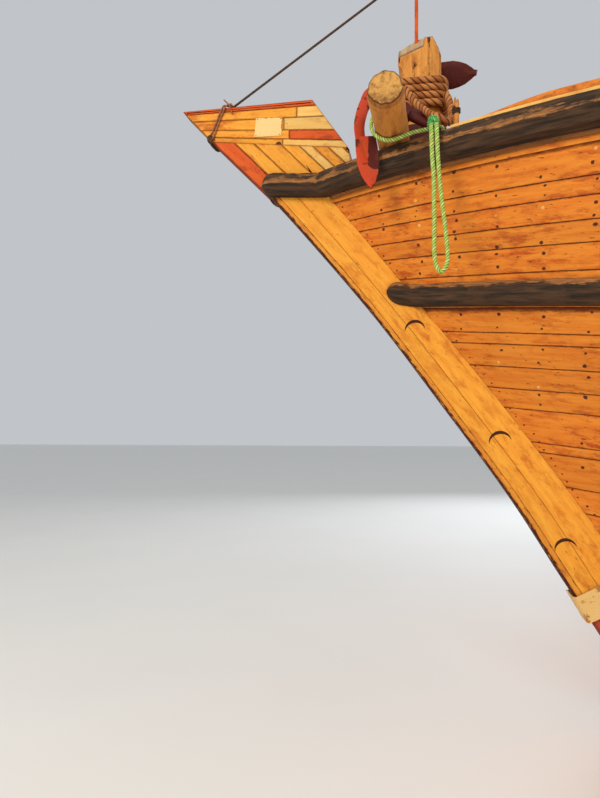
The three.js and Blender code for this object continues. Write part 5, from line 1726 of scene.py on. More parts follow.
@dataclass
class BowGear:
    """The cross-beam log, the bitt with its turns of rope, the staff, the stanchion and the platform."""

    log_x: float = 8.018
    log_r: float = 0.130
    log_half: float = 1.21
    log_lift: float = 0.222
    bitt_x: float = 7.82
    bitt_half: float = 0.178
    bitt_low: float = 4.302
    bitt_neck: Triple = (5.36, 5.44, 0.035)
    corner: Pair = (0.100, 0.058)
    ridge: tuple[Pair, ...] = ((7.50, 5.303), (7.642, 5.533), (7.745, 5.716), (7.857, 5.690), (7.998, 5.603),
        (8.10, 5.530))
    ridge_y: float = 0.060
    step_x: float = 7.78
    fore_slope: Triple = (5.570, 0.322, 0.150)
    aft_slope: Pair = (5.640, 0.077)
    knot: Pair = (7.858, 5.423)
    rope_d: float = 0.062
    rope_top: float = 5.2985
    rope_pitch: float = 0.063
    drop: tuple[Triple, ...] = (
        (7.935, 0.262, 5.180), (7.898, 0.300, 5.105), (7.843, 0.360, 4.994), (7.772, 0.440, 4.890),
        (7.712, 0.540, 4.788), (7.667, 0.600, 4.740), (7.622, 0.600, 4.708), (7.576, 0.520, 4.731),
        (7.559, 0.420, 4.823), (7.567, 0.320, 4.946), (7.582, 0.262, 5.050), (7.606, 0.245, 5.111),
    )
    staff: tuple[float, float, float, float] = (7.848, 0.085, 5.60, 7.15)
    stanchion: Triple = (7.53, 0.56, 4.90)
    platform_z: float = 4.24
    platform_x: Pair = (6.80, 8.10)
    plank: float = 0.13
    inboard: float = 0.13
    bands: tuple[Triple, Triple] = ((4.31, 4.66, 1.0), (4.66, 4.92, 0.0))
    rope_turns: int = 4
    seed: int = 3

    def build(self) -> None:
        """Build all of it."""
        self.log()
        self.bitt()
        self.base()
        self.turns()
        self.pole()
        self.post()
        self.platform()

    def log_height(self) -> float:
        """Return the height of the log's middle."""
        return float(SKIN.sheer(self.log_x)) + self.log_lift

    def log(self) -> None:
        """Build the log, knotty and a little flattened, with its split ends."""
        chance = np.random.default_rng(self.seed)
        shape, ends = Shape("log_body"), Shape("log_ends")
        y = np.linspace(-self.log_half, self.log_half, 60)
        a = angles(48)
        bumps = sum(chance.uniform(0.001, 0.003) * np.cos(k * a[None, :] + j * y[:, None] * 2.2
            + chance.uniform(0, 6)) for k, j in ((2, 1), (3, -1), (5, 2), (7, -2), (11, 3)))
        r = self.log_r - 0.004 + bumps
        r[[0, -1]] -= 0.006
        high = self.log_height() + r * 0.96 * np.sin(a)
        rings = np.stack([self.log_x + r * np.cos(a), np.broadcast_to(y[:, None], r.shape), high], axis=2)
        worn = np.where(np.abs(y) > self.log_half - 0.05, 0.7, 0.0)[:, None]
        shape.grid(rings, around=True, edge=worn)
        shape.build(LOG_BARK, "cross_log", slot="spar_timber")
        rows = ((1.0, 0.0), (0.95, 0.004), (0.88, 0.002), (0.66, 0.003), (0.33, 0.005), (0.02, 0.004))
        for rim in (rings[0], rings[-1]):
            centre = rim.mean(axis=0)
            side = np.sign(centre[1])
            disc = np.array([centre + (rim - centre) * s + np.array([0, side * h, 0]) for s, h in rows])
            local = disc - centre
            grain = np.stack([local[..., 0], local[..., 2], np.zeros(disc.shape[:2])], axis=2)
            edge = np.array([1.0, 0.75, 0.3, 0.0, 0.0, 0.0])[:, None]
            if side < 0:
                disc, grain = disc[:, ::-1], grain[:, ::-1]
            ends.grid(disc, around=True, grain=grain, edge=edge)
        ends.build(LOG_END, slot="spar_timber")

    def head_height(self, x: Array, y: Array) -> Array:
        """Return the height of the bitt's sawn head at X and Y."""
        across = (self.bitt_half - y) / (self.bitt_half - self.ridge_y)
        foot, fall, rise = self.fore_slope
        fore = foot - (x - self.step_x) * fall + rise * across
        aft = self.aft_slope[0] + self.aft_slope[1] * across
        return np.minimum(np.interp(x, *np.transpose(self.ridge)), np.where(x > self.step_x, fore, aft))

    def bitt(self) -> None:
        """Build the bitt's hewn sides and its weathered, sloping head."""
        h, (cut_x, cut_y) = self.bitt_half, self.corner
        outline = np.array([(h, h), (cut_x - h, h), (-h, h - cut_y), (-h, 0), (-h, -h), (h, -h), (h, h)])
        dense = resampled(outline, 145)[:-1]
        low, high, neck = self.bitt_neck
        x, y = self.bitt_x + dense[:, 0], dense[:, 1]
        top = self.head_height(x, y)
        turn = np.abs(np.roll(dense, 2, axis=0) + np.roll(dense, -2, axis=0) - 2 * dense)
        corner = turn.sum(axis=1) > 0.004
        rings, edges = [], []
        for s in np.concatenate([np.linspace(0, 0.9, 34), np.linspace(0.915, 1, 8)]):
            z = self.bitt_low + (top - self.bitt_low) * s
            drawn = neck * np.clip((high - z) / (high - low), 0, 1) * np.clip(dense[:, 0] / h, 0, 1)
            knot = np.hypot(x - self.knot[0], z - self.knot[1]) + np.where(y > h - 0.001, 0.0, 1.0)
            hollow = 0.012 * np.exp(-((knot / 0.022) ** 2))
            rough = 0.002 * np.sin(x * 90 + z * 4) * np.sin(y * 120 + z * 3)
            inward = np.where(corner, 0.006, 0.0) + hollow + 0.004 * (s > 0.995) + rough
            shrink = 1 - inward / h
            rings.append(np.stack([self.bitt_x + dense[:, 0] * shrink - drawn, y * shrink, z], axis=1))
            below = (z < self.knot[1]) & (z > self.bitt_low + 0.8)
            split = (np.abs(x - self.knot[0] + 0.02 * np.sin(z * 9)) < 0.006) & below
            dark = np.maximum(np.exp(-((knot / 0.03) ** 2)), np.where(split & (y > 0), 0.85, 0.0))
            edges.append(np.maximum(dark, np.where(corner, 0.6, 0.0)) + 0.3 * (s > 0.97))
        sides = Shape("bitt_post")
        sides.grid(np.array(rings), around=True, tone=0.45, edge=np.clip(edges, 0, 1))
        sides.build(BITT_SIDE, "bitt", slot="grey_timber")
        head = Shape("bitt_sawn_head")
        rim = rings[-1]
        centre = rim.mean(axis=0)
        caps = []
        for s in (1.0, 0.975, 0.9, 0.8, 0.7, 0.6, 0.5, 0.4, 0.3, 0.2, 0.1, 0.01):
            row = centre + (rim - centre) * s
            lift = 0.0 if s == 1 else 0.004
            ripple = lift * np.sin(row[:, 0] * 310) * 0.4
            row[:, 2] = self.head_height(row[:, 0], row[:, 1]) + ripple + lift * 0.5
            caps.append(row)
        caps[0] = rim
        caps = np.array(caps)
        grain = np.stack([caps[..., 1], caps[..., 0], caps[..., 2]], axis=2)
        head.grid(caps, around=True, grain=grain, edge=np.linspace(1, 0, 12)[:, None] ** 3)
        head.build(GREYED, slot="grey_timber")

    def base(self) -> None:
        """Build the painted iron band round the bitt's foot, maroon above and red below."""
        shape = Shape("bitt_base_band")
        for low, high, tone in self.bands:
            b = self.bitt_half + 0.004 + 0.002 * tone
            for sx, sy in ((1, 0), (-1, 0), (0, 1), (0, -1)):
                foot = np.array([self.bitt_x + sx * (b - (0.035 if sx > 0 else 0)), sy * b, low])
                beam(shape, foot, foot + UP * (high - low), 2 * b - 0.02, 0.012, up=(sx, sy, 0), bevel=0.003,
                    tone=tone)
        shape.build(ANCHOR_PAINT, slot="anchor_paint")

    def turns(self) -> None:
        """Build the four turns of heavy rope round the bitt, and the part that drops to the rail."""
        half = self.bitt_half + self.rope_d / 2
        path = []
        for s in np.linspace(0, self.rope_turns, 260):
            a = 2 * math.pi * (s - 0.25)
            c, w = math.cos(a), math.sin(a)
            big = min((abs(c) ** 7 + abs(w) ** 7) ** (-1 / 7), 1.27) * half
            path.append((self.bitt_x + c * big, w * big, self.rope_top - s * self.rope_pitch))
        rope = Rope("bitt_rope_turns")
        rope.lay(np.array(path), self.rope_d)
        rope.lay(smooth_path(self.drop, 90), self.rope_d * 0.94)
        rope.build(BROWN_ROPE, "bitt_rope")

    def pole(self) -> None:
        """Build the thin dark staff that stands in the bitt's head."""
        x, y, low, high = self.staff
        shape = Shape("staff_pole")
        rows = [(s, 0.0155 - 0.002 * s + 0.0006 * math.sin(s * 23)) for s in np.linspace(0, high - low, 24)]
        turned(shape, (x, y, low), (0, 0, 1), rows, 10)
        shape.build(REDDENED, "staff", slot="spar_timber")

    def post(self) -> None:
        """Build the small stanchion with its split top and a few turns of line round it."""
        shape = Shape("stanchion_post")
        x, y, top = self.stanchion
        high = top - self.bitt_low
        rows = [(s, 0.021 + 0.001 * math.sin(s * 31)) for s in np.linspace(0, high - 0.05, 12)]
        turned(shape, (x, y, self.bitt_low), (0, 0, 1), rows, 12, tone=0.7)
        for lean, tall in ((0.009, 0.0), (-0.009, 0.018)):
            rows = ((0, 0.013), (0.04 - tall, 0.010), (0.062 - tall, 0.004))
            turned(shape, (x + lean, y, top - 0.062), (lean * 3, 0, 1), rows, 6, tone=0.3)
        shape.build(BITT_SIDE, "stanchion", slot="grey_timber")
        a = np.linspace(0, 2 * np.pi * 3.2, 80)
        ring = np.stack([x + 0.027 * np.cos(a), y + 0.027 * np.sin(a), top - 0.13 + a * 0.0022], axis=1)
        rope = Rope("stanchion_turns")
        rope.lay(ring, 0.012, 9)
        rope.build(TARRED)

    def platform(self) -> None:
        """Build the bow platform's planks, clipped to the inside of the bulwarks."""
        shape = Shape("platform_planks")
        x = np.linspace(*self.platform_x, 30)
        half = np.array([max(SKIN.abreast(a, self.platform_z)[1] - self.inboard, 0.05) for a in x])
        edges = np.arange(-1.2, 1.21, self.plank)
        for k, (a, b) in enumerate(zip(edges, edges[1:])):
            fits = x[half > max(abs(a), abs(b))]
            if len(fits) > 2:
                run = np.linspace(fits[0], fits[-1], 6)
                low, high = (np.stack([run, np.full(6, y), np.full(6, 4.299)], axis=1) for y in (a, b))
                strip(shape, high, low, np.tile(UP, (6, 1)), tone=(k * 0.37) % 1, depth=0.07)
        shape.build(DECKING, "platform", slot="deck_timber")


@dataclass(frozen=True)
class Palm:
    """A palm's tip and root from the crown, the way that it faces and half its width."""

    tip: Triple
    root: Triple
    facing: Triple
    half: float


@dataclass
class Anchors:
    """The two stowed anchors: flat curved arms with shield-shaped palms, shanks and stocks."""

    crown: Pair = (7.938, 0.52)
    crown_r: float = 0.067
    arm_out: tuple[Triple, ...] = ((0, 0, 0), (0.120, 0.025, 0.140), (0.242, 0.060, 0.155),
        (0.286, 0.120, 0.042), (0.311, 0.160, -0.060), (0.323, 0.180, -0.153), (0.315, 0.195, -0.245),
        (0.297, 0.200, -0.333), (0.260, 0.200, -0.462))
    arm_in: tuple[Triple, ...] = (
        (0, 0, 0), (-0.099, -0.070, 0.010), (-0.217, -0.120, -0.048), (-0.285, -0.160, -0.150),
        (-0.300, -0.185, -0.250), (-0.290, -0.185, -0.320),
    )
    palm_out: Palm = Palm((0.228, 0.200, -0.656), (0.272, 0.200, -0.261), (-0.3, 1, 0), 0.088)
    palm_in: Palm = Palm((-0.290, -0.185, -0.420), (-0.285, -0.165, -0.120), (0.3, 1, 0), 0.088)
    stock: Triple = (6.95, 0.32, 4.324)
    second: Triple = (7.80, -0.30, 5.52)
    second_foot: float = 7.72
    second_aft: tuple[Triple, ...] = ((0, 0, 0), (-0.09, 0, 0.085), (-0.26, 0, 0.095), (-0.474, 0, 0.043))
    second_fore: tuple[Triple, ...] = ((0, 0, 0), (0.10, 0, 0.08), (0.22, 0, 0.04), (0.31, 0, -0.10))
    palm_aft: Palm = Palm((-0.474, 0, 0.043), (-0.090, 0, 0.058), (0, 0.86, -0.5), 0.112)
    palm_fore: Palm = Palm((0.310, 0, -0.100), (0.220, 0, 0.040), (0, 0.9, 0.4), 0.080)
    deck: float = 4.302

    def build(self) -> None:
        """Build both in red and maroon; the maroon on the red palm's upper half is painted shade."""
        gear = BowGear()
        x, y = self.crown
        rise = math.sqrt((gear.log_r + self.crown_r - 0.002) ** 2 - (gear.log_x - x) ** 2)
        centre = np.array([x, y, gear.log_height() + rise])
        shape = Shape("anchor_painted")
        self.arm(shape, centre, self.arm_out, (0.046, 0.018), 1.0)
        self.arm(shape, centre, self.arm_in, (0.046, 0.018), 0.0)
        self.palm(shape, centre, self.palm_out, 1.0)
        self.palm(shape, centre, self.palm_in, 0.0)
        self.boss(shape, centre, self.crown_r, 0.065)
        sx, sy, sz = self.stock
        self.rod(shape, centre, np.array([sx - 0.06, sy, sz + 0.008]), 0.032, 0.026)
        self.bar(shape, np.array([sx, sy, sz]), np.array([0.0, 1.0, 0.0]), 0.43, 0.020)
        shape.build(ANCHOR_PAINT, "anchor", slot="anchor_paint")
        self.second_anchor()

    def second_anchor(self) -> None:
        """Build the anchor that stands crown up behind the bitt."""
        shape = Shape("second_anchor_painted")
        centre = np.array(self.second)
        self.arm(shape, centre, self.second_aft, (0.026, 0.020), 0.0)
        self.arm(shape, centre, self.second_fore, (0.026, 0.020), 0.0)
        self.palm(shape, centre, self.palm_aft, 0.2)
        self.palm(shape, centre, self.palm_fore, 0.0)
        self.boss(shape, centre, 0.048, 0.045)
        foot = np.array([self.second_foot, centre[1], self.deck])
        self.rod(shape, centre, foot, 0.030, 0.024)
        self.bar(shape, foot + [0, 0, 0.02], np.array([1.0, 0.0, 0.0]), 0.26, 0.016)
        shape.build(ANCHOR_PAINT, "second_anchor", slot="anchor_paint")

    def arm(self, shape: Shape, centre: Array, route: Sequence[Point], half: Pair, tone: float) -> None:
        """Add one flat arm, a little thicker at the crown."""
        octagon = np.array([(0.4, 1), (1, 0.4), (1, -0.4), (0.4, -1), (-0.4, -1), (-1, -0.4), (-1, 0.4),
            (-0.4, 1)])
        path = smooth_path(np.asarray(route) + centre, 40)
        section = octagon * np.array([half[1], half[0]])
        edge = np.array([1, 0.4, 0.4, 1, 1, 0.4, 0.4, 1.0])
        sweep(shape, path, section, np.linspace(1.04, 0.92, 40), hint=(0, 1, 0), tone=tone, edge=edge)

    def boss(self, shape: Shape, centre: Array, r: float, half: float) -> None:
        """Add the rounded crown."""
        rows = ((0, r * 0.75), (0.008, r * 0.95), (half, r), (2 * half - 0.008, r * 0.95),
            (2 * half, r * 0.75))
        turned(shape, centre - [0, half, 0], (0, 1, 0), rows, 20, tone=0.0, edge=(1, 0.6, 0.0, 0.6, 1))

    def rod(self, shape: Shape, start: Array, end: Array, wide: float, thin: float) -> None:
        """Add a shank that narrows along its length."""
        long = float(np.linalg.norm(end - start))
        rows = [(s * long, wide + (thin - wide) * s) for s in np.linspace(0, 1, 10)]
        turned(shape, start, end - start, rows, 12, tone=0.0, edge=0.1)

    def bar(self, shape: Shape, middle: Array, axis: Array, half: float, r: float) -> None:
        """Add a stock with a ball at each end."""
        rows = [(0, r * 0.5), (0.01, r * 1.1), (0.03, r * 1.2), (0.045, r)]
        rows += [(2 * half - s, b) for s, b in rows[::-1]]
        turned(shape, middle - axis * half, axis, rows, 12, tone=0.0, edge=0.2)

    def palm(self, shape: Shape, centre: Array, palm: Palm, tone: float) -> None:
        """Add one shield-shaped palm, red with a maroon upper half of painted shade, or maroon with a red
        rim.
        """
        tip, root = centre + np.array(palm.tip), centre + np.array(palm.root)
        along = unit(tip - root)
        across = unit(np.cross(np.array(palm.facing, float), along))
        thick = np.cross(along, across)
        far = float(np.linalg.norm(tip - root))
        shape_s = np.array([-0.02, 0.0, 0.1, 0.2, 0.32, 0.45, 0.52, 0.6, 0.67, 0.74, 0.81, 0.88, 0.95, 1.0])
        shape_w = np.interp(shape_s, (-0.02, 0, 0.2, 0.45, 0.6, 0.74, 0.88, 1.0),
            (0.8, 0.92, 0.98, 1.0, 0.89, 0.72, 0.42, 0.08))
        shares = list(zip(shape_s, shape_w))
        round_it = ((1, 0), (0.94, 0.7), (0.5, 1.0), (0.0, 1.3), (-0.5, 1.0), (-0.94, 0.7), (-1, 0))
        round_it += ((-0.94, -0.7), (0.0, -1.0), (0.94, -0.7))
        rings = [
            [root + along * s * far + across * w * palm.half * a + thick * 0.008 * b for a, b in round_it]
            for s, w in shares
        ]
        rings = np.array(rings)
        # Painted shade: the aft part of the palm's upper half takes the maroon tone on the red palm.
        aft = np.clip(((root[0] + tip[0]) / 2 - rings[..., 0]) / 0.05 + 0.5, 0, 1)
        aft = aft * np.clip((0.72 - shape_s[:, None]) / 0.2, 0, 1)
        rim = np.abs(np.array([a for a, _ in round_it])) > 0.99
        tones = 1 - aft if tone > 0.5 else np.where(rim, tone * 4 * aft, 0.0)
        edge = np.array([1, 0.8, 0.1, 0.4, 0.1, 0.8, 1, 0.8, 0.2, 0.8])
        shape.grid(rings, around=True, caps=True, tone=np.clip(tones, 0, 1), edge=edge)


@dataclass
class GreenLine:
    """The green line: over the log and under it, a knot on the rail and a bight that hangs outboard."""

    r: float = 0.016
    pitch: float = 2.1
    turn: tuple[Pair, ...] = ((100, 0.690), (60, 0.715), (25, 0.738), (-10, 0.755), (-45, 0.768),
        (-80, 0.768), (-105, 0.768))
    lead: Triple = (7.85, 0.782, 4.552)
    hitch: Pair = (7.71, 0.80)
    hitch_r: float = 0.042
    route: tuple[Triple, ...] = ((6, 36, 2), (6, 84, -16), (6, 128, -44), (4, 156, -84), (2, 168, -150),
        (-3, 168, -284), (-14, 168, -444), (-16, 168, -606), (-18, 168, -769), (-17, 168, -932),
        (-22, 168, -1013), (-39, 168, -1075), (-65, 168, -1103), (-95, 168, -1072), (-111, 168, -1004),
        (-106, 168, -938), (-91, 168, -775), (-71, 168, -611), (-54, 168, -448), (-42, 168, -284),
        (-36, 168, -150), (-34, 156, -84), (-32, 128, -44), (-31, 84, -16), (-30, 36, 2))
    loops: tuple[Triple, ...] = ((0.2, 0.040, 0.0), (0.9, 0.038, 1.1), (-0.7, 0.040, 2.2), (1.5, 0.036, 0.5),
        (-1.3, 0.038, 3.0), (0.5, 0.034, 1.9))

    def build(self) -> None:
        """Build the bight first, as a free cord, and then its lashing and its knot."""
        x, y = self.hitch
        self.middle = np.array([x, y, float(SKIN.on(x, 1.0)[2]) + 0.10 + self.hitch_r + 0.0003])
        self.bight()
        self.lashing()
        self.knot()

    def bight(self) -> None:
        points = np.array(self.route) / 1000 + self.middle
        path = smooth_path(points, 260)
        rope = Rope("green_bight_rope")
        rope.lay(path, 2 * self.r, pitch=self.pitch)
        piece = rope.build(GREEN_ROPE, "green_bight", slot="green_line")
        LOG.info("green bight: %.3f m long", lengths(path)[-1])

    def lashing(self) -> None:
        """Build the line over the log, down its fore side and under it to the knot."""
        gear = BowGear()
        reach = gear.log_r + self.r
        points = []
        for degrees, y in self.turn:
            a = math.radians(degrees)
            points.append((gear.log_x + reach * math.cos(a), y, gear.log_height() + reach * math.sin(a)))
        path = smooth_path([*points, self.lead, tuple(self.middle + [0.02, 0, 0.0])], 120)
        rope = Rope("log_lashing_line")
        rope.lay(path, 2 * self.r * 0.95, pitch=self.pitch)
        rope.build(GREEN_ROPE, "log_lashing", slot="green_line")

    def knot(self) -> None:
        """Build the bulky knot as crossed turns, taller than wide, with two slack loops aft of it."""
        rope = Rope("green_knot")
        centre = self.middle + np.array([-0.008, 0.040, 0.016])
        for tilt, size, spin in self.loops:
            a = np.linspace(0, 2 * np.pi * 1.05, 40)
            flat = np.stack([np.cos(a) * size * 0.8, np.sin(a) * size, 0.006 * np.sin(2 * a)], axis=1)
            ct, st = math.cos(tilt), math.sin(tilt)
            cz, sz = math.cos(spin), math.sin(spin)
            flat = flat @ np.array([[1, 0, 0], [0, ct, st], [0, -st, ct]])
            flat = flat @ np.array([[cz, sz, 0], [-sz, cz, 0], [0, 0, 1]])
            rope.lay(centre + flat * np.array([0.95, 1.0, 1.25]), 0.026, pitch=self.pitch)
        rope.build(GREEN_KNOT, slot="green_line")
        slack = Rope("green_slack_loops")
        for k in range(2):
            a = np.linspace(0, 2 * np.pi, 30)
            ring = np.stack([-0.050 - 0.012 * k + 0.022 * np.cos(a), 0.004 * k + 0.010 * np.sin(a),
                0.016 * np.sin(a)], axis=1)
            slack.lay(self.middle + ring + [0, 0, -0.012], 0.012, 9)
        slack.build(GREEN_ROPE, slot="green_line")


@dataclass
class Studio:
    """The photograph's camera, a plain pale floor at the waterline, and soft light."""

    eye: Triple = (7.667, 5.31, 2.3)
    yaw: float = 13.0
    focal_px: float = 598.0
    frame_px: float = 798.0
    horizon_px: float = 435.0
    sensor: float = 36.0
    sky: Colour = (0.92, 0.95, 1.0)
    sky_power: float = 0.58
    lamps: tuple[tuple, ...] = (
        ("key", (15.0, 12.0, 11.0), (7.5, 0.5, 3.6), 5.0, 1320.0, (1.0, 0.86, 0.68)),
        ("fill", (1.0, 12.0, 5.0), (6.5, 1.0, 3.0), 7.0, 320.0, (1.0, 0.92, 0.82)),
        ("far_side", (4.0, -16.0, 10.0), (0.0, 0.0, 3.0), 9.0, 1200.0, (0.90, 0.94, 1.0)),
        ("stern", (-20.0, 6.0, 11.0), (-5.0, 0.0, 3.0), 9.0, 1350.0, (1.0, 0.95, 0.88)),
    )

    def camera(self) -> None:
        """Make the camera: level, with the view shifted up to the photograph's horizon."""
        data = bpy.data.cameras.new("view")
        data.sensor_fit = "VERTICAL"
        data.sensor_height = self.sensor
        data.sensor_width = self.sensor
        data.lens = self.sensor * self.focal_px / self.frame_px
        data.shift_y = (self.horizon_px - self.frame_px / 2) / self.frame_px
        data.clip_end = 500
        camera = bpy.data.objects.new("view", data)
        camera.location = self.eye
        camera.rotation_euler = (math.pi / 2, 0.0, math.radians(180 + self.yaw))
        bpy.context.scene.collection.objects.link(camera)
        bpy.context.scene.camera = camera

    def floor(self) -> None:
        """Make the pale floor at the waterline."""
        bpy.ops.mesh.primitive_plane_add(size=240)
        plane = bpy.context.object
        plane.name = "studio_floor"
        paint = Paint("studio_floor")
        speckle = paint.noise(paint.place(), 0.6, 2.0)
        colour = paint.mix(speckle, (0.76, 0.76, 0.73), (0.80, 0.80, 0.77))
        plane.data.materials.append(paint.finish(colour, 0.6))

    def lights(self) -> None:
        """Make the sky and the soft lamps."""
        world = bpy.data.worlds.new("studio_sky")
        world.use_nodes = True
        back = world.node_tree.nodes["Background"]
        back.inputs[0].default_value = (*self.sky, 1.0)
        back.inputs[1].default_value = self.sky_power
        bpy.context.scene.world = world
        for name, place, aim, size, power, colour in self.lamps:
            lamp = bpy.data.lights.new(name, "AREA")
            lamp.size = size
            lamp.energy = power
            lamp.color = colour
            item = bpy.data.objects.new(name, lamp)
            item.location = place
            item.rotation_euler = (Vector(aim) - Vector(place)).to_track_quat("-Z", "Y").to_euler()
            bpy.context.scene.collection.objects.link(item)


@dataclass
class DeckWork:
    """The deck's planks, the hatch with its lid, and the partner at the mast's foot."""

    plank: float = 0.14
    wall: float = 0.125
    covering: float = 0.26
    deck_x: Pair = (-9.05, 6.78)
    hatch_x: Pair = (-3.30, -1.20)
    hatch_half: float = 0.80
    coaming: float = 0.06
    strap_long: float = 0.22
    lid_low: float = 2.8426
    lid_thick: float = 0.06
    partner_x: Pair = (0.73, 1.63)
    partner_half: float = 0.38
    partner_top: float = 2.85
    seed: int = 21

    def build(self) -> None:
        """Build all of it."""
        self.x = np.linspace(*self.deck_x, 90)
        self.z = SKIN.deck(self.x)
        self.half = np.array([SKIN.abreast(x, z)[1] for x, z in zip(self.x, self.z)]) - self.wall
        self.planks()
        self.hatch()
        self.lid()
        self.partner()

    def planks(self) -> None:
        """Lay straight planks, a covering board along each side and the dark seams below."""
        chance = np.random.default_rng(self.seed)
        shape, border, seams = Shape("deck_planks"), Shape("covering_boards"), Shape("deck_seams")
        count = int(self.half.max() / self.plank) + 1
        for k in range(-count, count):
            a, b = k * self.plank, (k + 1) * self.plank
            keep = np.flatnonzero(self.half - 0.02 > max(abs(a), abs(b)))
            if len(keep) < 4:
                continue
            shift = (k % 4) * 5
            cuts = sorted({keep[0], keep[-1], *(c for c in range(keep[0] + 9 + shift, keep[-1] - 6, 24))})
            for first, last in zip(cuts, cuts[1:]):
                part = slice(first, last + 1)
                ends = [np.stack([self.x[part], np.full(last - first + 1, y), self.z[part]], axis=1)
                    for y in (b, a)]
                up = np.tile(UP, (last - first + 1, 1))
                strip(shape, *ends, up, tone=float(chance.uniform(0.05, 0.95)), depth=0.012, gap=0.002,
                    start=k * 1.3)
        for side in Side:
            outer = np.stack([self.x, self.half, self.z + 0.012], axis=1)
            inner = outer - np.array([0, self.covering, 0])
            side_strip(border, side, outer, inner, np.tile(UP, (len(outer), 1)), tone=0.3, depth=0.02)
        across = np.linspace(-1, 1, 9)
        y = self.half[:, None] * across
        rows = np.stack(np.broadcast_arrays(self.x[:, None], y, self.z[:, None] - 0.008), axis=2)
        seams.grid(rows)
        shape.build(DECKING, "deck", slot="deck_timber")
        border.build(SPAR, slot="deck_timber")
        seams.build(CAULK, slot="deck_timber")

    def hatch(self) -> None:
        """Build the hatch's coaming with its corner posts and a half-round rim."""
        shape = Shape("hatch_coaming_boards")
        a, b = self.hatch_x
        low = float(SKIN.deck(a)) - 0.02
        top = self.lid_low - 0.001
        inset = self.coaming / 2
        for row, (z0, z1) in enumerate(((low, (low + top) / 2), ((low + top) / 2, top))):
            z, high, ends = (z0 + z1) / 2, z1 - z0 - 0.002, self.hatch_half - self.coaming
            for s in (1, -1):
                y = s * (self.hatch_half - inset)
                beam(shape, (a, y, z), (b, y, z), self.coaming, high, tone=0.3 + 0.3 * row)
                x = a + inset if s < 0 else b - inset
                beam(shape, (x, -ends, z), (x, ends, z), self.coaming, high, tone=0.8 - 0.4 * row)
        straps = Shape("hatch_corner_straps")
        half, long, z = self.hatch_half, self.strap_long, top - 0.11
        for x, turn in ((a, -1), (b, 1)):
            for s in (1, -1):
                y, end = s * (half + 0.003), x + turn * 0.003
                beam(straps, (x - turn * long, y, z), (x + turn * 0.004, y, z), 0.006, 0.06, bevel=0.001)
                beam(straps, (end, s * (half - long), z), (end, s * (half + 0.005), z), 0.006, 0.06,
                    bevel=0.001)
        shape.build(SPAR, "hatch_coaming", slot="deck_timber")
        straps.build(IRON, slot="iron")

    def lid(self) -> None:
        """Build the lid: boards athwart on two battens, with straps and a ring."""
        boards, iron = Shape("hatch_lid_boards"), Shape("hatch_lid_straps")
        a, b = self.hatch_x[0] - 0.03, self.hatch_x[1] + 0.03
        half = self.hatch_half + 0.03
        count = 15
        wide = (b - a) / count
        z = self.lid_low + self.lid_thick / 2
        for k in range(count):
            x = a + (k + 0.5) * wide
            beam(boards, (x, -half, z), (x, half, z), wide - 0.003, self.lid_thick - 0.001,
                tone=(k * 0.37) % 1)
        top = self.lid_low + self.lid_thick
        for y in (-0.52, 0.52):
            beam(boards, (a + 0.06, y, top + 0.010), (b - 0.06, y, top + 0.010), 0.10, 0.024, tone=0.9)
        for x in (a + 0.36, b - 0.36):
            beam(iron, (x, -half + 0.002, top + 0.003), (x, -half + 0.40, top + 0.003), 0.06, 0.006,
                bevel=0.001)
            turned(iron, (x - 0.05, -half - 0.006, top - 0.012), (1, 0, 0), ((0, 0.012), (0.10, 0.012)), 12)
        ring = circle(0.045, 20)
        loop = np.stack([(a + b) / 2 + ring[:, 0], half - 0.12 + ring[:, 1], np.full(20, top + 0.008)],
            axis=1)
        sweep(iron, np.vstack([loop, loop[:1]]), circle(0.007, 8))
        boards.build(SPAR, "hatch_lid", slot="deck_timber", body="hatch_lid")
        iron.build(IRON, slot="iron", body="hatch_lid")

    def partner(self) -> None:
        """Build the mast's partner: stacked timbers with wedges round the mast."""
        shape = Shape("mast_partner_timbers")
        a, b = self.partner_x
        low = float(SKIN.deck(a)) - 0.02
        z, high = (low + self.partner_top) / 2, self.partner_top - low
        for k, y in enumerate((-0.255, 0.0, 0.255)):
            beam(shape, (a, y, z), (b, y, z), 0.2507, high, bevel=0.008, tone=0.25 + 0.25 * k)
        half, top = self.partner_half, self.partner_top + 0.02
        for x in (a + 0.05, b - 0.05):
            beam(shape, (x, -half, top), (x, half, top), 0.09, 0.045, bevel=0.006, tone=0.8)
        shape.build(SPAR, "mast_partner", slot="deck_timber")


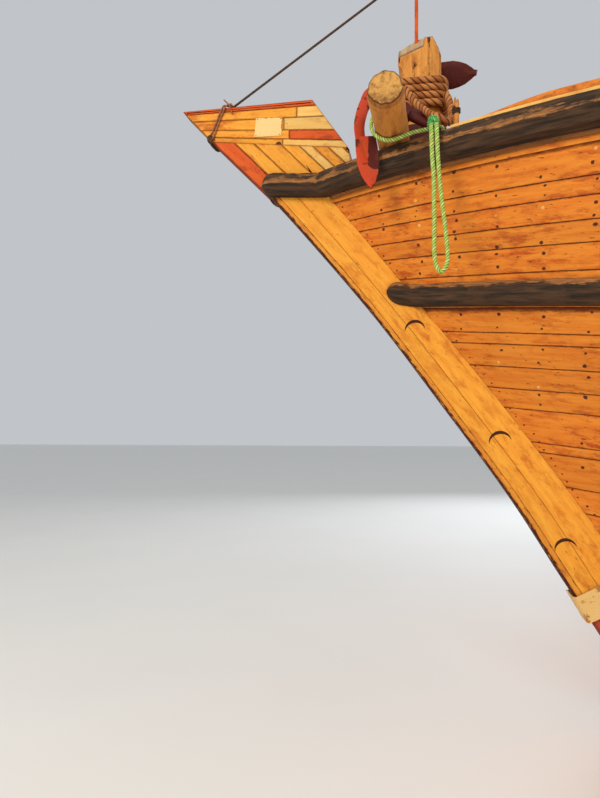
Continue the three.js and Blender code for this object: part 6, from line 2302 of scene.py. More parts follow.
@dataclass
class Rig:
    """The raked mast, the lateen yard with its parrel and furled sail, and the standing rigging."""

    mast_x: float = 1.15
    deck_z: float = 2.69
    rake: float = 0.12
    foot_z: float = 2.85
    top_z: float = 10.15
    mast_r: Pair = (0.175, 0.105)
    wedges: int = 12
    sling_z: float = 9.0
    parrel_run: float = 0.002
    yard_angle: float = 33.0
    yard_r: Pair = (0.092, 0.045)
    yard_fore: float = 4.5
    yard_aft: float = 7.6
    sail_r: float = 0.13
    sail_ends: Pair = (-7.15, 4.15)
    gasket_every: float = 0.82
    woolded: tuple[float, ...] = (-6.3, -4.1, -2.2, -1.1, 1.2, 2.4, 3.7)
    seizings: tuple[Pair, Pair] = ((8.34, 8.4), (9.78, 9.8))
    stay_z: float = 9.84
    stay_foot: Pair = (9.64, 5.30)
    hound_z: float = 8.5
    chain_x: tuple[float, ...] = (1.5, 0.6, -0.3)
    channel: float = 0.13
    wire_r: float = 0.011
    deadeyes: Pair = (0.10, 0.55)
    seed: int = 5

    def build(self) -> None:
        """Build the whole rig."""
        tilt = math.radians(self.yard_angle)
        self.yard_up = np.array([math.sin(tilt), 0.0, math.cos(tilt)])
        self.yard_way = np.array([math.cos(tilt), 0.0, -math.sin(tilt)])
        self.r_sling = self.radius(self.sling_z) + self.parrel_run
        self.yard_y = -(self.r_sling + 0.04 + self.yard_r[0] - 0.012)
        self.mast()
        self.yard()
        self.sail()
        self.stay()
        for side in Side:
            self.shrouds(side)

    def mast_at(self, z: float) -> Array:
        """Return the mast's centre at a height."""
        return np.array([self.mast_x + self.rake * (z - self.deck_z), 0.0, z])

    def radius(self, z: float) -> float:
        """Return the mast's radius at a height."""
        thick, thin = self.mast_r
        return thick + (thin - thick) * (z - self.foot_z) / (self.top_z - self.foot_z)

    def on_yard(self, s: Array, lift: Number = 0.0, y: float = 0.0) -> Array:
        """Return points beside the yard: s runs forward and down it, lift is square to it."""
        s, lift = np.broadcast_arrays(np.asarray(s, float), np.asarray(lift, float))
        cos, _, sin = self.yard_way * (1, 0, -1)
        x = self.mast_at(self.sling_z)[0] + s * cos + lift * sin
        z = self.sling_z - s * sin + lift * cos
        return np.stack([x, np.full(s.shape, self.yard_y + y), z], axis=-1)

    def collar(self, z: float, r: float, count: float, diameter: float) -> Array:
        """Return a helix of rope round the mast, from height z upwards."""
        a = np.linspace(0, 2 * np.pi * count, int(60 * count))
        axis = unit(np.array([self.rake, 0.0, 1.0]))
        side = np.array([axis[2], 0.0, -axis[0]])
        rise = a / (2 * np.pi) * diameter * 1.02
        return self.mast_at(z) + r * turning(a, side, (0.0, 1.0, 0.0)) + rise[:, None] * axis

    def mast(self) -> None:
        """Build the mast with its seizings, its head and the wedges at its foot."""
        shape = Shape("mast_pole")
        length = (self.top_z - self.foot_z) * math.hypot(1, self.rake)
        thick, thin = self.mast_r
        steps = np.linspace(0, length, 64).tolist()
        rows = [(s, thick + (thin - thick) * s / length + 0.0015 * math.sin(s * 5.1)) for s in steps]
        rows[-1:] = [(length - 0.02, thin), (length, thin - 0.02)]
        turned(shape, self.mast_at(self.foot_z - 0.01), (self.rake, 0, 1), rows, 28)
        for a in (2 * math.pi * k / self.wedges for k in range(self.wedges)):
            out = np.array([math.cos(a), math.sin(a), 0.0])
            centre = self.mast_at(self.foot_z) + (thick + 0.012) * out
            beam(shape, centre, centre + [0, 0, 0.07], 0.075, 0.022, up=out, bevel=0.003, tone=0.9)
        shape.build(SPAR, "mast", slot="spar_timber")
        d, seizings = 0.026, Rope("mast_seizings")
        for z, at in self.seizings:
            seizings.lay(self.collar(z, self.radius(at) + d * 0.5, 4.2, d), d, 10)
        seizings.build(TARRED)

    def yard(self) -> None:
        """Build the yard of two spars lashed together, with the parrel that holds it to the mast."""
        shape = Shape("yard_spars")
        thick, thin = self.yard_r
        for length, way in ((self.yard_fore, 1.0), (self.yard_aft, -1.0)):
            steps = np.linspace(0, length, 44).tolist()
            rows = [(s, thick + (thin - thick) * s / length + 0.001 * math.sin(s * 7)) for s in steps]
            rows.append((length + 0.012, thin * 0.5))
            turned(shape, self.on_yard(np.array(0.0)), way * self.yard_way, rows, 20, tone=0.4 + 0.2 * way)
        shape.build(SPAR, "yard", slot="spar_timber", body="yard")
        d, parrel = 0.038, Rope("parrel_turns")
        parrel.lay(self.collar(self.sling_z - 0.045, self.r_sling + d * 0.5, 2.4, d), d, 12)
        parrel.lay(self.woolding(0.0, 3.4, d, 0.13), d * 0.9, 12)
        parrel.build(BROWN_ROPE, body="yard")
        d, bands = 0.02, Rope("yard_wooldings")
        for s in self.woolded:
            bands.lay(self.woolding(s, 6.2, d, 0.0), d, 9)
        bands.build(LASHING, body="yard")

    def woolding(self, s: float, count: float, d: float, spread: float) -> Array:
        """Return turns of rope round the yard.

        Args:
            s: Where the turns start along it.
            count: How many turns there are.
            d: The rope's diameter.
            spread: How far the turns drift apart, in all.

        Returns:
            The rope's path.
        """
        a = np.linspace(0, 2 * np.pi * count, int(40 * count))
        place = s + a / (2 * np.pi) * d * 1.02 + spread * (a / a[-1] - 0.5)
        r = self.spar_r(s) + d * 0.52
        return self.on_yard(place) + r * turning(a, (0.0, 1.0, 0.0), self.yard_up)

    def spar_r(self, s: float) -> float:
        """Return the yard's radius at s."""
        far = self.yard_aft if s < 0 else self.yard_fore
        return self.yard_r[0] + (self.yard_r[1] - self.yard_r[0]) * min(abs(s) / far, 1)

    def sail(self) -> None:
        """Build the sail rolled along the yard, pinched by its gaskets."""
        shape = Shape("furled_sail_roll")
        s = np.linspace(*self.sail_ends, 330)
        marks_at = (-7.2, -5.2, -3.0, -1.2, -0.4, 0.4, 1.5, 3.0, 4.2)
        fat = np.interp(s, marks_at, (0.35, 0.8, 1, 1.05, 0.85, 0.8, 0.95, 0.7, 0.35))
        ties = np.arange(-6.7, 4.0, self.gasket_every)
        near = np.min(np.abs(s[:, None] - ties[None, :]), axis=1)
        pinch = 1 - 0.2 * np.exp(-((near / 0.09) ** 2))
        chance = np.random.default_rng(self.seed)
        a = angles(44)
        folds = np.zeros((len(s), len(a)))
        for lobes, twist, deep in ((3, 1.1, 0.05), (5, -1.7, 0.055), (9, 2.3, 0.035), (14, -3.1, 0.02)):
            phase = chance.uniform(0, 6.28)
            waver = 0.8 * np.sin(1.9 * s)[:, None]
            folds += deep * np.sin(lobes * a[None, :] + twist * s[:, None] + phase + waver)
        lap = 0.07 * np.exp(-(((a[None, :] - 2.2 - 0.25 * np.sin(1.3 * s)[:, None]) / 0.10) ** 2))
        radial = 0.90 + folds - np.abs(folds) * 0.25 + lap
        r = self.sail_r * fat * pinch
        spar = np.array([self.spar_r(v) for v in s])
        droop = -spar - self.sail_r * fat + 0.012
        centre = self.on_yard(s, droop, -0.03)
        reach = (r[:, None] * radial)[..., None]
        rings = centre[:, None, :] + reach * turning(a[None, :], (0.0, 1.0, 0.0), self.yard_up)
        # Higher in the hollows of the folds, where the canvas paints shade.
        edge = np.clip(0.45 - 6 * folds, 0, 1)
        shape.grid(rings, around=True, caps=True, edge=edge)
        piece = shape.build(SAILCLOTH, "furled_sail", sharp=70, slot="sail_cloth", body="yard")
        gaskets = Rope("sail_gaskets")
        turn = np.linspace(0, 2 * np.pi * 2.1, 90)
        for tie in ties:
            k = int(np.argmin(np.abs(s - tie)))
            wide, mid = r[k] + 0.012, self.on_yard(np.array(tie), droop[k] * 0.5, -0.015)
            tall = (self.sail_r * fat[k] * 2 + spar[k] * 2) / 2 + 0.006
            drift = (turn / turn[-1] - 0.5)[:, None] * 0.045 * self.yard_way
            round_sail = turning(turn, (0.0, max(wide, spar[k] + 0.02), 0.0), self.yard_up * tall)
            gaskets.lay(mid + drift + round_sail, 0.014, 8)
        gaskets.build(LASHING, body="yard")

    def head_edge(self, z: float) -> float:
        """Return how far forward the stem-head's leading edge stands at a height."""
        low, tip = StemWork().edge[0], StemWork().tip
        return low[0] + (z - low[1]) * (tip[0] - low[0]) / (tip[1] - low[1])

    def both_sides(self, half: list[Triple]) -> list[Triple]:
        """Return a route that ends amidships, carried on over the other side."""
        return [*half, *((x, -y, z) for x, y, z in half[-2::-1])]

    def stay(self) -> None:
        """Build the taut forestay, and its lashing round the stem-head."""
        start, end = self.mast_at(self.stay_z), np.array([self.stay_foot[0], 0.0, self.stay_foot[1]])
        line = np.linspace(start + unit(end - start) * self.radius(self.stay_z), end, 200)
        wire, ties, hitch = Rope("forestay_line"), Rope("stem_head_lashing"), Rope("stem_head_hitch")
        wire.lay(line, 2 * self.wire_r, 9)
        wire.build(TARRED, "forestay", slot="wire")
        half = StemWork().head_half + 0.009
        knot = end + unit(start - end) * 0.112
        for aft, lift in ((0.0, 0.004), (0.026, -0.004)):
            low = 5.055 - aft
            edge = self.head_edge(low)
            path = [(knot[0], 0.0, knot[2] + lift), (9.582 - aft, half * 0.6, 5.352),
                (9.597 - aft, half, 5.322), (9.66 - aft, half + 0.001, 5.19),
                (edge - 0.022, half, low + 0.014), (edge, half * 0.97, low - 0.004),
                (edge + 0.008, half * 0.5, low - 0.007), (edge + 0.008, 0.0, low - 0.007)]
            ties.lay(smooth_path(self.both_sides(path), 200), 0.016, 8)
        round_knot = []
        for a in np.linspace(0.0, 6 * math.pi, 60):
            fore, rise = 0.017 * math.cos(a) * 0.8, 0.017 * math.cos(a) * 0.6
            round_knot.append((knot[0] + fore, 0.017 * math.sin(a), knot[2] + rise + 0.0035 * a - 0.03))
        ends = (round_knot, [(knot[0], 0.012, knot[2]), (9.585, 0.02, 5.40), (9.615, 0.03, 5.428)],
            [(knot[0], 0.012, knot[2]), (9.545, half * 0.8, 5.352), (9.525, half + 0.002, 5.30),
            (9.505, half + 0.004, 5.245)])
        for tail, thick in zip(ends, (0.015, 0.013, 0.013)):
            ties.lay(smooth_path(tail, 90), thick, 8)
        for low in (5.024, 5.041, 5.058):
            edge = self.head_edge(low)
            path = [(edge - 0.034, half + 0.002, low + 0.016), (edge - 0.004, half + 0.001, low - 0.001),
                    (edge + 0.012, half * 0.6, low - 0.012), (edge + 0.012, 0.0, low - 0.012)]
            hitch.lay(smooth_path(self.both_sides(path), 80), 0.019, 8)
        hitch.build(TARRED)
        ties.build(LASHING)

    def shrouds(self, side: Side) -> None:
        """Build one side's three shrouds, with lanyards and deadeyes, and their channel."""
        name = side.label
        ends = [SKIN.on(x, 1.0) for x in self.chain_x]
        inner = max(p[1] for p in ends) + Fenders().rail_out + 0.0003
        r = self.radius(self.hound_z)
        wires, lashings = Rope(f"shroud_ropes_{name}"), Rope(f"shroud_lanyards_{name}")
        eyes, plank = Shape(f"deadeyes_{name}"), Shape(f"channel_{name}")
        eye = ((0, 0.045), (0.008, 0.062), (0.016, 0.056), (0.028, 0.056), (0.036, 0.062), (0.044, 0.045))
        flip = np.array([1.0, side.value, 1.0])
        for p in ends:
            top = self.mast_at(self.hound_z) + [0, r, 0]
            foot = np.array([p[0], inner + self.channel / 2, p[2] + 0.06])
            along = unit(top - foot)
            wires.lay(np.linspace(top * flip, (foot + along * 0.62) * flip, 60), 2 * self.wire_r, 8)
            for near in self.deadeyes:
                turned(eyes, (foot + along * near - [0, 0.022, 0]) * flip, (0, side.value, 0), eye, 16)
            for shift in (-0.03, 0.0, 0.03):
                ends_of = foot + along * 0.12 + [shift, 0, 0], foot + along * 0.53 + [shift * 0.8, 0, 0]
                lashings.lay(np.linspace(*ends_of, 12) * flip, 0.012, 7)
            beam(eyes, (foot + [0, 0, -0.03]) * flip, (foot + along * 0.10) * flip, 0.03, 0.012,
                up=(0, 1, 0), bevel=0.002)
        fore, aft = ends[0], ends[-1]
        y = (inner + self.channel / 2) * side.value
        beam(plank, (aft[0] - 0.25, y, aft[2] + 0.055), (fore[0] + 0.25, y, aft[2] + 0.055), self.channel,
            0.07, bevel=0.01)
        plank.build(GREYED, f"shrouds_{name}", slot="wire")
        wires.build(TARRED, slot="wire")
        lashings.build(LASHING)
        eyes.build(IRON, slot="iron")


@dataclass(frozen=True)
class Wall:
    """An upright wall's line: a point on it, the way along it and the way out."""

    foot: Array
    along: Array
    out: Array

    def post(self, shape: Shape, s: float, low: float, high: float, wide: float, thick: float,
            proud: float = 0.0, **rest: float) -> None:
        """Add an upright beam at s along the wall."""
        place = self.foot + self.along * s + self.out * proud
        beam(shape, place + UP * low, place + UP * high, wide, thick, up=self.out, **rest)

    def rail(self, shape: Shape, z: float, start: float, end: float, high: float, thick: float,
            proud: float = 0.0, **rest: float) -> None:
        """Add a level beam at height z of the wall."""
        place = self.foot + self.out * proud + UP * z
        beam(shape, place + self.along * start, place + self.along * end, high, thick, up=self.out, **rest)


@dataclass
class House:
    """The wheelhouse: boarded walls, framed windows, a planked roof, a door, and the helm inside."""

    x: Pair = (-8.10, -5.60)
    half: float = 1.25
    thick: float = 0.05
    floor: float = 3.0
    top: float = 4.95
    eave: float = 0.18
    roof: float = 0.07
    roof_boards: int = 24
    sill_wide: float = 0.08
    floor_boards: int = 18
    window_z: Pair = (3.85, 4.55)
    side_windows: tuple[float, ...] = (-7.75, -7.0, -6.25)
    side_wide: float = 0.50
    front_windows: tuple[float, ...] = (-1.08, -0.34, 0.40)
    front_wide: float = 0.68
    door_y: Pair = (-0.49, 0.19)
    door_high: float = 1.72
    stile: float = 0.095
    spokes: int = 6
    run: float = 0.006
    board: float = 0.115
    wheel_r: float = 0.40
    wheel_at: Triple = (-6.30, 0.0, 3.90)

    def build(self) -> None:
        """Build all of it."""
        aft, fore = self.x
        y = self.half - self.thick / 2
        windows = [(a, a + self.side_wide) for a in self.side_windows]
        fore_and_aft, across = np.array([1.0, 0.0, 0.0]), np.array([0.0, 1.0, 0.0])
        for side in Side:
            wall = Wall(side.value * y * across, fore_and_aft, side.value * across)
            self.boarded(f"house_side_{side.label}", wall, (aft, fore), windows)
        ends = (self.thick - self.half, self.half - self.thick)
        fronts = [(a, a + self.front_wide) for a in self.front_windows]
        front = Wall((fore - self.thick / 2) * fore_and_aft, across, fore_and_aft)
        self.boarded("house_front", front, ends, fronts)
        back = Wall((aft + self.thick / 2) * fore_and_aft, across, -fore_and_aft)
        self.boarded("house_back", back, ends, [])
        self.sill()
        self.roofing()
        self.door()
        self.wheel()
        self.pedestal()

    def boarded(self, node: str, wall: Wall, span: Pair, windows: list[Pair]) -> None:
        """Build one wall of upright boards, with its window frames and glass, or else the doorway.

        Args:
            node: The node that it replaces.
            wall: Where it stands.
            span: Where it starts and ends along its line.
            windows: Where each window starts and ends; none where it has the doorway.
        """
        boards, trim, glass = Shape(f"{node}_boards"), Shape(f"{node}_trim"), Shape(f"{node}_glass")
        holes = windows or [self.door_y]
        low, high = self.window_z if windows else (self.floor - 1.0, self.floor + self.door_high + self.run)
        cuts = sorted({*span, *(edge for hole in holes for edge in hole)})
        for a, b in zip(cuts, cuts[1:]):
            is_open = any(h[0] <= (a + b) / 2 <= h[1] for h in holes)
            spans = ((self.floor, low), (high, self.top)) if is_open else ((self.floor, self.top),)
            count = max(int(round((b - a) / self.board)), 1)
            wide = (b - a) / count
            for s in (a + (k + 0.5) * wide for k in range(count)):
                for z0, z1 in spans:
                    if z1 - z0 >= 0.02:
                        wall.post(boards, s, z0, z1, wide, self.thick, bevel=0.005, tone=(s * 3.7) % 1)
        rails = ((self.top - 0.035, 0.07),)
        for a, b in holes:
            if windows:
                self.window(trim, glass, wall, a, b)
            else:
                self.doorway(trim, wall, high)
        if windows:
            rails = ((self.floor + 0.05, 0.10), *rails, (low - 0.10, 0.045))
        for z, tall in rails:
            wall.rail(trim, z, *span, tall, 0.018, self.thick / 2 + 0.008, bevel=0.004, tone=0.4)
        for s in span:
            s += 0.045 if s < 0 and s == span[0] else -0.045
            wall.post(trim, s, self.floor, self.top, 0.09, 0.02, self.thick / 2 + 0.008, bevel=0.005,
                tone=0.5)
        boards.build(HOUSE, node, slot="house_paint")
        trim.build(TRIM, slot="trim_paint")
        if windows:
            glass.build(PANE, slot="house_paint")

    def window(self, trim: Shape, glass: Shape, wall: Wall, a: float, b: float) -> None:
        """Add one window's frame, its glazing bars and its pane."""
        low, high = self.window_z
        for s in (a, b):
            wall.post(trim, s, low, high, 0.045, self.thick + 0.024, 0.006, bevel=0.004, tone=0.6)
        for z in (low, high):
            wall.rail(trim, z, a - 0.03, b + 0.03, 0.045, self.thick + 0.03, 0.006, bevel=0.004, tone=0.5)
        wall.post(trim, (a + b) / 2, low, high, 0.026, 0.03, bevel=0.003, tone=0.6)
        wall.rail(trim, low + (high - low) * 0.62, a, b, 0.022, 0.03, bevel=0.003, tone=0.6)
        wall.post(glass, (a + b) / 2, low + 0.02, high - 0.02, b - a - 0.04, 0.006, bevel=0.001)

    def doorway(self, trim: Shape, wall: Wall, high: float) -> None:
        """Add the doorway's posts and head, clear of the door."""
        (a, b), wide = self.door_y, 0.03
        for s in (a - wide / 2, b + wide / 2):
            wall.post(trim, s, self.floor, high, wide, self.thick + 0.024, 0.006, bevel=0.004, tone=0.6)
        wall.rail(trim, high + 0.02, a - 0.03, b + 0.03, 0.045, self.thick + 0.03, 0.006, bevel=0.004,
            tone=0.5)

    def sill(self) -> None:
        """Build the raised sill and the floor's boards."""
        shape, boards = Shape("house_sill_timbers"), Shape("house_floor_boards")
        aft, fore = self.x
        low = float(SKIN.deck(fore)) - 0.03
        levels = np.linspace(low, self.floor - 0.001, 4)
        wide = self.sill_wide
        inner = self.half - wide
        for z0, z1 in zip(levels, levels[1:]):
            z, high = (z0 + z1) / 2, z1 - z0 - 0.002
            for s, x in ((1, fore - wide / 2), (-1, aft + wide / 2)):
                y = s * (self.half - wide / 2)
                beam(shape, (aft, y, z), (fore, y, z), wide, high, bevel=0.006, tone=(z * 7) % 1)
                beam(shape, (x, -inner, z), (x, inner, z), wide, high, bevel=0.006, tone=(z * 5) % 1)
        step, z = 2 * inner / self.floor_boards, self.floor - 0.015
        for k in range(self.floor_boards):
            y = -inner + (k + 0.5) * step
            start, end = (aft + wide, y, z), (fore - wide, y, z)
            beam(boards, start, end, step - 0.002, 0.028, bevel=0.002, tone=(k * 0.37) % 1)
        shape.build(TRIM, "house_sill", slot="trim_paint")
        boards.build(DECKING, slot="deck_timber")

    def roofing(self) -> None:
        """Build the roof's boards with fascias round them and battens on top."""
        boards, trim = Shape("house_roof_boards"), Shape("house_roof_fascia")
        aft, fore = self.x[0] - self.eave, self.x[1] + 1.5 * self.eave
        half = self.half + self.eave
        step, z = 2 * half / self.roof_boards, self.top + 0.036
        for k in range(self.roof_boards):
            y, thick = -half + (k + 0.5) * step, self.roof - 0.002
            beam(boards, (aft, y, z), (fore, y, z), step - 0.003, thick, bevel=0.004, tone=(k * 0.61) % 1)
        z, tall = self.top + 0.035, self.roof + 0.012
        for s, x in ((1, fore - 0.008), (-1, aft + 0.008)):
            y = s * (half - 0.008)
            beam(trim, (aft, y, z), (fore, y, z), 0.03, tall, bevel=0.005)
            beam(trim, (x, -half, z), (x, half, z), 0.03, tall, bevel=0.005)
        y, z = half - 0.03, self.top + 0.078
        for x in np.linspace(aft + 0.25, fore - 0.25, 4):
            beam(trim, (x, -y, z), (x, y, z), 0.05, 0.02, bevel=0.004, tone=0.7)
        boards.build(HOUSE, "house_roof", slot="house_paint")
        trim.build(TRIM, slot="trim_paint")

    def door(self) -> None:
        """Build the door: stiles, rails, two panels, hinges and a latch."""
        leaf, panels, iron = Shape("door_frame"), Shape("door_panels"), Shape("door_hinges")
        y0, y1 = self.door_y[0] + self.run, self.door_y[1] - self.run
        z0, z1 = self.floor + self.run, self.floor + self.door_high
        x = self.x[0] + 0.02
        back = (-1.0, 0.0, 0.0)
        wide = self.stile
        for y in (y0 + wide / 2, y1 - wide / 2):
            beam(leaf, (x, y, z0), (x, y, z1), wide, 0.04, up=back, bevel=0.004, tone=0.4)
        for z, high in ((z0 + 0.08, 0.16), (z0 + 0.86, 0.12), (z1 - 0.055, 0.11)):
            beam(leaf, (x, y0 + wide, z), (x, y1 - wide, z), high, 0.038, up=back, bevel=0.004, tone=0.6)
        for z_low, z_high in ((z0 + 0.16, z0 + 0.80), (z0 + 0.92, z1 - 0.11)):
            for k in range(4):
                step = (y1 - y0 - 2 * wide) / 4
                y = y0 + wide + (k + 0.5) * step
                beam(panels, (x, y, z_low), (x, y, z_high), step - 0.002, 0.02, up=back, bevel=0.004,
                    tone=0.2 + 0.2 * k)
        aft, hinge = self.x[0], self.door_y[0]
        for z in (z0 + 0.26, z1 - 0.32):
            turned(iron, (aft - 0.016, hinge, z), (0, 0, 1), ((0, 0.011), (0.06, 0.011)), 14)
            start, end = ((aft - 0.004, hinge + reach, z + 0.03) for reach in (0.003, 0.30))
            beam(iron, start, end, 0.05, 0.006, up=back, bevel=0.001)
            turned(iron, (aft - 0.016, hinge, z - 0.06), (0, 0, 1), ((0, 0.011), (0.0597, 0.011)), 14)
        knob = ((0, 0.012), (0.03, 0.010), (0.034, 0.024), (0.046, 0.026), (0.054, 0.016))
        turned(iron, (aft + 0.001, y1 - 0.048, z0 + 0.90), back, knob, 16)
        leaf.build(TRIM, "house_door", slot="trim_paint", body="house_door")
        panels.build(HOUSE, slot="trim_paint", body="house_door")
        iron.build(IRON, slot="iron", body="house_door")

    def wheel(self) -> None:
        """Build the helm's wheel with six turned spokes."""
        wood, brass = Shape("helm_wheel_wood"), Shape("helm_wheel_boss")
        centre = np.array(self.wheel_at)
        rim_r = self.wheel_r * 0.74
        section = np.array([(0.018, 0.024), (-0.018, 0.024), (-0.024, 0.018), (-0.024, -0.018),
                            (-0.018, -0.024), (0.018, -0.024), (0.024, -0.018), (0.024, 0.018)])
        out = turning(np.linspace(0, 2 * np.pi, 73)[:-1], (0.0, 1.0, 0.0), UP)
        rows = centre + out * rim_r
        deep = section[None, :, 1:] * np.array([1.0, 0, 0])
        ring = rows[:, None, :] + section[None, :, :1] * out[:, None, :] + deep
        wood.grid(np.concatenate([ring, ring[:1]]), around=True, tone=0.4, edge=0.3)
        profile = ((0.05, 0.018), (0.09, 0.014), (0.12, 0.019), (0.20, 0.013), (0.255, 0.016),
                   (0.30, 0.014), (0.325, 0.011), (0.345, 0.017), (0.375, 0.018), (0.398, 0.009))
        for b in angles(self.spokes):
            turned(wood, centre, (0, math.cos(b), math.sin(b)), profile, 12, tone=0.6)
        turned(wood, centre - [0.04, 0, 0], (1, 0, 0), ((0, 0.05), (0.006, 0.062), (0.074, 0.062),
            (0.08, 0.05)), 24, tone=0.3)
        turned(brass, centre - [0.047, 0, 0], (1, 0, 0), ((0, 0.014), (0.006, 0.032), (0.012, 0.034)), 20)
        wood.build(SPAR, "helm_wheel", slot="spar_timber", body="helm_wheel")
        brass.build(BRONZE, slot="bronze", body="helm_wheel")

    def pedestal(self) -> None:
        """Build the pedestal: a panelled box with a cap and the wheel's bearing."""
        shape, brass = Shape("helm_pedestal_wood"), Shape("helm_bearing")
        x0, x1 = self.wheel_at[0] + 0.05, self.wheel_at[0] + 0.33
        top = self.wheel_at[2] + 0.16
        middle = (x0 + x1) / 2
        beam(shape, (middle, 0, self.floor), (middle, 0, top - 0.03), 0.25, x1 - x0 - 0.012, up=(1, 0, 0),
            bevel=0.006, tone=0.4)
        beam(shape, (middle, 0, self.floor), (middle, 0, self.floor + 0.09), 0.26, x1 - x0, up=(1, 0, 0),
            bevel=0.012, tone=0.7)
        beam(shape, (x0, 0, top - 0.014), (x1, 0, top - 0.014), 0.26, 0.028, bevel=0.008, tone=0.7)
        for y in (-0.095, 0.095):
            beam(shape, (x0 + 0.003, y, self.floor + 0.12), (x0 + 0.003, y, top - 0.09), 0.035, 0.012,
                up=(-1, 0, 0), bevel=0.003, tone=0.9)
        turned(brass, (self.wheel_at[0] + 0.0455, 0, self.wheel_at[2]), (1, 0, 0),
            ((0, 0.038), (0.008, 0.04), (0.016, 0.036)), 20)
        shape.build(SPAR, "helm_pedestal", slot="deck_timber")
        brass.build(BRONZE, slot="bronze")


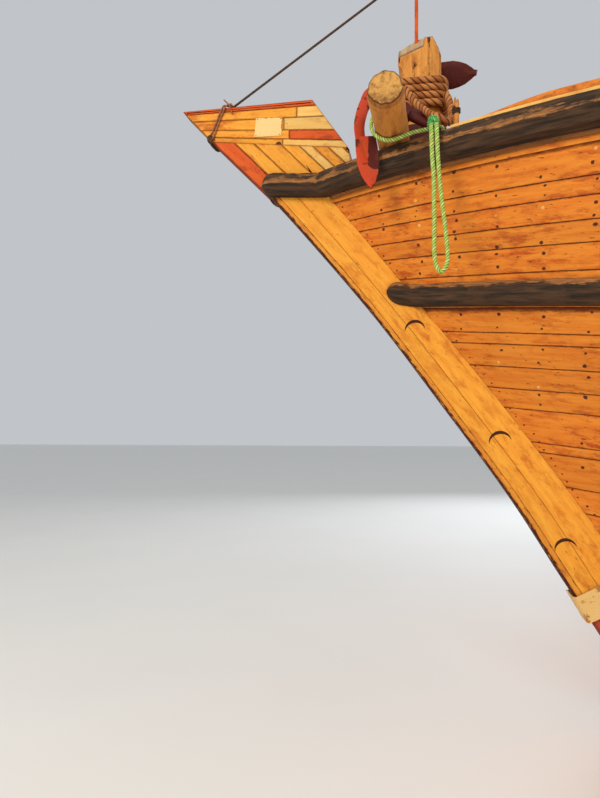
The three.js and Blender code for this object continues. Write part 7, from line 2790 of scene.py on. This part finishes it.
@dataclass
class Stern:
    """The transom's boards, the sternpost and the rudder with its straps."""

    foot: float = -8.52
    rake: float = 0.28
    thick: float = 0.06
    low: float = 0.32
    rail_up: float = 0.175
    post_long: float = 0.19
    post_top: float = 4.15
    post_low: float = -1.45
    post_paint: float = 1.1
    half: float = 0.11
    axis_aft: float = 0.255
    rudder_half: float = 0.058
    rudder_z: tuple[float, ...] = (-1.40, -0.6, 0.5, 1.2, 3.3)
    rudder_long: tuple[float, ...] = (1.22, 1.15, 0.82, 0.42, 0.33)
    rudder_seams: tuple[float, ...] = (0.0, 0.30, 0.58, 0.86, 1.14, 1.6)
    irons: tuple[float, ...] = (-0.90, 0.60, 2.30)
    iron_high: float = 0.09

    def build(self) -> None:
        """Build all of it."""
        self.transom()
        self.post()
        self.rudder()

    def edge_x(self, z: Number) -> Number:
        """Return where the hull ends at a height."""
        return self.foot - self.rake * z

    def axis_x(self, z: Number) -> Number:
        """Return where the rudder's axis stands at a height."""
        return self.edge_x(z) - self.axis_aft

    def transom(self) -> None:
        """Build the transom of level boards, with a moulding along its edge and a rail on top."""
        v = np.linspace(0, 1, 200)
        line = SKIN.at(0.0, v)
        top = line[-1, 2] + self.rail_up
        heights = np.concatenate([line[:, 2], [top]])
        halves = np.concatenate([line[:, 1], [line[-1, 1]]])
        shape, lining = Shape("transom_boards"), Shape("transom_lining")
        levels = np.linspace(self.low, top, 20)
        out = unit(np.array([-1.0, 0.0, -self.rake]))
        across = np.linspace(-1, 1, 40)
        for k, (a, b) in enumerate(zip(levels, levels[1:])):
            rows = []
            for z in (a, b):
                half = float(np.interp(z, heights, halves)) - 0.002
                x = np.full(40, self.edge_x(z) - self.thick - 0.0003)
                rows.append(np.stack([x, across * half, np.full(40, z)], axis=1))
            strip(shape, *rows, np.tile(out, (40, 1)), tone=(k * 0.37 + 0.1) % 1, depth=0.058)
        section = np.array([(0.035, 0.0), (0.028, 0.014), (-0.028, 0.014), (-0.035, 0.0), (-0.028, -0.01),
            (0.028, -0.01)])
        z = np.linspace(0.45, top - 0.02, 60)
        x, half = self.edge_x(z) - self.thick - 0.006, np.interp(z, heights, halves) - 0.045
        for side in Side:
            path = np.stack([x, side.value * half, z], axis=1)
            sweep(lining, path, section, hint=(0, 1, 0), tone=0.5,
                edge=np.array([0.8, 0.4, 0.4, 0.8, 0.5, 0.5]))
        start, end = ((self.edge_x(top) - 0.03, y, top + 0.012) for y in (-halves[-1], halves[-1]))
        beam(lining, start, end, 0.11, 0.03, bevel=0.008, tone=0.6)
        shape.build(ORANGE, "transom", slot="planking")
        lining.build(CREAM, slot="cream_paint")

    def post(self) -> None:
        """Build the sternpost, red below the boot strip and oiled above."""
        foot, top = Shape("sternpost_foot"), Shape("sternpost_top")
        rise = unit(np.array([1.0, 0, self.rake]))
        step, clear = self.low - 0.02, self.thick + 0.0006
        rows = ((foot, self.post_low, step, 0.0003), (foot, step, self.post_paint, clear),
                (top, self.post_paint, self.post_top, clear))
        for shape, low, high, fore in rows:
            a, b = (np.array([self.edge_x(z) - (fore + self.post_long) / 2, 0, z]) for z in (low, high))
            beam(shape, a, b, 2 * self.half, self.post_long - fore, up=rise, bevel=0.008, tone=0.5)
        foot.build(BOTTOM, "sternpost", slot="red_paint")
        top.build(SPAR, slot="planking")

    def rudder(self) -> None:
        """Build the rudder of upright planks with iron straps."""
        planks, iron = Shape("rudder_planks"), Shape("rudder_straps")
        z = np.linspace(self.rudder_z[0], self.rudder_z[-1], 60)
        span = np.interp(z, self.rudder_z, self.rudder_long)
        for side in Side:
            for k, (a, b) in enumerate(zip(self.rudder_seams, self.rudder_seams[1:])):
                keep = np.flatnonzero(span > a + 0.04)
                if len(keep) < 3:
                    continue
                heights, far = z[keep], np.minimum(span[keep], b)
                axis, y = self.axis_x(heights), np.full(len(keep), self.rudder_half)
                back, fore = (np.stack([axis - reach, y, heights], axis=1) for reach in (far, a))
                out = np.tile([0.0, 1.0, 0.0], (len(keep), 1))
                for part in self.between_irons(heights, k == 0):
                    rows = (back[part], fore[part], out[part])
                    side_strip(planks, side, *rows, tone=0.15 + 0.2 * k, depth=self.rudder_half, bevel=0.006)
        for level in self.irons:
            for side in Side:
                y = side.value * (self.rudder_half + 0.003)
                far = float(np.interp(level, self.rudder_z, self.rudder_long)) * 0.72
                start = np.array([self.axis_x(level) - 0.10, y, level - 0.028])
                end = start + np.array([0.1 - far, 0, 0])
                beam(iron, start, end, 0.075, 0.008, up=(0, side.value, 0), bevel=0.002)
                for share in (0.12, 0.4, 0.7, 0.92):
                    turned(iron, start + (end - start) * share, (0, side.value, 0),
                        ((0, 0.012), (0.009, 0.010), (0.011, 0.004)), 8)
            for a, b in ((-0.13, -0.052), (0.05, 0.13), (-0.052, 0.05)):
                low, high = level + a, level + b
                along = (self.axis_x(high) - self.axis_x(low), 0, high - low)
                profile = ((0, 0.021), (float(math.hypot(along[0], along[2])), 0.021))
                turned(iron, (self.axis_x(low) - 0.004, 0, low), along, profile, 14)
        planks.build(BOTTOM, "rudder", slot="red_paint", body="rudder")
        iron.build(IRON, slot="iron", body="rudder")

    def between_irons(self, z: Array, notched: bool) -> list[slice]:
        """Return the stretches of a plank that miss the notches at the irons."""
        if not notched:
            return [slice(0, len(z))]
        inside = np.zeros(len(z), bool)
        for level in self.irons:
            inside |= (z > level - self.iron_high / 2 - 0.10) & (z < level + self.iron_high / 2 + 0.06)
        return stretches(inside)


def dress_plain_nodes() -> None:
    """Give every node that still shows as packed a finish of its own."""
    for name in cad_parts:
        node = bpy.data.objects.get(name)
        if node is None or node.hide_render:
            continue
        kind = name.rstrip("_0123456789")
        finish = {"propeller": BRONZE, "rudder_iron": IRON, "shaft_boss": IRON}.get(kind, LOOSE)
        node.data.materials.clear()
        node.data.materials.append(Palette.of(finish))
        LOG.info("dressed %s in %s", name, finish.name)


def main() -> None:
    """Build the boat's looks in order."""
    logging.basicConfig(level=logging.INFO, format="%(name)s %(message)s")
    bpy.context.scene.view_settings.view_transform = "Standard"
    studio = Studio()
    studio.camera()
    GreenLine().build()
    for part in (Planking(), StemWork(), Fenders(), BowGear(), Anchors(), DeckWork(), Rig(), House(),
            Stern()):
        LOG.info("building %s", type(part).__name__)
        part.build()
    dress_plain_nodes()
    studio.floor()
    studio.lights()


if __name__ == "__main__":
    main()
